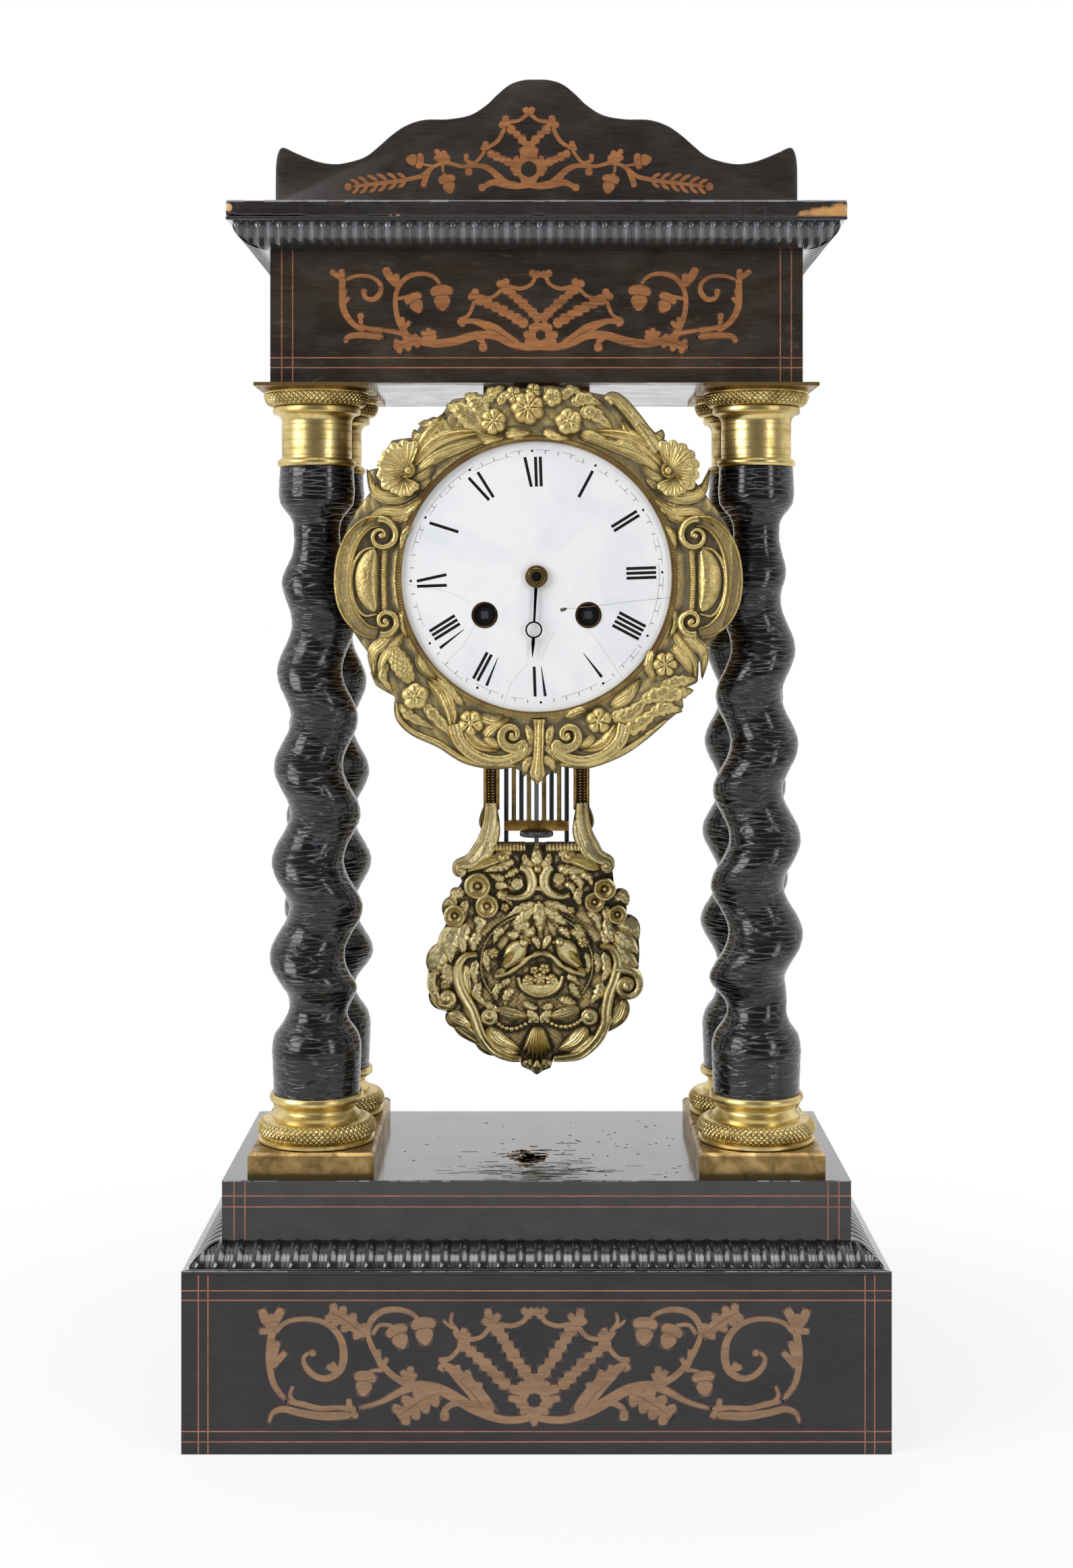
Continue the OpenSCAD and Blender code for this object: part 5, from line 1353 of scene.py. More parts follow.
@dataclass
class Case:
    """The wooden case: ebonised boards, ripple mouldings, the worn top board and double stringing."""
    top: tuple[float, float, float] = (223.1, -52.45, 60.85)
    top_z: tuple[float, float] = (440.8, 446.5)
    crest: tuple[float, float, float, float] = (190.6, 46.8, -38.15, -29.15)
    crest_line: tuple[Point, ...] = ((1, 0.0), (1, 0.18), (0.999, 0.32), (0.993, 0.41), (0.98, 0.462), (0.96, 0.462),
                                     (0.925, 0.428), (0.84, 0.36),
                                     (0.765, 0.34), (0.69, 0.37), (0.645, 0.41), (0.60, 0.485), (0.555, 0.565), (0.50, 0.64),
                                     (0.43, 0.685),
                                     (0.34, 0.69), (0.255, 0.722), (0.192, 0.80), (0.151, 0.88), (0.102, 0.96), (0.05, 0.995),
                                     (0, 1))
    string: float = 0.44
    proud: float = 0.035

    def build(self) -> None:
        """Make the case."""
        self.boards()
        Ripple("base_ripple_moulding", "base_moulding", 226.9, -48.2, 60.85, 12.65, 8.6, 63.7, True, base_wave, base_painted_sheen,
               ((0, 0.1), (0.06, 0.7), (0.16, 1.1), (0.3, 1.15), (0.5, 0.7), (0.85, 0.6), (1, 0.05)), steep=1.4).build()
        Ripple("cornice_ripple_moulding", "cornice_moulding", 194.5, -38.15, 60.85, 14.3, 10.1, 430.7, False,
               cornice_wave, cornice_painted_sheen, ((0, 0.05), (0.25, 1), (0.86, 1), (1, 0.15)), depth=0.85, cell=0.26).build()
        self.top_board()
        self.pediment()
        self.stringing()
        self.wear()

    def boards(self) -> None:
        """Give the plain boards their finishes."""
        CASE_BLACK.dress("base_front")
        CASE_SIDES.dress("base_side_and_back_boards", "base_top", "step_rails", "entablature_side_and_back_boards")
        CASE_BROWN.dress("entablature_front")
        STEP_POLISH.dress("step_top")
        RAW_WOOD.dress("base_bottom")
        SOFFIT_BLACK.dress("entablature_bottom")

    def top_board(self) -> None:
        """Make the top board: its lower front edge is knocked and rises at the left end."""
        clay, chance = Clay(), Random(8)
        width, front, rear = self.top
        low, high = self.top_z
        ring = [(rear, low), (rear, high), (front + 1.1, high), (front + 0.35, high - 0.2), (front, high - 0.8),
                (front, (low + high) / 2), (front, low + 0.7), (front + 0.3, low + 0.1), (front + 0.9, low),
                (front + 12, low), (rear, low)]
        cells = 260
        made = bmesh.ops.create_grid(clay.bm, x_segments=cells, y_segments=len(ring) - 1, size=1.0)["verts"]
        nicks = [(chance.uniform(-110, 110), chance.uniform(0.5, 2.4), chance.uniform(0.1, 0.5)) for _ in range(38)]
        nicks += [(-54.5, 2.6, 0.9), (96, 9, 0.5), (-109.5, 2.5, 1.0)]
        for vert in made:
            y, z = ring[round((vert.co.y + 1) / 2 * (len(ring) - 1))]
            x = vert.co.x * width / 2
            dent = sum(d * exp(-((x - at) / w) ** 2) for at, w, d in nicks)
            if y < front + 1:
                lower = smooth(low + 3, low, z)
                rise = 0.4 * (1 - smooth(-88, -80, x)) + 0.1 * sin(x * 0.5) * (1 - smooth(-60, -20, x))
                z += lower * (rise + dent * 0.15)
                y += dent * (0.35 + 0.65 * lower)
            ends = 0.5 * smooth(width / 2 - 1.0, width / 2, abs(x))
            z += -ends if z > high - 0.5 else 0.0
            vert.co = (x, y + ends * (y < front + 1), z)
        clay.close(made, True, 1e-3)
        clay.finish("worn_top_board", "case", TOP_WOOD, "ebonised_wood", ("top_board",), crease=40)

    def pediment(self) -> None:
        """Cut the pediment board: a wavy crest between two rounded horns, its edges softened by wear."""
        half = [(w * self.crest[0] / 2, self.top_z[1] + h * self.crest[1]) for w, h in self.crest_line]
        curve = [(p.x, p.y) for p in spline(half, 150)]
        clay = Clay()
        clay.plate([(half[0][0], self.top_z[1]), *curve, *[(-x, z) for x, z in reversed(curve[:-1])], (-half[0][0], self.top_z[1])],
                   self.crest[3], self.crest[2], 0.45)
        clay.finish("pediment_board", "case", CASE_CREST, "ebonised_wood", ("pediment",), crease=50)

    def wear(self) -> None:
        """Lay pale dusty slivers with gaps along the knocked edges, dark nicks on the step's polish, and long dark
        streaks that spread the step's painted reflection of the bob.
        """
        dust_and_sheen, nicks, bare, chance = Clay(), Clay(), Clay(), Random(5)
        for half, front, z, gap, thick in ((111.2, -52.45, 446.3, 0.05, 0.28), (126.2, -60.85, 64.86, 0.3, 0.13),
                                           (113.2, -48.2, 93.7, 0.6, 0.15)):
            x = -half
            while x < half:
                long = min(chance.uniform(1.5, 9), half - x)
                if chance.random() > gap:
                    wide = thick * chance.uniform(0.6, 1.5)
                    dust_and_sheen.block((x, front - 0.04, z - wide), (x + long, front + 0.3, z + wide * 0.7))
                x += long + chance.uniform(0, 3) * gap
        # The second row lays long dark streaks round the near-black spot, spreading the painted reflection of the bob;
        # the other rows are nicks and a bare patch.
        for clay, count, x0, y0, dx, dy, long, deep, top in (
                (nicks, 90, 22, 0, 34, 26, 1.6, 1.2, 93.84), (nicks, 110, 3, -36, 13, 6, 10, 0.6, 93.83),
                (nicks, 26, -2, -12, 11, 9, 9, 0.6, 93.86),
                (bare, 110, -2, -15, 3.6, 5, 4.5, 2.4, 93.84), (nicks, 40, 0, -47.6, 70, 0.2, 16, 0.3, 93.83)):
            for _ in range(count):
                x, y = chance.gauss(x0, dx), chance.gauss(y0, dy)
                if abs(x) < 56 + 50 * (dy < 1) and -48 < y < 56:
                    wide, thick = chance.uniform(0.2, 1) * long / 2, chance.uniform(0.3, 1) * deep / 2
                    clay.block((x - wide, max(-48.15, y - thick), 93.7), (x + wide, y + thick, top))
        dust_and_sheen.finish("dusty_edges", "case", DUST, "ebonised_wood")
        nicks.finish("dark_nicks_and_reflection_streaks", "case", NICK_AND_REFLECTION_STREAKS, "ebonised_wood")
        bare.finish("bare_patch", "case", BARE, "ebonised_wood")

    def strings(self, clay: Clay, front: float, box: tuple[float, float, float, float], uprights: Sequence[float],
                below: Sequence[float], above: Sequence[float]) -> None:
        """Inlay crossing lines on one board.

        Args:
            clay: Mesh to add them to.
            front: Depth of the board's face.
            box: Left, right, lower and upper edge of the board.
            uprights: Distances of upright lines from each end.
            below: Distances of level lines from the upper edge.
            above: Distances of level lines from the lower edge.
        """
        left, right, low, high = box
        w, back, face = self.string / 2, front + 0.4, front - self.proud
        for x in [left + d for d in uprights] + [right - d for d in uprights]:
            clay.block((x - w, face, low + 0.1), (x + w, back, high - 0.1))
        for z in [high - d for d in below] + [low + d for d in above]:
            clay.block((left + 0.1, face - 0.006, z - w), (right - 0.1, back, z + w))

    def stringing(self) -> None:
        """Inlay the double lines of the base, the step and the entablature."""
        clay = Clay()
        self.strings(clay, -60.85, (-126.1, 126.1, 0, 63.7), (6.1, 9.5), (5.6, 9.0), (4.5, 8.2))
        self.strings(clay, -48.2, (-113.45, 113.45, 72.3, 93.8), (4.4, 8.3), (5.5, 9.4), ())
        self.strings(clay, -38.15, (-97.25, 97.25, 382.5, 430.7), (4.2, 8.2), (), (5.5, 9.1))
        clay.finish("stringing", "case", STRINGING, "ebonised_wood")


# Columns: twisted shafts between knurled brass bases and capitals

@dataclass(frozen=True)
class Shaft:
    """One column's place, the height of its first swell over its foot, and the hand of its twist."""
    node: str
    x: float
    y: float
    peak: float
    hand: int


@dataclass
class Columns:
    """Four columns: twisted and lacquered shafts, brass plinths, bases, capitals and plates."""
    radius: float = 16.7
    throw: float = 3.6
    lead: float = 35.4
    foot: float = 120.0
    length: float = 232.5
    base_z: float = 102.4
    cap_z: float = 352.5
    knurl: float = 0.5
    knurl_high: float = 2.1
    shape: tuple[Point, ...] = ((0, 0.958), (10, 0.982), (17, 1), (22, 0.94), (26, 0.74), (30, 0.645), (34, 0.70), (40, 0.84),
                                (60, 0.83), (120, 0.77), (180, 0.70), (192, 0.66), (200, 0.54), (206, 0.51), (212, 0.52),
                                (216, 0.66), (218, 0.81), (223, 0.85), (232.5, 0.82))
    swing: tuple[Point, ...] = ((28, 0), (42, 1), (120, 0.86), (188, 0.64), (206, 0))
    shafts: tuple[Shaft, ...] = (Shaft("column_front_left", -82, -20.2, 122, 1), Shaft("column_front_right", 82, -20.2, 130.5, -1),
                                 Shaft("column_rear_left", -82, 25.9, 134.5, 1), Shaft("column_rear_right", 82, 25.9, 111, -1))

    def build(self) -> None:
        """Make the columns."""
        PLINTH_BRASS.dress("plinths", "abacus_plates")
        STEEL.dress("tie_rods", "tie_nuts")
        for shaft in self.shafts:
            self.twist(shaft)
        self.bases()
        self.capitals()

    def twist(self, shaft: Shaft) -> None:
        """Turn one shaft, its section thrown off the middle as it climbs."""
        clay = Clay()
        rows, sides = 232, 72
        made = bmesh.ops.create_grid(clay.bm, x_segments=sides, y_segments=rows, size=1.0)["verts"]
        for vert in made:
            a, up = pi * vert.co.x, (vert.co.y + 1) / 2 * self.length
            near = [lookup(up + d, self.shape) for d in (-1.6, -0.8, 0, 0.8, 1.6)]
            r = self.radius * sum(near) / 5
            e = self.throw * sum(lookup(up + d, self.swing) for d in (-2, 0, 2)) / 3
            turn = radians(180 - 360 * (up - shaft.peak) / self.lead)
            r += 0.05 * sin(up * 2.1 + 2 * a) + 0.04 * sin(up * 5.3 - a)
            vert.co = (shaft.x + shaft.hand * (e * cos(turn) + r * cos(a)), shaft.y + e * sin(turn) + r * sin(a),
                       self.foot + up)
        clay.close(made, True)
        clay.finish(shaft.node.replace("column", "twisted_shaft"), "case", COLUMN_BLACK, "column_lacquer", (shaft.node,), crease=60)

    def knurled(self, count: int, low: float, high: float) -> Change:
        """Give a change that raises diamonds on a turned band between two heights."""
        def change(r: float, h: float, a: float) -> Point:
            """Raise or sink one place of the band."""
            fade = smooth(low, low + 0.5, h) * smooth(high, high - 0.5, h)
            first, second = ((count * a / tau + way * h / self.knurl_high) % 1 for way in (1, -1))
            peak = min(1 - abs(2 * first - 1), 1 - abs(2 * second - 1)) * 1.8
            return r + fade * self.knurl * (min(1.0, peak) - 0.5), h
        return change

    def bases(self) -> None:
        """Turn the four bases: a smooth lip, a knurled torus, a hollow and a collar."""
        clay = Clay()
        lip = [(2.3, 0.0), (20.9, 0.0), (21.5, 0.4), (21.5, 1.5), (20.9, 1.9), (20.6, 2.0)]
        torus = [(17.5 + 4.3 * cos(a), 4.9 + 3.7 * sin(a)) for a in (radians(-52 + 140 * i / 30) for i in range(31))]
        hollow = [(17.4, 8.6), (16.3, 8.7), (16.3, 9.4)]
        hollow += [(16.3 - 1.9 * sin(2 * a), 9.6 + 5 * a / (pi / 2)) for a in (pi / 2 * i / 14 for i in range(15))]
        collar = [(16.9, 14.8), (17.3, 15.2), (17.45, 16.1), (17.3, 17.0), (16.8, 17.6), (2.3, 17.6)]
        for shaft in self.shafts:
            at = (shaft.x, shaft.y, self.base_z)
            clay.lathe([(2.3, 0.0), *lip[1:], (17.0, 2.1), (2.3, 2.1), (2.3, 0.0)], at, 96)
            clay.lathe([(12.0, 2.0), *torus, (12.0, 8.6), (12.0, 2.0)], at, 512, change=self.knurled(64, 2.1, 8.3))
            clay.lathe([(2.3, 8.0), (17.2, 8.0), *hollow, *collar, (2.3, 8.0)], at, 96)
        clay.finish("knurled_bases", "case", TURNED_BRASS, "turned_brass", ("column_bases",), crease=38)

    def capitals(self) -> None:
        """Turn the four capitals: a bead, a neck with scribed lines, a ring, a knurled bowl and a lip."""
        clay = Clay()
        bead = [(13 + 1.6 * cos(a), 1.6 + 1.6 * sin(a)) for a in (radians(-90 + 15 * i) for i in range(13))]
        neck = [(13.0, 3.4)]
        for z in (4.2, 6.4, 6.9, 9.8, 13.1, 13.6, 15.6):
            neck += [(13.0, z), (12.88, z + 0.12), (13.0, z + 0.24)]
        neck += [(13.0 + 2.7 * (1 - cos(a)), 16.4 + 3.3 * sin(a)) for a in (radians(90 * i / 10) for i in range(11))]
        neck += [(16.1, 19.9), (16.3, 20.4), (16.3, 21.6), (16.1, 22.1), (15.7, 22.3)]
        bowl = [(15.8 + 3.6 * sin(a), 26.9 - 4.5 * cos(a)) for a in (radians(90 * i / 26) for i in range(27))]
        lip = [(19.2, 27.3), (19.3, 27.7), (18.9, 28.2), (18.6, 28.7), (2.3, 28.7)]
        for shaft in self.shafts:
            at = (shaft.x, shaft.y, self.cap_z)
            clay.lathe([(2.3, 0.0), *bead, *neck, (15.0, 22.5), (2.3, 22.5), (2.3, 0.0)], at, 96)
            clay.lathe([(10.0, 22.4), *bowl, (19.0, 27.2), (10.0, 27.2), (10.0, 22.4)], at, 448,
                       change=self.knurled(56, 22.4, 27.2))
            clay.lathe([(2.3, 27.0), (18.8, 27.0), *lip, (2.3, 27.0)], at, 96)
        clay.finish("knurled_capitals", "case", TURNED_BRASS, "turned_brass", ("capitals",), crease=38)


# Dial: enamel, fired numerals and track, rims of the holes, cracks and the hour hand

@dataclass
class Dial:
    """The enamel dial and all that is painted on it or stands on it."""
    centre: float = 311.7
    rim_y: float = -38.4
    dome: float = 1.0
    radius: float = 50.0
    print_turn: float = 2.0
    hand_angle: float = 182.9
    numeral: tuple[float, float] = (32.8, 43.7)
    track: float = 45.3
    words: tuple[str, ...] = ("XII", "I", "II", "III", "IIII", "V", "VI", "VII", "VIII", "IX", "X", "XI")

    def face(self, u: float, v: float) -> float:
        """Give the height of the domed enamel over its rim."""
        return self.dome * (1 - (u * u + v * v) / self.radius ** 2)

    def ink(self) -> Relief:
        """Start work on the enamel's own surface."""
        return Relief((0, self.rim_y, self.centre), self.face, 0.03)

    def build(self) -> None:
        """Make the dial."""
        DIAL_ENAMEL.dress("dial")
        PLATE_BRASS.dress("dial_plate")
        self.numerals()
        self.minutes()
        self.cracks()
        self.eyelets()
        self.hour_hand()

    def stroke(self, ink: Relief, start: Point, stop: Point, wide: tuple[float, float]) -> None:
        """Lay one straight stroke between two places, each half width given."""
        cells = max(2, int(dist(start, stop) / 1.5))
        ink.strip([start, stop], lambda s: lerp(wide[0], wide[1], s), lambda s, t: 0.022, (cells, 1))

    def numerals(self) -> None:
        """Lay the hours, their feet to the middle: only the thick strokes are left, the hairlines have worn off."""
        ink = self.ink()
        inner, outer = self.numeral
        pitch, thick = 1.75, 0.55
        for hour, word in enumerate(self.words):
            wide = {"I": 1.0, "V": 2.3, "X": 2.3}
            total = sum(wide[c] for c in word) * pitch
            left = -total / 2
            turn = radians(90 - 30 * hour + self.print_turn)
            out, side = Vector((cos(turn), sin(turn))), Vector((sin(turn), -cos(turn)))

            def at(x: float, up: float, out: Vector = out, side: Vector = side) -> Point:
                """Give a place on the dial."""
                return tuple(out * lerp(inner, outer, up) + side * x)

            for letter in word:
                mid, half = left + wide[letter] * pitch / 2, wide[letter] * pitch / 2
                if letter == "I":
                    self.stroke(ink, at(mid, 0), at(mid, 1), (thick, thick))
                elif letter == "V":
                    self.stroke(ink, at(mid - half * 0.4, 1), at(mid + 0.3, 0), (thick, 0.12))
                else:
                    self.stroke(ink, at(mid - half * 0.5, 1), at(mid + half * 0.5, 0), (thick, thick))
                left += wide[letter] * pitch
        ink.finish("hour_numerals", "case", PRINT, "enamel")

    def minutes(self) -> None:
        """Lay the minute track: fine ticks between two worn arcs, and a dot at each fifth minute."""
        ink, chance = self.ink(), Random(4)
        for minute in range(60):
            a = radians(90 - 6 * minute + self.print_turn)
            way = Vector((cos(a), sin(a)))
            if minute % 5:
                if chance.random() < 0.93:
                    self.stroke(ink, tuple(way * 44.85), tuple(way * 46.2), (0.1, 0.1))
            else:
                ink.disc(tuple(way * 45.9), lambda a: 0.46, lambda s, a: 0.024, (2, 12))
        for radius in (44.8, 46.25):
            for part in range(60):
                if chance.random() < 0.3:
                    a = [radians(6 * part + d) for d in (0, 2, 4, 6)]
                    arc = [(radius * cos(x), radius * sin(x)) for x in a]
                    ink.strip(arc, lambda s: 0.05, lambda s, t: 0.02, (4, 1))
        ink.finish("minute_track", "case", PRINT, "enamel")

    def cracks(self) -> None:
        """Lay the hairlines and the chip with its old brown stain."""
        ink, chance = self.ink(), Random(21)
        lines = [((10.2, -12.0), (22, -10.6), (33, -9.4), (48.5, -7.6)), ((6.7, -20), (4.2, -24.5), (2, -30)),
                 ((19, -19.2), (23.5, -25), (31, -37)), ((-24, -9.5), (-33, -5.2), (-41, -3.8), (-48.4, -2.5)),
                 ((-3, -32), (-9, -39), (-12, -47)), ((-22.2, -17), (-26, -24), (-33, -31))]
        for number, line in enumerate(lines):
            wander = [(x + chance.uniform(-0.25, 0.25), y + chance.uniform(-0.25, 0.25)) for x, y in line]
            ink.strip(wander, lambda s: 0.04 if number else 0.07, lambda s, t: 0.012, (26, 1))
        ink.finish("enamel_hairlines", "case", CRACK, "enamel")
        chip = self.ink()
        chip.disc((9.8, -12.0), lambda a: 0.9 + 0.35 * sin(2 * a + 1) + 0.15 * sin(5 * a), lambda s, a: 0.02 - 0.01 * s, (4, 24))
        chip.finish("enamel_chip", "case", CHIP, "enamel")

    def eyelets(self) -> None:
        """Turn the brown rims of the winding holes and, behind them, near-black discs that paint the shade inside the
        holes.
        """
        clay, dark = Clay(), Clay()
        for x, z, r in ((-18.9, 297.7, 4.7), (18.9, 297.7, 4.7)):
            low = self.rim_y - self.face(x, z - self.centre)
            clay.lathe([(r - 0.62, -1.6), (r - 0.62, 0.12), (r - 0.4, 0.26), (r, 0.2), (r + 0.14, 0.02), (r + 0.14, -1.6),
                        (r - 0.62, -1.6)],
                       (x, low, z), 64, "Y")
            # Painted shade: a near-black disc behind each hole stands in for the shade inside it.
            dark.lathe([(2.5, -1.5), (2.5, -1.1), (4.2, -1.1), (4.2, -1.5), (2.5, -1.5)], (x, low, z), 48, "Y")
        clay.finish("hole_rims", "case", EYELET, "plate_brass")
        dark.finish("hole_shade_discs", "case", SOOT, "blackened_steel")

    def hour_hand(self) -> None:
        """Make the near-black hand: a thin stalk, a moon ring and a leaf point, and its brown brass boss."""
        clay, boss = Clay(), Clay()
        tip, ring, ring_r, eye = 29.4, 19.4, 3.1, 2.5
        half = [(0.62, 3.4), (0.5, 9), (0.42, 14), (0.42, 16.4)]
        half += [(ring_r * sin(a), ring - ring_r * cos(a)) for a in (lerp(0.137, pi - 0.2, i / 20) for i in range(21))]
        half += [(0.6, 22.9), (0.68, 24.0), (0.5, 26.0), (0.26, 28.2), (0.1, tip)]
        turn = Matrix.Rotation(radians(self.hand_angle), 3, "Y")
        clay.plate(half + [(-x, z) for x, z in reversed(half)], -40.72, -41.12, 0.1)
        self.bore(clay, ring, eye)
        boss.lathe([(1.9, -0.4), (4.0, -0.4), (4.15, -0.1), (4.15, 0.45), (3.8, 0.75), (3.2, 0.85), (2.9, 1.1), (2.4, 1.15),
                    (2.2, 0.9), (1.9, 0.85), (1.9, -0.4)],
                   (0, -40.7, 0), 72, "Y")
        for part, name, finish in ((clay, "moon_hour_hand", BLUED), (boss, "hand_boss", BOSS_BRASS)):
            part.gather()
            part.move(part.bm.verts, lambda c: turn @ c + Vector((0, 0, self.centre)))
            part.finish(name, "hour_wheel", finish, "blued_steel", ("hour_hand",) if part is clay else (), crease=30)

    def bore(self, clay: Clay, height: float, radius: float) -> None:
        """Cut the ring's hole: the plate is meshed with a cutter and the difference kept."""
        clay.gather()
        plate = bpy.data.meshes.new("plate")
        clay.bm.to_mesh(plate)
        cutter = Clay()
        cutter.lathe([(0, -3), (radius, -3), (radius, 3), (0, 3)], (0.0, -41, height), 48, "Y")
        drill = bpy.data.meshes.new("drill")
        cutter.bm.to_mesh(drill)
        cutter.bm.free()
        things = [bpy.data.objects.new(m.name, m) for m in (plate, drill)]
        for thing in things:
            bpy.context.scene.collection.objects.link(thing)
        cut = things[0].modifiers.new("cut", "BOOLEAN")
        cut.operation, cut.object, cut.solver = "DIFFERENCE", things[1], "EXACT"
        shaped = bpy.data.meshes.new_from_object(things[0].evaluated_get(bpy.context.evaluated_depsgraph_get()))
        clay.bm.clear()
        clay.bm.from_mesh(shaped)
        for thing, mesh in zip(things, (plate, drill)):
            bpy.data.objects.remove(thing)
            bpy.data.meshes.remove(mesh)
        bpy.data.meshes.remove(shaped)


# Movement and its drum: the CAD's own solids, dressed

@dataclass
class Movement:
    """The striking movement in its drum, all parts of which keep their CAD shapes."""

    def build(self) -> None:
        """Dress the parts."""
        DRUM_BRASS.dress("drum", "hanger_bracket", "rear_door")
        PLATE_BRASS.dress("mounting_ring", "front_plate", "back_plate", "pillars", "back_cock", "bell_stand")
        SOOT.dress("minute_arbor")
        WHEEL_BRASS.dress("hour_wheel", "minute_wheel", "going_barrel", "second_wheel", "third_wheel",
                          "escape_wheel", "strike_barrel", "pin_wheel", "fly")
        STEEL.dress("bracket_screws", "door_hinge_pin", "going_winding_arbor", "going_click", "anchor",
                    "strike_winding_arbor", "strike_click", "hammer", "suspension_spring", "pendulum_rod")
        BELL_METAL.dress("bell")


# Studio

@dataclass
class Studio:
    """A pale floor, plain soft lamps and the camera at the photograph's viewpoint."""
    away: float = 844.2
    eye: float = 302.0
    lens: float = 50.70
    drop: float = -0.1153

    def build(self) -> None:
        """Set up the studio."""
        self.camera()
        self.floor()
        self.world()
        self.lamp("key_lamp", (-1.3, -0.85, 0.75), (0.9, 1.2), 18.0)
        self.lamp("fill_lamp", (1.05, -1.15, 0.6), (0.28, 1.2), 5.5)
        self.lamp("top_lamp", (0.0, -0.32, 1.5), (1.1, 0.5), 6.0)
        bpy.context.scene.view_settings.view_transform = "Standard"

    def camera(self) -> None:
        """Place the level camera; its shift frames the clock as the photograph does."""
        data = bpy.data.cameras.new("camera")
        data.lens, data.sensor_width, data.shift_y = self.lens, 36.0, self.drop
        camera = bpy.data.objects.new("camera", data)
        camera.location = (0, -self.away * MM, self.eye * MM)
        camera.rotation_euler = (pi / 2, 0, 0)
        bpy.context.scene.collection.objects.link(camera)
        bpy.context.scene.camera = camera

    def floor(self) -> None:
        """Lay the floor: pale paper that keeps the shadow and turns plain white further off."""
        clay = Clay()
        bmesh.ops.create_circle(clay.bm, cap_ends=True, segments=96, radius=0.85)
        mesh = bpy.data.meshes.new("floor")
        clay.bm.to_mesh(mesh)
        clay.bm.free()
        ground = bpy.data.objects.new("floor", mesh)
        bpy.context.scene.collection.objects.link(ground)
        paper = bpy.data.materials.new("pale_paper")
        paper.use_nodes = True
        tree = paper.node_tree
        tree.nodes.clear()
        place = add(tree, "TexCoord").outputs["Object"]
        tooth = add(tree, "TexNoise", {"Vector": place, "Scale": 900.0, "Detail": 3.0}).outputs["Fac"]
        bump = raised(tree, tooth, 0.05, 0.0002)
        sheet = add(tree, "BsdfPrincipled", {"Base Color": linear("f2f2f1"), "Roughness": 0.75, "Normal": bump})
        glow = add(tree, "Emission", {"Color": (1, 1, 1, 1), "Strength": 1.0})
        far = add(tree, "VectorMath", {0: place}, operation="LENGTH").outputs["Value"]
        share = add(tree, "MapRange", {"Value": far, "From Min": 0.13, "From Max": 0.4, "To Min": 0.8, "To Max": 1.0},
                    interpolation_type="SMOOTHSTEP").outputs[0]
        seen = self.seen(tree)
        mix = add(tree, "Math", {0: share, 1: seen}, operation="MULTIPLY").outputs[0]
        both = add(tree, "MixShader", {0: mix, 1: sheet.outputs[0], 2: glow.outputs[0]})
        add(tree, "OutputMaterial", {"Surface": both.outputs[0]})
        mesh.materials.append(paper)

    @staticmethod
    def seen(tree: Tree) -> Socket:
        """Tell the rays that see the background: camera, glossy and transmission rays."""
        rays = add(tree, "LightPath").outputs
        first = add(tree, "Math", {0: rays["Is Camera Ray"], 1: rays["Is Glossy Ray"]}, operation="MAXIMUM").outputs[0]
        return add(tree, "Math", {0: first, 1: rays["Is Transmission Ray"]}, operation="MAXIMUM").outputs[0]

    def world(self) -> None:
        """Build the surroundings: white as seen, a grey room in reflections from the front, soft light."""
        world = bpy.data.worlds.new("studio")
        world.use_nodes = True
        bpy.context.scene.world = world
        tree = world.node_tree
        tree.nodes.clear()
        way = add(tree, "SeparateXYZ", {0: add(tree, "TexCoord").outputs["Generated"]}).outputs
        room = ramp(tree, spread(tree, way["Y"], -1.0, 1.0), (0.0, "707072"), (0.30, "848486"), (0.52, "dcdcdc"), (0.6, "ffffff"))
        rays = add(tree, "LightPath").outputs
        behind = blend(tree, rays["Is Camera Ray"], room, (1, 1, 1, 1))
        shown = add(tree, "Background", {"Color": behind, "Strength": 1.0})
        light = add(tree, "Background", {"Color": linear("f6f7fa"), "Strength": 0.46})
        both = add(tree, "MixShader", {0: self.seen(tree), 1: light.outputs[0], 2: shown.outputs[0]})
        add(tree, "OutputWorld", {"Surface": both.outputs[0]})

    def lamp(self, name: str, at: tuple[float, float, float], size: tuple[float, float], power: float) -> None:
        """Hang a soft rectangular lamp that faces the clock.

        Args:
            name: Its name.
            at: Its place in metres.
            size: Its width and height in metres.
            power: Its power in watts.
        """
        data = bpy.data.lights.new(name, "AREA")
        data.shape, data.size, data.size_y, data.energy = "RECTANGLE", size[0], size[1], power
        lamp = bpy.data.objects.new(name, data)
        lamp.location = at
        lamp.rotation_euler = (Vector((0, 0, 0.25)) - Vector(at)).to_track_quat("-Z", "Y").to_euler()
        bpy.context.scene.collection.objects.link(lamp)


# Bezel: a cast ring of scrolled ears, leaves and flowers

def polar(outline: Sequence[Point]) -> Along:
    """Give the radius of an outline at an angle, straight between its corners."""
    rows = sorted((atan2(y, x), hypot(x, y)) for x, y in outline)
    rows = [(rows[-1][0] - tau, rows[-1][1]), *rows, (rows[0][0] + tau, rows[0][1])]
    table = [lookup(tau * i / 1440 - pi, rows) for i in range(1441)]

    def edge(a: float) -> float:
        """Look an angle up."""
        x = (a + pi) % tau / tau * 1440
        k = int(x)
        return lerp(table[k], table[min(k + 1, 1440)], x - k)
    return edge


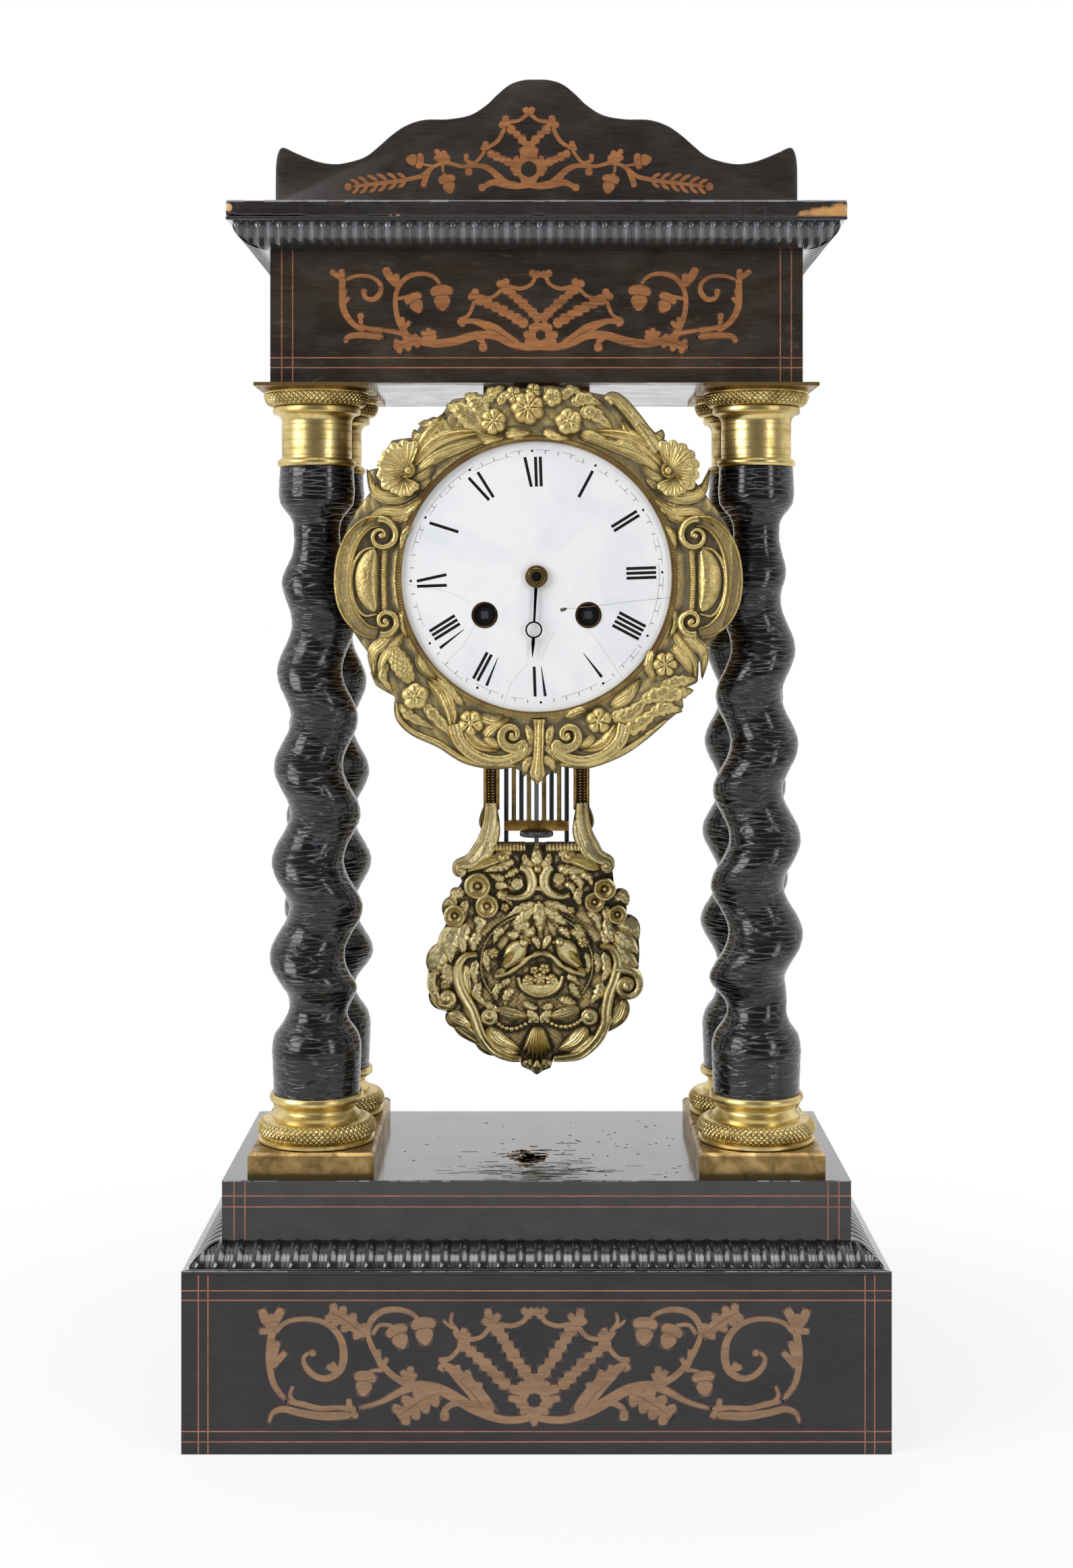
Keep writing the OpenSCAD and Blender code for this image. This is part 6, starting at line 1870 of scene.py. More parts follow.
def volute(x: float, y: float, across: float, down: float, first: float, sweep: float, last: float, steps: int,
           power: float = 1.0) -> list[Point]:
    """Wind a spiral inwards, in a drawing's units.

    Args:
        x: Middle across.
        y: Middle down.
        across: First radius across.
        down: First radius up.
        first: First direction in degrees.
        sweep: How many degrees it winds.
        last: Share of the radius that is left at its end.
        steps: How many spans it has.
        power: Below one it narrows early.

    Returns:
        Its points.
    """
    out = []
    for i in range(steps + 1):
        a, k = radians(first + sweep * i / steps), lerp(1, last, (i / steps) ** power)
        out.append((x + across * k * cos(a), y - down * k * sin(a)))
    return out


def foliage(work: Relief, draft: Drawing, rows: Sequence[Sequence[float]]) -> None:
    """Model leaves on a relief.

    Args:
        work: Relief to model on.
        draft: Drawing that gives their places.
        rows: For each leaf its half width, rise, lobes, ridges along it and then the drawing's numbers.
    """
    for half, rise, lobes, ridges, *flat in rows:
        work.leaf(draft.line(*flat), half, rise, lobes=lobes, ridges=ridges, veins=0.01 if ridges else 5,
                  cells=(24, 14 if ridges else 9))


@dataclass
class Bezel:
    """The gilt bezel round the dial."""
    centre: float = 311.7
    face: float = -38.0
    bore: float = 49.25
    draft: Drawing = Drawing(0.10186, 776.5, 733.3)
    outline: tuple[Point, ...] = (
        (-4, 69), (5, 70), (14, 68.5), (20, 67.5), (28, 66), (36, 57), (43, 53), (50, 48), (51.5, 41), (56, 42.5), (58, 35),
        (65, 26),
        (71, 17), (72.4, 3), (71, -10), (68, -19), (61, -28), (58.6, -34), (58.8, -39), (53, -41.5), (54, -48), (48, -53),
        (36, -61),
        (25, -67), (16, -69.4), (8, -69.4), (5, -72), (1, -75.5), (-4, -72), (-9, -69.8), (-20, -69.4), (-27, -67.4), (-36, -62.2),
        (-46, -57.2),
        (-51.6, -52.4), (-52, -44), (-59, -40), (-61, -35), (-59, -31), (-64, -25), (-69, -17), (-73, -7), (-73.8, 3), (-71, 14),
        (-66, 24), (-61, 31), (-61.8, 39), (-57, 40), (-56, 45), (-53, 50), (-45, 51), (-43, 55), (-35, 59), (-31, 65), (-20, 66),
        (-14, 68))

    def __post_init__(self) -> None:
        """Prepare the outline."""
        self.edge = polar(self.outline)

    def ground(self, u: float, v: float) -> float:
        """Give the height of the cast ground: a cavetto from the ring, a low swell and a rolled edge."""
        r, a = hypot(u, v), atan2(v, u)
        share = min(1.0, max(0.0, (r - 55.5) / max(1.0, self.edge(a) - 55.5)))
        inner = lookup(r, ((49.2, 1.1), (51.2, 1.2), (51.6, 1.0), (52.6, 0.3), (54.2, 0.0), (55.4, 0.35), (56.2, 0.5)))
        return inner + 0.8 * sin(pi * min(0.9, share)) ** 0.7 + 0.3 * share - 0.8 * smooth(0.92, 1.0, share)

    def flutes(self, u: float, v: float) -> float:
        """Give the slanting flutes chased into the bare ground."""
        r, a = hypot(u, v), atan2(v, u)
        return 0.5 * (abs(sin((r * 0.62 + abs(a - pi / 2) * 26) * 1.15)) ** 0.8 - 0.5) * smooth(55, 58, r)

    def build(self) -> None:
        """Cast the bezel."""
        work = Relief((0, self.face, self.centre), self.ground, 0.6)
        work.sheet(lambda a: self.edge(a) - 0.4, 5.0, self.bore, (30, 600), 1.25, self.flutes)
        for side in (1, -1):
            self.ear(work, self.draft if side > 0 else replace(self.draft, flip=-1, across=789.5))
        self.blossoms(work)
        self.crown(work)
        self.lower(work)
        work.finish("gilt_bezel_casting", "case", BEZEL_GILT, "gilt_bezel", ("bezel",), wear=1.5)
        self.ring()

    def ring(self) -> None:
        """Turn and mill the thin ring against the enamel."""
        clay = Clay()
        profile = [(self.bore, -1.0), (self.bore, 1.9), (49.4, 2.2),
                   (49.7, 2.25), (49.9, 2.05), (50.9, 2.0), (51.1, 2.15), (51.4, 2.1), (51.6, 1.7), (51.6, -1.0), (self.bore, -1.0)]

        def mill(r: float, h: float, a: float) -> Point:
            """Cut fine radial notches in the flat of the ring."""
            cut = 0.2 * (0.5 - abs(300 * a / tau % 1 - 0.5)) * 2 if 49.8 < r < 51 and h > 1.8 else 0.0
            return r, h - cut

        clay.lathe(profile, (0, self.face, self.centre), 1200, "Y", mill)
        clay.finish("milled_inner_ring", "case", RING_GILT, "gilt_bezel", crease=45)

    def ear(self, work: Relief, draft: Drawing) -> None:
        """Model one ear: a hollowed band between two volutes round a polished cabochon and a reeded strip."""
        line, at = draft.line, draft.at

        def band(s: float, t: float) -> float:
            """Give the band a rolled rim on each side of a hollow."""
            t *= draft.flip
            return 0.5 + 1.5 * exp(-((t - 0.8) / 0.22) ** 2) + 1.3 * exp(-((t + 0.82) / 0.18) ** 2) + 0.3 * t * t

        def cabochon(s: float, t: float) -> float:
            """Give the polished swelling, highest near the dial."""
            t = t * draft.flip - 0.4
            return 1.0 + 1.7 * (1 - (t / (0.6 if t > 0 else 1.4)) ** 2) * sin(pi * (0.06 + 0.88 * s)) ** 0.5

        work.strip(line(214, 536, 170, 545, 124, 590, 94, 660, 84, 745, 92, 820, 118, 880, 160, 922, 206, 936),
                   lambda s: 2.1 + 1.3 * sin(pi * s), band, (110, 20))
        work.strip(line(208, 628, 158, 640, 122, 690, 112, 755, 124, 824, 160, 872, 206, 868), lambda s: 0.4 + 0.6 * sin(pi * s),
                   lambda s, t: 0.5 + 1.3 * (1 - t * t) ** 0.6, (50, 8))
        work.strip(line(196, 634, 176, 690, 170, 745, 176, 800, 198, 858), lambda s: 0.3 + 3.9 * sin(pi * s) ** 0.5,
                   cabochon, (48, 24))
        work.strip(line(234, 640, 230, 745, 234, 852), lambda s: 1.25,
                   lambda s, t: 0.6 + 1.0 * (1 - t * t) ** 0.5 + 0.2 * cos(2 * pi * 24 * s), (120, 6))
        for x, y, r, first in ((222, 588, 62, 100), (236, 893, 50, 250)):
            hand = -1 if y < 700 else 1
            spin = volute(x, y, r, r, first, hand * 480, 0.16, 18, 0.9)
            work.strip([at(*p) for p in spin], taper(1.5, 0.6), lambda s, t: 0.9 + 1.5 * arch(t) + 0.5 * s, (80, 8))
            work.ball(at(x, y), 1.1, 2.2, 0.8)
        foliage(work, draft, (
            (2.3, 1.6, 0, 2, 352, 436, 262, 452, 200, 430, 168, 348), (2.2, 1.6, 0, 2, 372, 452, 300, 500, 220, 506, 150, 556),
            (1.9, 1.5, 0, 2, 330, 500, 280, 524, 232, 520),
            (1.5, 1.3, 0, 0, 330, 545, 300, 590, 290, 650), (1.9, 1.6, 0, 2, 300, 425, 230, 440, 196, 400),
            (2.4, 1.5, 0, 2, 270, 905, 230, 965, 190, 1010, 196, 1100),
            (1.9, 1.4, 0, 2, 300, 930, 262, 985, 226, 1040, 214, 1112), (1.3, 1.3, 0, 0, 296, 850, 290, 900, 316, 960)))

    def fan(self, work: Relief, draft: Drawing, spot: Sequence[float]) -> None:
        """Model a ribbed blossom that opens between two directions.

        Args:
            work: Relief to model on.
            draft: Drawing of this side.
            spot: Across, down, radius in millimetres, first and last direction in degrees, count of ribs and rise.
        """
        x, y, size, first, last, ribs, rise = spot

        def turn(a: float) -> float:
            """Give a direction in degrees as the drawing sees it."""
            return degrees(a if draft.flip > 0 else pi - a) % 360

        def edge(a: float) -> float:
            """Give the lip with a scallop for each second rib."""
            d = turn(a)
            inside = smooth(first - 12, first + 4, d) * smooth(last + 12, last - 4, d)
            return size * (0.3 + (0.62 + 0.1 * abs(cos(radians(d) * ribs / 4))) * inside)

        def form(s: float, a: float) -> float:
            """Give the trumpet's wall and its ribs."""
            wall = 0.9 + rise * (0.25 + 0.75 * s ** 1.3)
            return wall + 0.2 * cos(radians(turn(a)) * ribs) * min(1.0, 2 * s) - 0.9 * smooth(0.86, 1.0, s)

        work.disc(draft.at(x, y), edge, form, (10, 144))

    def blossoms(self, work: Relief) -> None:
        """Model the ribbed blossoms at both shoulders and the long leaves that run from them."""
        right = replace(self.draft, flip=-1, across=788.5)
        for draft in (self.draft, right):
            foliage(work, draft, (
                (3.0, 1.7, 0, 3, 318, 352, 400, 262, 480, 226, 596, 214), (2.4, 1.5, 0, 2, 330, 372, 420, 300, 520, 262, 640, 232),
                (2.5, 1.6, 0, 3, 330, 330, 372, 250, 420, 190, 448, 146),
                (2.0, 1.4, 0, 2, 322, 392, 372, 372, 412, 330), (2.2, 1.4, 0, 2, 380, 250, 350, 232, 338, 206),
                (1.6, 1.3, 0, 0, 352, 420, 372, 400, 402, 380)))
            for spot in ((312, 352, 10.8, 62, 232, 30, 1.9), (300, 384, 6.6, 176, 344, 22, 2.0)):
                self.fan(work, draft, spot)
            work.ball(draft.at(318, 356), 1.5, 1.6, 0.8)

    def crown(self, work: Relief) -> None:
        """Model the rosettes and the broad leaves along the top."""
        foliage(work, self.draft, (
            (4.2, 1.6, 5, 0, 596, 226, 520, 150, 452, 118), (3.9, 1.7, 5, 0, 600, 170, 560, 110, 520, 78),
            (3.0, 1.5, 4, 0, 470, 232, 420, 190, 352, 186), (2.6, 1.5, 3, 0, 590, 110, 620, 76, 664, 54),
            (2.2, 1.4, 0, 2, 560, 224, 610, 240, 664, 236), (2.3, 1.4, 0, 2, 660, 214, 710, 222, 760, 214),
            (2.2, 1.4, 0, 2, 800, 206, 842, 232, 900, 240), (3.2, 1.6, 4, 0, 930, 150, 980, 150, 1050, 206),
            (3.0, 1.6, 4, 0, 900, 120, 950, 96, 1012, 118), (2.4, 1.5, 3, 0, 860, 100, 900, 68, 940, 74),
            (2.3, 1.4, 0, 2, 930, 224, 990, 236, 1050, 270), (2.0, 1.5, 0, 0, 640, 120, 660, 90, 700, 62),
            (2.0, 1.5, 0, 0, 800, 120, 820, 84, 800, 52), (2.2, 1.5, 0, 2, 1050, 260, 1110, 262, 1170, 320),
            (2.6, 1.6, 0, 3, 1180, 330, 1120, 250, 1080, 170)))
        for x, y, r, petals, rise in ((622, 178, 50, 6, 1.9), (745, 130, 64, 7, 2.3), (892, 178, 52, 5, 2.0), (694, 84, 34, 5, 1.8),
                                      (834, 92, 38, 5, 1.8), (765, 70, 30, 5, 1.6)):
            work.flower(self.draft.at(x, y), r * self.draft.unit, petals, rise, 0.24, x)
        work.strip(self.draft.line(1210, 286, 1168, 222, 1122, 160, 1080, 112, 1048, 94, 1030, 110), taper(2.6, 2.3),
                   lambda s, t: 0.8 + 1.9 * cos(1.3 * t) + 0.5 * exp(-((abs(t) - 0.85) / 0.12) ** 2) + 0.8 * smooth(0.75, 1, s),
                   (44, 12))

    def lower(self, work: Relief) -> None:
        """Model the cone, flowers, leaves, volutes, palmette and rolled edges of the lower half."""
        line, at = self.draft.line, self.draft.at
        foliage(work, self.draft, (
            (3.0, 1.6, 0, 3, 388, 1100, 440, 1150, 470, 1220, 476, 1300), (2.6, 1.5, 4, 0, 372, 1190, 420, 1240, 500, 1330),
            (2.3, 1.4, 3, 0, 420, 1080, 470, 1150, 520, 1200), (2.4, 1.5, 4, 0, 280, 1190, 330, 1236, 412, 1276),
            (2.0, 1.4, 3, 0, 246, 1042, 226, 1090, 262, 1150), (2.0, 1.4, 0, 2, 350, 1010, 372, 1060, 420, 1104),
            (2.2, 1.4, 0, 2, 560, 1230, 620, 1250, 660, 1232), (2.3, 1.5, 0, 2, 590, 1310, 620, 1276, 690, 1240),
            (3.4, 1.6, 5, 0, 1040, 1232, 1110, 1226, 1180, 1160), (3.2, 1.6, 5, 0, 1070, 1296, 1150, 1256, 1222, 1200),
            (3.1, 1.6, 4, 0, 1150, 1176, 1220, 1150, 1300, 1122), (3.0, 1.6, 4, 0, 1180, 1226, 1240, 1204, 1300, 1216),
            (3.0, 1.6, 5, 0, 1200, 1172, 1280, 1152, 1340, 1140), (2.6, 1.5, 4, 0, 1220, 1120, 1290, 1108, 1350, 1100),
            (2.4, 1.5, 0, 2, 1040, 1200, 1100, 1160, 1150, 1096), (2.3, 1.5, 0, 2, 1260, 980, 1310, 1030, 1336, 1090),
            (2.2, 1.4, 0, 2, 1190, 990, 1180, 1050, 1200, 1110), (2.0, 1.4, 0, 2, 880, 1240, 930, 1212, 960, 1220)))
        for x, y, r, petals, rise, turn in ((342, 1162, 52, 5, 2.0, 20), (541, 1258, 50, 5, 2.2, 54), (1000, 1250, 50, 5, 2.2, 18),
                                            (1238, 1048, 48, 6, 1.9, 0)):
            work.flower(at(x, y), r * self.draft.unit, petals, rise, 0.24, turn)
        self.cone(work, line(258, 984, 290, 1044, 330, 1112), 4.0)
        for x, side in ((688, 1), (888, -1)):
            spin = volute(x, 1300, side * 54, 54, -40, -468, 0.14, 15, 0.85)
            arm = [(x - side * 204, 1262), (x - side * 186, 1322), (x - side * 128, 1376), (x - side * 50, 1396),
                   (x + side * 24, 1372)]
            work.strip([at(*p) for p in arm + spin], lambda s: lerp(2.9, 0.8, s ** 0.8), lambda s, t: 0.6 + 1.9 * arch(t)
                       - 0.9 * exp(-(t / 0.42) ** 2) * (1 - s), (110, 12))
            work.ball(at(x, 1300), 1.0, 1.9, 0.8)
            draft = self.draft if side > 0 else replace(self.draft, flip=-1, across=799.5)
            foliage(work, draft, ((2.5, 1.6, 0, 3, 512, 1262, 560, 1330, 650, 1356),
                                  (1.9, 1.4, 0, 2, 590, 1300, 620, 1330, 676, 1338),
                                  (1.8, 1.4, 0, 0, 742, 1262, 756, 1310, 752, 1360)))
        work.strip(line(786, 1244, 786, 1300, 784, 1360, 780, 1425, 778, 1474),
                   tabled(((0, 2.6), (0.12, 2.0), (0.6, 2.1), (0.8, 3.2), (0.93, 2.0), (1, 0.3))),
                   lambda s, t: 0.8 + 2.0 * (1 - t * t) ** 0.5 * (0.7 + 0.3 * s) - 0.6 * exp(-((abs(t) - 0.45) / 0.16) ** 2),
                   (48, 14))
        foliage(work, self.draft, ((2.1, 1.7, 0, 0, 772, 1384, 742, 1402, 732, 1450),
                                   (2.1, 1.7, 0, 0, 790, 1384, 824, 1396, 848, 1440),
                                   (1.6, 1.5, 0, 0, 768, 1340, 744, 1360, 716, 1404),
                                   (1.6, 1.5, 0, 0, 798, 1340, 826, 1358, 856, 1400)))
        for flat in ((272, 1180, 284, 1240, 335, 1290, 430, 1334, 520, 1390, 620, 1412, 700, 1410),
                     (1240, 1248, 1150, 1318, 1070, 1368, 960, 1408, 860, 1406)):
            work.strip(line(*flat), lambda s: 0.5 + 0.9 * sin(pi * s) ** 0.5, arched(0.4, 1.3), (60, 6))

    @staticmethod
    def cone(work: Relief, path: Sequence[Point], half: float) -> None:
        """Model a pine cone: an egg covered with scales."""
        def form(s: float, t: float) -> float:
            """Give the height of a scale."""
            scale = abs(sin(pi * (5 * s + 2.2 * t))) * abs(sin(pi * (5 * s - 2.2 * t)))
            return 0.4 + 2.0 * arch(t) * sin(pi * (0.08 + 0.84 * s)) ** 0.5 + 0.5 * scale

        work.strip(path, lambda s: half * sin(pi * (0.06 + 0.88 * s)) ** 0.6, form, (40, 20))


# Pendulum: gridiron, strips and the chased bob

@dataclass
class Pendulum:
    """The gridiron pendulum: steel and brass rods between a yoke and a crosspiece, side strips and the bob."""
    depth: float = 45.0
    yoke: tuple[float, float] = (245.7, 249.7)
    crosspiece: tuple[float, float] = (210.5, 214.5)
    pitch: float = 3.04
    rod: float = 0.9
    strip: tuple[float, float] = (14.9, 21.3)
    cords: tuple[float, float] = (218.0, 246.0)
    outer_foot: float = 205.6
    middle: float = 157.0
    front: float = 42.0
    draft: Drawing = Drawing(0.076254, 725, 811.1)
    outline: tuple[Point, ...] = (
        (0, 48), (21, 48), (24, 46), (25.5, 43), (30.5, 40), (31.5, 29.5), (36.6, 25), (36.6, 19), (41, 15), (41.7, 9), (41.6, 0),
        (41, -5),
        (39, -11), (34.5, -14), (33, -20), (28, -27), (22, -34), (16, -37), (7, -38), (5.7, -42), (0.4, -44), (-6, -41.5),
        (-7, -38),
        (-15.6, -36), (-23, -31), (-30, -26), (-36, -21), (-37, -18), (-41.6, -13), (-42.7, -3), (-41, 7), (-37, 16), (-36.6, 22),
        (-34, 27.5), (-30, 34), (-32, 37), (-29, 40), (-26, 43), (-22, 48))

    def __post_init__(self) -> None:
        """Prepare the outline."""
        self.edge = polar(self.outline)

    def ground(self, u: float, v: float) -> float:
        """Give the height of the stamped ground: a low dome."""
        r, outer = hypot(u, v), self.edge(atan2(v, u))
        share = min(1.0, r / outer)
        return 2.2 * (1 - share ** 2.4) + 0.3 - 0.8 * smooth(0.93, 1.0, share)

    def rays(self, u: float, v: float) -> float:
        """Give the chiselled rays and punch marks of the bare ground."""
        ray = abs(sin(17 * atan2(u, 27 - v))) ** 0.7 * min(1.0, hypot(u, 27 - v) / 12)
        return 0.6 * ray - 0.4 + 0.15 * sin(2.9 * u) * sin(3.1 * v)

    def build(self) -> None:
        """Make the pendulum."""
        self.rods()
        self.frame()
        self.bob()
        self.nut()

    def rods(self) -> None:
        """Draw the rods, steel and brass by turns, between the yoke and the crosspiece."""
        for name, finish, steps in (("steel_rods", ROD_STEEL, (2, 4)), ("brass_rods", ROD_BRASS, (1, 3))):
            clay = Clay()
            for step in steps:
                low = self.outer_foot if step == 4 else self.crosspiece[0] + 1
                for side in (-1, 1):
                    clay.lathe([(0, 0), (self.rod - 0.1, 0), (self.rod, 0.1), (self.rod, self.yoke[0] + 1 - low),
                                (0, self.yoke[0] + 1 - low)],
                               (side * step * self.pitch, self.depth, low), 24)
            clay.finish(name, "bob", finish, "steel" if finish is ROD_STEEL else "wheel_brass")

    def frame(self) -> None:
        """Make the yoke, the crosspiece and the two side strips with their rope work and leaf curls."""
        clay = Clay()
        clay.block((-21.5, 43, self.yoke[0]), (21.5, 47, self.yoke[1]), 0.4)
        clay.block((-21.5, 43.2, 200.2), (21.5, 46.8, 205.8), 0.5)
        clay.finish("yoke_and_shoulder", "bob", ROD_BRASS, "wheel_brass", ("gridiron",))
        clay = Clay()
        clay.block((-13.05, 43.2, self.crosspiece[0]), (13.05, 46.8, self.crosspiece[1]), 0.35)
        for step in range(-3, 4):
            if step:
                clay.lathe([(0, 0), (1.25, 0), (1.25, 0.35), (1.0, 0.55), (0, 0.55)],
                           (step * self.pitch, self.depth, self.crosspiece[1] - 0.1), 20)
        clay.finish("crosspiece", "bob", CROSS_BRASS, "wheel_brass")
        work = Relief((0, 44.0, 0), flat_ground, 2.0)
        inner, outer = self.strip
        for side in (-1, 1):
            for x0, x1, rise in ((inner, outer, 0.5), (inner, inner + 1.5, 1.2), (outer - 1.4, outer, 1.2)):
                work.strip([(side * (x0 + x1) / 2, 247), (side * (x0 + x1) / 2, 219)], lambda s, w=(x1 - x0) / 2: w,
                           lambda s, t, h=rise: h * (0.4 + 0.6 * arch(t)), (12, 6))
            self.rope(work, side * (inner + 2.75), 1.0)
            self.rope(work, side * (inner + 4.4), 0.8)
            for path, half in (([(18.2, 221), (18.4, 214), (19.6, 208), (23, 203)], 3.4),
                               ([(16.2, 219), (15.9, 213), (17.4, 208.5), (20, 206)], 1.2),
                               ([(20.8, 220), (21.6, 214.5), (21.0, 211)], 1.5),
                               ([(17.8, 215.5), (16.4, 212.4), (17.6, 210.4), (19, 211.5)], 0.9)):
                work.strip([(side * x, z) for x, z in path], lambda s, h=half: h * sin(pi * (0.06 + 0.8 * s)) ** 0.6,
                           lambda s, t: 0.9 + 0.9 * arch(t) + 0.14 * cos(11 * t), (30, 14))
            work.ball((side * 18.0, 212.3), 0.9, 1.7)
            work.ball((side * 19.9, 216.8), 0.8, 1.6)
        work.finish("side_strips", "bob", STRIP_GILT, "gilt_bob", wear=0.9)

    def rope(self, work: Relief, x: float, radius: float, turn: float = 1.15) -> None:
        """Lay a twisted cord as a row of slanting lozenges, one for each turn of some height."""
        low, high = self.cords
        for i in range(int((high - low) / turn)):
            z = low + turn * (i + 0.5)
            work.strip([(x - radius * 0.8, z - 0.42), (x + radius * 0.8, z + 0.42)],
                       lambda s: 0.5 * sin(pi * (0.1 + 0.8 * s)) ** 0.5,
                       lambda s, t: 0.6 + 0.9 * arch(t) * sin(pi * (0.1 + 0.8 * s)), (4, 3))

    def bob(self) -> None:
        """Chase the bob: a domed plate, its flowers, scrolls and medallion, and a plain turned back."""
        work = Relief((0, self.front, self.middle), self.ground, 0.6)
        work.sheet(lambda a: self.edge(a) - 0.6, 2.2, 0.0, (60, 420), grain=self.rays)
        self.shoulders(work)
        self.flowers(work)
        self.medallion(work)
        self.border(work)
        work.finish("chased_bob", "bob", BOB_GILT, "gilt_bob", ("pendulum_bob",), wear=1.2)
        back = Clay()
        back.lathe([(0, 4.6), (30, 4.4), (34, 3.4), (35.2, 2.0), (35.2, 0.6), (0, 0.6)][::-1], (0, 44.0, self.middle), 128, "Y",
                   lambda r, h, a: (r, -h))
        back.finish("bob_back", "bob", DRUM_BRASS, "gilt_bob", crease=30)

    def shoulders(self, work: Relief) -> None:
        """Chase the ribbed bars, the tulip, the two C-scrolls under it and the flared shoulders."""
        line, at = self.draft.line, self.draft.at
        for first, last in ((500, 664), (776, 950)):
            work.strip(line(first, 190, last, 190), lambda s: 1.9, lambda s, t: 1.0 + 1.3 * arch(t) + 0.35 * cos(2 * pi * 9 * s),
                       (72, 8))
        foliage(work, self.draft, (
            (2.6, 2.6, 0, 0, 727, 306, 727, 240, 727, 164), (2.3, 2.3, 0, 0, 722, 300, 676, 272, 656, 214),
            (2.3, 2.3, 0, 0, 732, 300, 780, 272, 796, 208),
            (2.6, 1.9, 0, 3, 560, 246, 470, 262, 400, 288, 336, 330), (2.0, 1.8, 4, 0, 590, 292, 520, 300, 440, 320),
            (1.7, 1.9, 3, 0, 640, 300, 590, 330, 548, 352),
            (2.0, 1.6, 3, 0, 600, 228, 560, 210, 500, 226), (1.8, 1.6, 0, 0, 610, 262, 570, 276, 520, 270),
            (2.0, 1.8, 3, 0, 560, 360, 520, 350, 470, 330),
            (2.6, 1.9, 0, 3, 880, 250, 960, 262, 1020, 290, 1080, 300), (2.4, 1.9, 4, 0, 830, 296, 900, 312, 1000, 320),
            (2.2, 1.9, 4, 0, 900, 330, 950, 370, 956, 430),
            (1.8, 1.7, 3, 0, 840, 240, 880, 212, 940, 214), (1.8, 1.8, 3, 0, 870, 380, 910, 400, 920, 450),
            (2.0, 1.7, 3, 0, 950, 330, 1000, 350, 1020, 400)))
        work.ball(at(731, 303), 1.5, 2.8)
        for flat in ((640, 292, 676, 306, 698, 345, 702, 392, 682, 432, 630, 454, 568, 450),
                     (806, 292, 782, 310, 766, 345, 768, 395, 796, 430, 850, 448, 900, 440)):
            work.strip(line(*flat), lambda s: 1.1 + 1.1 * sin(pi * min(1, 0.15 + s)), arched(1.7, 1.5), (60, 8))
        for x, y in ((624, 384), (842, 356)):
            work.disc(at(x, y), lambda a: 3.7, lambda s, a: -0.9 + 1.5 * s ** 4, (5, 24), skirt=1.5)
            work.flower(at(x, y), 2.4, 5, 0.3, 0.3, x)
        work.strip(line(727, 318, 727, 395), lambda s: 1.3, lambda s, t: 1.0 + 1.2 * abs(t) ** 2, (16, 6))
        work.strip(line(680, 420, 727, 404, 776, 414), lambda s: 1.1, arched(1.6, 1.2), (24, 6))
        for side, cx, cy, arm in ((-1, 326, 313, ((488, -40), (486, 20), (478, 90), (458, 160), (424, 220), (380, 262))),
                                  (1, 1092, 290, ((962, -40), (964, 20), (970, 80), (986, 140), (1016, 200), (1050, 240)))):
            spin = volute(cx, cy, side * 28, -28, -70, 430, 0.3, 12)
            work.strip([at(*p) for p in [*arm, *spin]], tabled(((0, 2.4), (0.12, 3.2), (0.22, 3.6), (0.3, 2.6), (0.42, 1.5),
                                                                (1, 0.6))),
                       lambda s, t: 1.2 + 1.3 * arch(t) - 0.5 * exp(-((t * side - 0.35) / 0.3) ** 2), (90, 14))
            work.ball(at(cx, cy), 1.1, 1.9)
            edge = [(x - side * 30, y + 24) for x, y in arm[1:]]
            work.leaf([at(*p) for p in edge], 2.1, 1.6, veins=7, low=1.0, cells=(30, 8))
        for x, y in ((543, 245), (890, 238)):
            work.disc(at(x, y), lambda a: 2.9, lambda s, a: 1.7 - 0.9 * s, (3, 24))
            work.ball(at(x, y), 1.7, 2.0, 0.9)

    def flowers(self, work: Relief) -> None:
        """Chase the trumpet blossoms and the leaves down both sides."""
        foliage(work, self.draft, (
            (4.4, 2.0, 0, 0, 306, 606, 262, 700, 276, 800), (4.2, 2.0, 0, 0, 250, 700, 196, 790, 190, 884),
            (3.2, 1.6, 3, 0, 356, 590, 330, 670, 344, 760), (3.4, 1.7, 3, 0, 250, 800, 262, 880, 226, 950),
            (2.6, 1.5, 0, 0, 310, 470, 262, 500, 240, 560), (2.6, 1.5, 3, 0, 350, 430, 300, 440, 272, 500),
            (3.4, 2.0, 0, 0, 1140, 584, 1220, 600, 1264, 676), (3.4, 2.0, 0, 0, 1140, 634, 1200, 690, 1262, 752),
            (3.6, 2.0, 0, 0, 1130, 690, 1190, 770, 1264, 822), (2.8, 1.6, 3, 0, 1090, 560, 1110, 640, 1130, 700),
            (2.6, 1.6, 0, 0, 1130, 440, 1180, 450, 1206, 500), (2.2, 1.4, 0, 0, 1080, 500, 1096, 540, 1090, 600),
            (2.6, 1.5, 3, 0, 400, 556, 430, 590, 410, 660), (2.3, 1.5, 3, 0, 510, 440, 560, 450, 600, 500),
            (2.2, 1.5, 3, 0, 990, 530, 1040, 560, 1060, 640), (2.4, 1.4, 3, 0, 430, 640, 396, 690, 396, 750),
            (2.0, 1.5, 0, 0, 506, 400, 540, 390, 580, 400), (2.3, 1.6, 3, 0, 960, 400, 940, 450, 960, 500),
            (2.0, 1.4, 3, 0, 1070, 620, 1090, 680, 1070, 740), (2.0, 1.4, 0, 0, 360, 470, 340, 520, 350, 580)))
        for x, y, r, rise in ((415, 395, 70, 2.7), (465, 500, 62, 2.5), (295, 552, 58, 2.4), (1083, 412, 60, 2.8),
                              (1030, 478, 54, 2.3), (1150, 545, 50, 2.4)):
            work.cup(self.draft.at(x, y), r * self.draft.unit, rise, (0.06 if x < 700 else -0.06, 0.03))

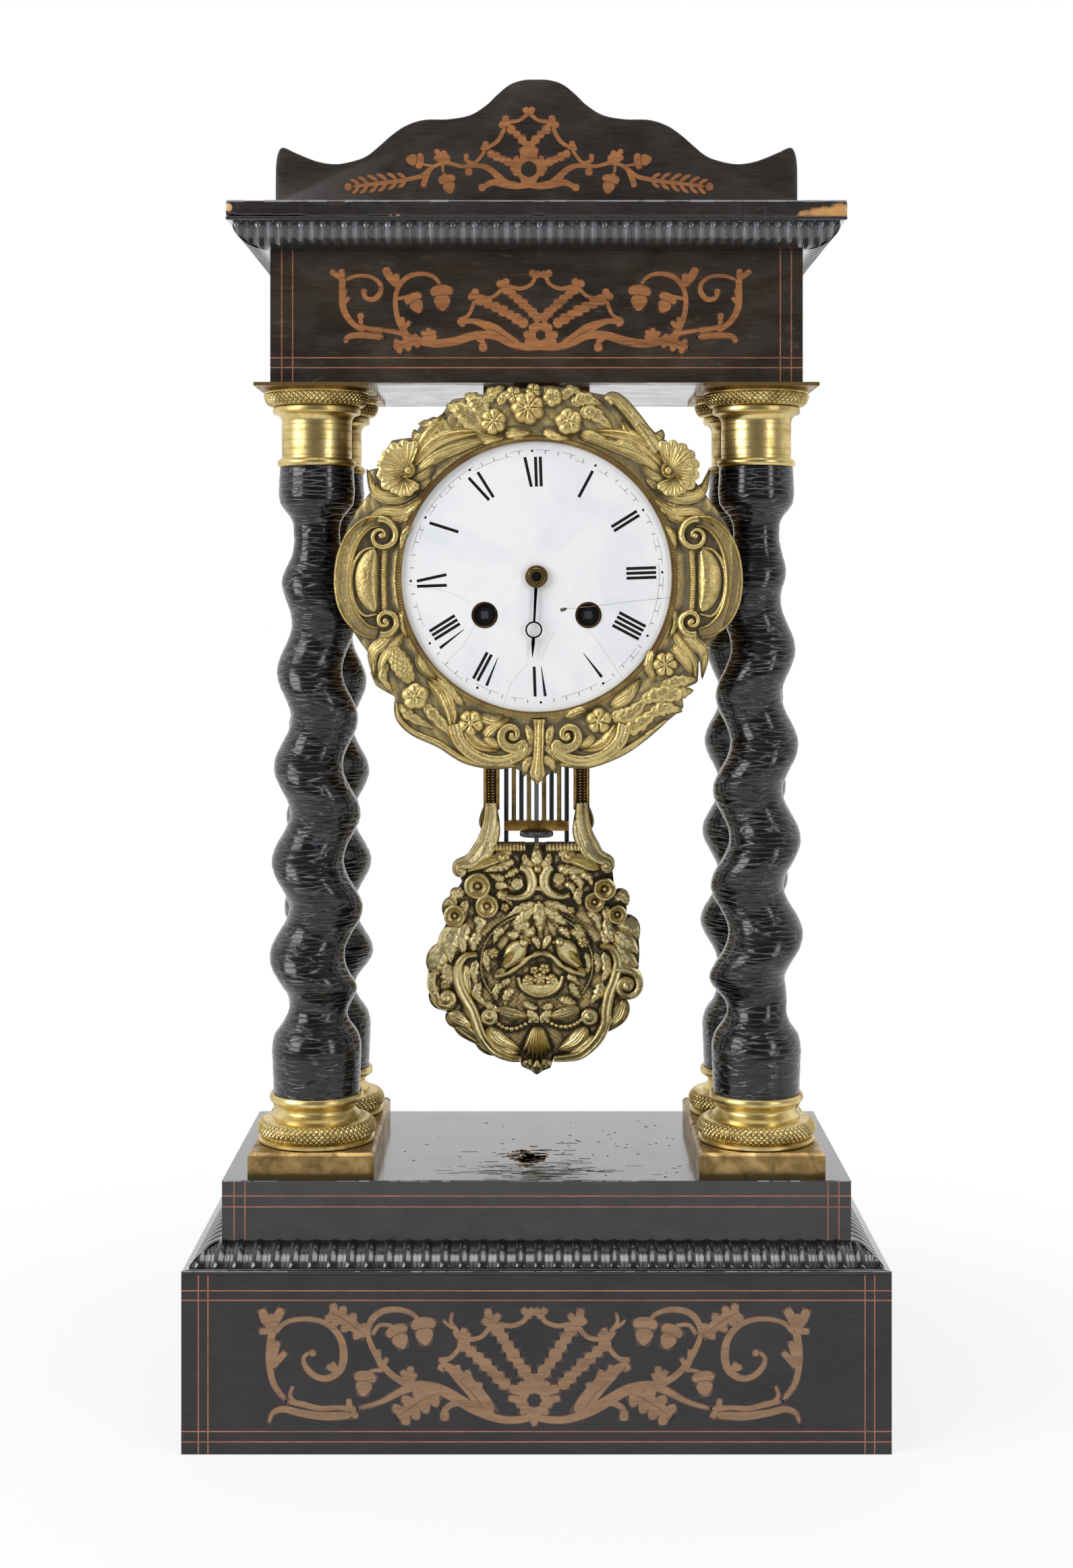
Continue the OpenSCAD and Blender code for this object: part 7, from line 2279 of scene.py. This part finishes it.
    def medallion(self, work: Relief) -> None:
        """Chase the field: a bead border, feathery leaves, an ivy leaf, two plain birds on a bough and a basket."""
        line, at = self.draft.line, self.draft.at
        rim = [(727 + 294 * cos(a), 800 - 266 * sin(a)) for a in (radians(215 - 250 * i / 24) for i in range(25))]
        work.beads([at(*p) for p in rim], 96, (0.5, 0.5, 0.5), 0.9, 1)
        foliage(work, self.draft, (
            (3.0, 2.3, 5, 0, 736, 470, 742, 560, 746, 650), (2.6, 1.8, 4, 0, 716, 500, 650, 560, 590, 600),
            (2.6, 1.8, 4, 0, 764, 500, 830, 560, 890, 596), (2.0, 1.6, 4, 0, 716, 480, 640, 510, 560, 560),
            (2.0, 1.6, 4, 0, 760, 480, 850, 500, 930, 560), (2.4, 1.8, 0, 0, 646, 640, 628, 600, 600, 570),
            (2.4, 1.8, 0, 0, 646, 640, 664, 600, 660, 560), (2.4, 1.8, 0, 0, 646, 640, 690, 632, 712, 600),
            (2.2, 1.7, 0, 0, 640, 640, 600, 650, 566, 640), (2.2, 1.7, 0, 0, 650, 640, 664, 670, 700, 680),
            (2.0, 1.6, 3, 0, 560, 620, 520, 640, 500, 700), (2.0, 1.6, 4, 0, 840, 610, 880, 640, 900, 676),
            (2.1, 1.6, 3, 0, 930, 590, 960, 640, 990, 670), (1.9, 1.5, 3, 0, 900, 620, 950, 660, 950, 720),
            (1.7, 1.4, 0, 0, 700, 660, 726, 690, 740, 730), (1.7, 1.4, 0, 0, 800, 650, 776, 690, 756, 730),
            (2.0, 1.5, 3, 0, 470, 720, 460, 790, 476, 850), (1.9, 1.5, 3, 0, 980, 740, 1000, 800, 990, 860),
            (1.8, 1.5, 3, 0, 540, 900, 510, 950, 520, 1000), (2.1, 1.5, 4, 0, 610, 930, 570, 970, 560, 1030),
            (2.1, 1.5, 4, 0, 900, 900, 930, 950, 960, 990), (2.3, 1.6, 4, 0, 840, 980, 890, 1000, 940, 1010),
            (2.0, 1.5, 3, 0, 650, 1000, 700, 1030, 736, 1030), (1.9, 1.5, 0, 0, 810, 1010, 780, 1030, 750, 1030),
            (1.8, 1.4, 3, 0, 590, 880, 560, 900, 540, 930), (1.8, 1.4, 3, 0, 880, 870, 920, 880, 960, 920)))
        for side, x, y in ((-1, 604, 745), (1, 900, 742)):
            def out(*flat: float, x: float = x, y: float = y, side: int = side) -> list[Point]:
                """Place points given outwards and down from this bird's middle."""
                return line(*[x + side * v if i % 2 == 0 else y + v for i, v in enumerate(flat)])

            for k, (dx, dy) in enumerate(((64, 124), (80, 122), (98, 110))):
                work.leaf(out(30, 50, 54, 84, dx + 6 * k, dy), 1.3, 1.7, veins=8, cells=(18, 6))
            work.strip(out(-56, -52, -26, -22, 10, 20, 46, 70), lambda s: 4.1 * sin(pi * (0.14 + 0.78 * s)) ** 0.9,
                       lambda s, t: 1.2 + 2.4 * arch(t) * (1 - 0.3 * s), (36, 14))
            work.ball(out(-54, -58)[0], 2.0, 2.6)
            work.leaf(out(-70, -60, -84, -56, -96, -48), 0.7, 1.6, veins=0.01, cells=(8, 4))
            for k in range(3):
                work.leaf(out(-6 + 8 * k, -16 + 8 * k, 20 + 6 * k, 14 + 8 * k, 52 + 6 * k, 42 + 14 * k), 1.3, 3.6 - 0.3 * k,
                          veins=7, low=2.2, cells=(18, 6))
        work.strip(line(506, 866, 580, 846, 640, 806, 690, 764, 745, 746, 800, 758, 850, 806, 910, 838, 980, 858),
                   lambda s: 1.15 + 0.2 * sin(46 * s),
                   arched(0.9, 1.7), (80, 7))
        work.strip(line(628, 868, 648, 925, 700, 958, 745, 966, 800, 954, 844, 918, 862, 862), lambda s: 0.95, arched(0.9, 1.9),
                   (50, 6))
        work.strip(line(650, 900, 700, 930, 745, 936, 800, 928, 842, 892), lambda s: 2.4, lambda s, t: 0.9 + 1.0 * arch(t)
                   + 0.25 * cos(2 * pi * 14 * s) * cos(6 * t), (84, 8))
        for x, y, r, petals in ((682, 888, 36, 5), (740, 878, 40, 6), (802, 884, 36, 5), (766, 826, 34, 5), (714, 834, 28, 5),
                                (498, 745, 34, 6), (972, 690, 34, 6), (560, 505, 26, 5), (905, 520, 26, 5)):
            work.flower(at(x, y), r * self.draft.unit, petals, 1.7, 0.3, x)

    def border(self, work: Relief) -> None:
        """Chase the side and lower scrolls, the drapes, the swags, the shell and the foot."""
        line, at = self.draft.line, self.draft.at
        foliage(work, self.draft, (
            (3.6, 1.7, 0, 3, 246, 1072, 320, 1106, 410, 1150), (3.0, 1.5, 0, 2, 290, 1120, 370, 1170, 450, 1240),
            (2.6, 1.4, 0, 2, 400, 1190, 470, 1250, 560, 1290), (3.4, 1.8, 0, 3, 466, 1136, 530, 1210, 640, 1256),
            (2.4, 1.5, 0, 2, 500, 1210, 560, 1260, 640, 1282), (3.4, 1.8, 0, 3, 990, 1136, 930, 1210, 840, 1256),
            (2.4, 1.5, 0, 2, 1040, 1180, 980, 1240, 890, 1282), (3.2, 1.6, 0, 3, 1190, 990, 1160, 1080, 1080, 1170),
            (2.4, 1.5, 3, 0, 1130, 860, 1160, 930, 1176, 1010), (2.4, 1.5, 0, 2, 352, 800, 346, 880, 380, 980),
            (2.2, 1.4, 3, 0, 410, 780, 396, 850, 410, 920), (2.2, 1.4, 3, 0, 430, 900, 410, 960, 460, 1030),
            (2.4, 1.5, 3, 0, 1080, 740, 1096, 830, 1070, 900), (2.4, 1.5, 3, 0, 1070, 900, 1050, 960, 1010, 1010),
            (2.0, 1.4, 3, 0, 1030, 740, 1050, 800, 1036, 860), (2.4, 1.5, 0, 2, 516, 1040, 590, 1066, 690, 1076),
            (2.4, 1.5, 0, 2, 950, 1036, 870, 1064, 780, 1078), (2.0, 1.4, 3, 0, 450, 1000, 500, 1040, 560, 1046),
            (2.2, 1.6, 0, 0, 736, 1110, 700, 1070, 686, 1024), (2.2, 1.6, 0, 0, 744, 1110, 780, 1070, 790, 1024),
            (2.4, 1.4, 0, 2, 186, 900, 196, 1000, 262, 1056), (2.4, 1.5, 0, 2, 350, 1010, 380, 1070, 410, 1110),
            (2.2, 1.5, 0, 2, 1100, 1000, 1080, 1060, 1060, 1110)))
        left = [(412, 752), (352, 762), (316, 812), (312, 884), (338, 960), (384, 1040), (410, 1110), (440, 1190), (500, 1262),
                (580, 1298), (645, 1306)]
        right = [(1060, 705), (1120, 722), (1152, 790), (1140, 870), (1108, 960), (1090, 1050), (1086, 1120), (1040, 1210),
                 (960, 1282), (880, 1300), (815, 1304)]
        for path in (left, right):
            work.strip([at(*p) for p in path], tabled(((0, 0.9), (0.25, 2.2), (0.6, 2.4), (1, 1.4))),
                       lambda s, t: 1.0 + 2.0 * arch(t) - 1.0 * exp(-((t - 0.1) / 0.3) ** 2), (110, 10))
        for cx, cy, r, start, turns, tail in ((252, 985, 54, 170, 1.3, [(178, 850), (174, 930)]),
                                              (1200, 920, 66, 20, -1.3, [(1130, 830), (1190, 832), (1245, 856)])):
            path = tail + volute(cx, cy, r, r, start, 360 * turns, 0.25, 14)
            work.strip([at(*p) for p in path], taper(1.9, 1.0), arched(1.0, 1.7), (70, 8))
            work.ball(at(cx, cy), 2.2, 1.4, 0.9)
        for x, y in ((478, 1080), (1002, 1080)):
            work.disc(at(x, y), lambda a: 3.4, lambda s, a: 1.5 + 1.5 * sqrt(1 - s * s * 0.96)
                      - 0.5 * exp(-((s - 0.6) / 0.15) ** 2), (9, 28))
            work.ball(at(x, y), 1.2, 2.9)
        for flat in ((512, 1104, 545, 1132, 595, 1144, 645, 1130, 690, 1104),
                     (785, 1104, 830, 1126, 880, 1132, 925, 1120, 958, 1098)):
            work.beads(line(*flat), 9, (0.85, 1.1, 0.85), 1.1, 2)
        for k in range(-3, 4):
            work.leaf(line(731 + 6 * k, 1130, 729 + 15 * k, 1215, 727 + 24 * k, 1306 - 5 * k * k), 1.35, 2.6 - 0.2 * abs(k),
                      veins=0.01, low=0.9, cells=(20, 8))
        for x, tip_x, tip_y in ((700, 664, 1354), (727, 727, 1390), (755, 790, 1350)):
            work.leaf(line(x, 1300, (x + tip_x) / 2, (1300 + tip_y) / 2, tip_x, tip_y), 2.4, 1.9, veins=3, blunt=1.5, cells=(18, 8))

    def nut(self) -> None:
        """Turn the knurled rating nut."""
        clay = Clay()
        clay.lathe([(1.2, 0), (6.0, 0), (6.5, 0.35), (6.6, 0.6), (6.6, 1.7), (6.5, 1.95), (6.0, 2.25), (1.2, 2.25), (1.2, 0)],
                   (0, self.depth, 208.1), 240,
                   change=lambda r, h, a: (r + (0.14 * cos(60 * a) if r > 6.4 else 0), h))
        clay.finish("knurled_rating_nut", "rating_nut", BLACKENED, "blackened_steel", ("rating_nut",))


def main() -> None:
    """Build the clock and its studio in order."""
    logging.basicConfig(level=logging.INFO, format="%(message)s")
    for part in (Studio(), Case(), base_motif(), entablature_motif(), pediment_motif(), Columns(), Dial(), Bezel(), Movement(),
                 Pendulum()):
        part.build()
        LOG.info("%s done", type(part).__name__)


if __name__ == "__main__":
    main()
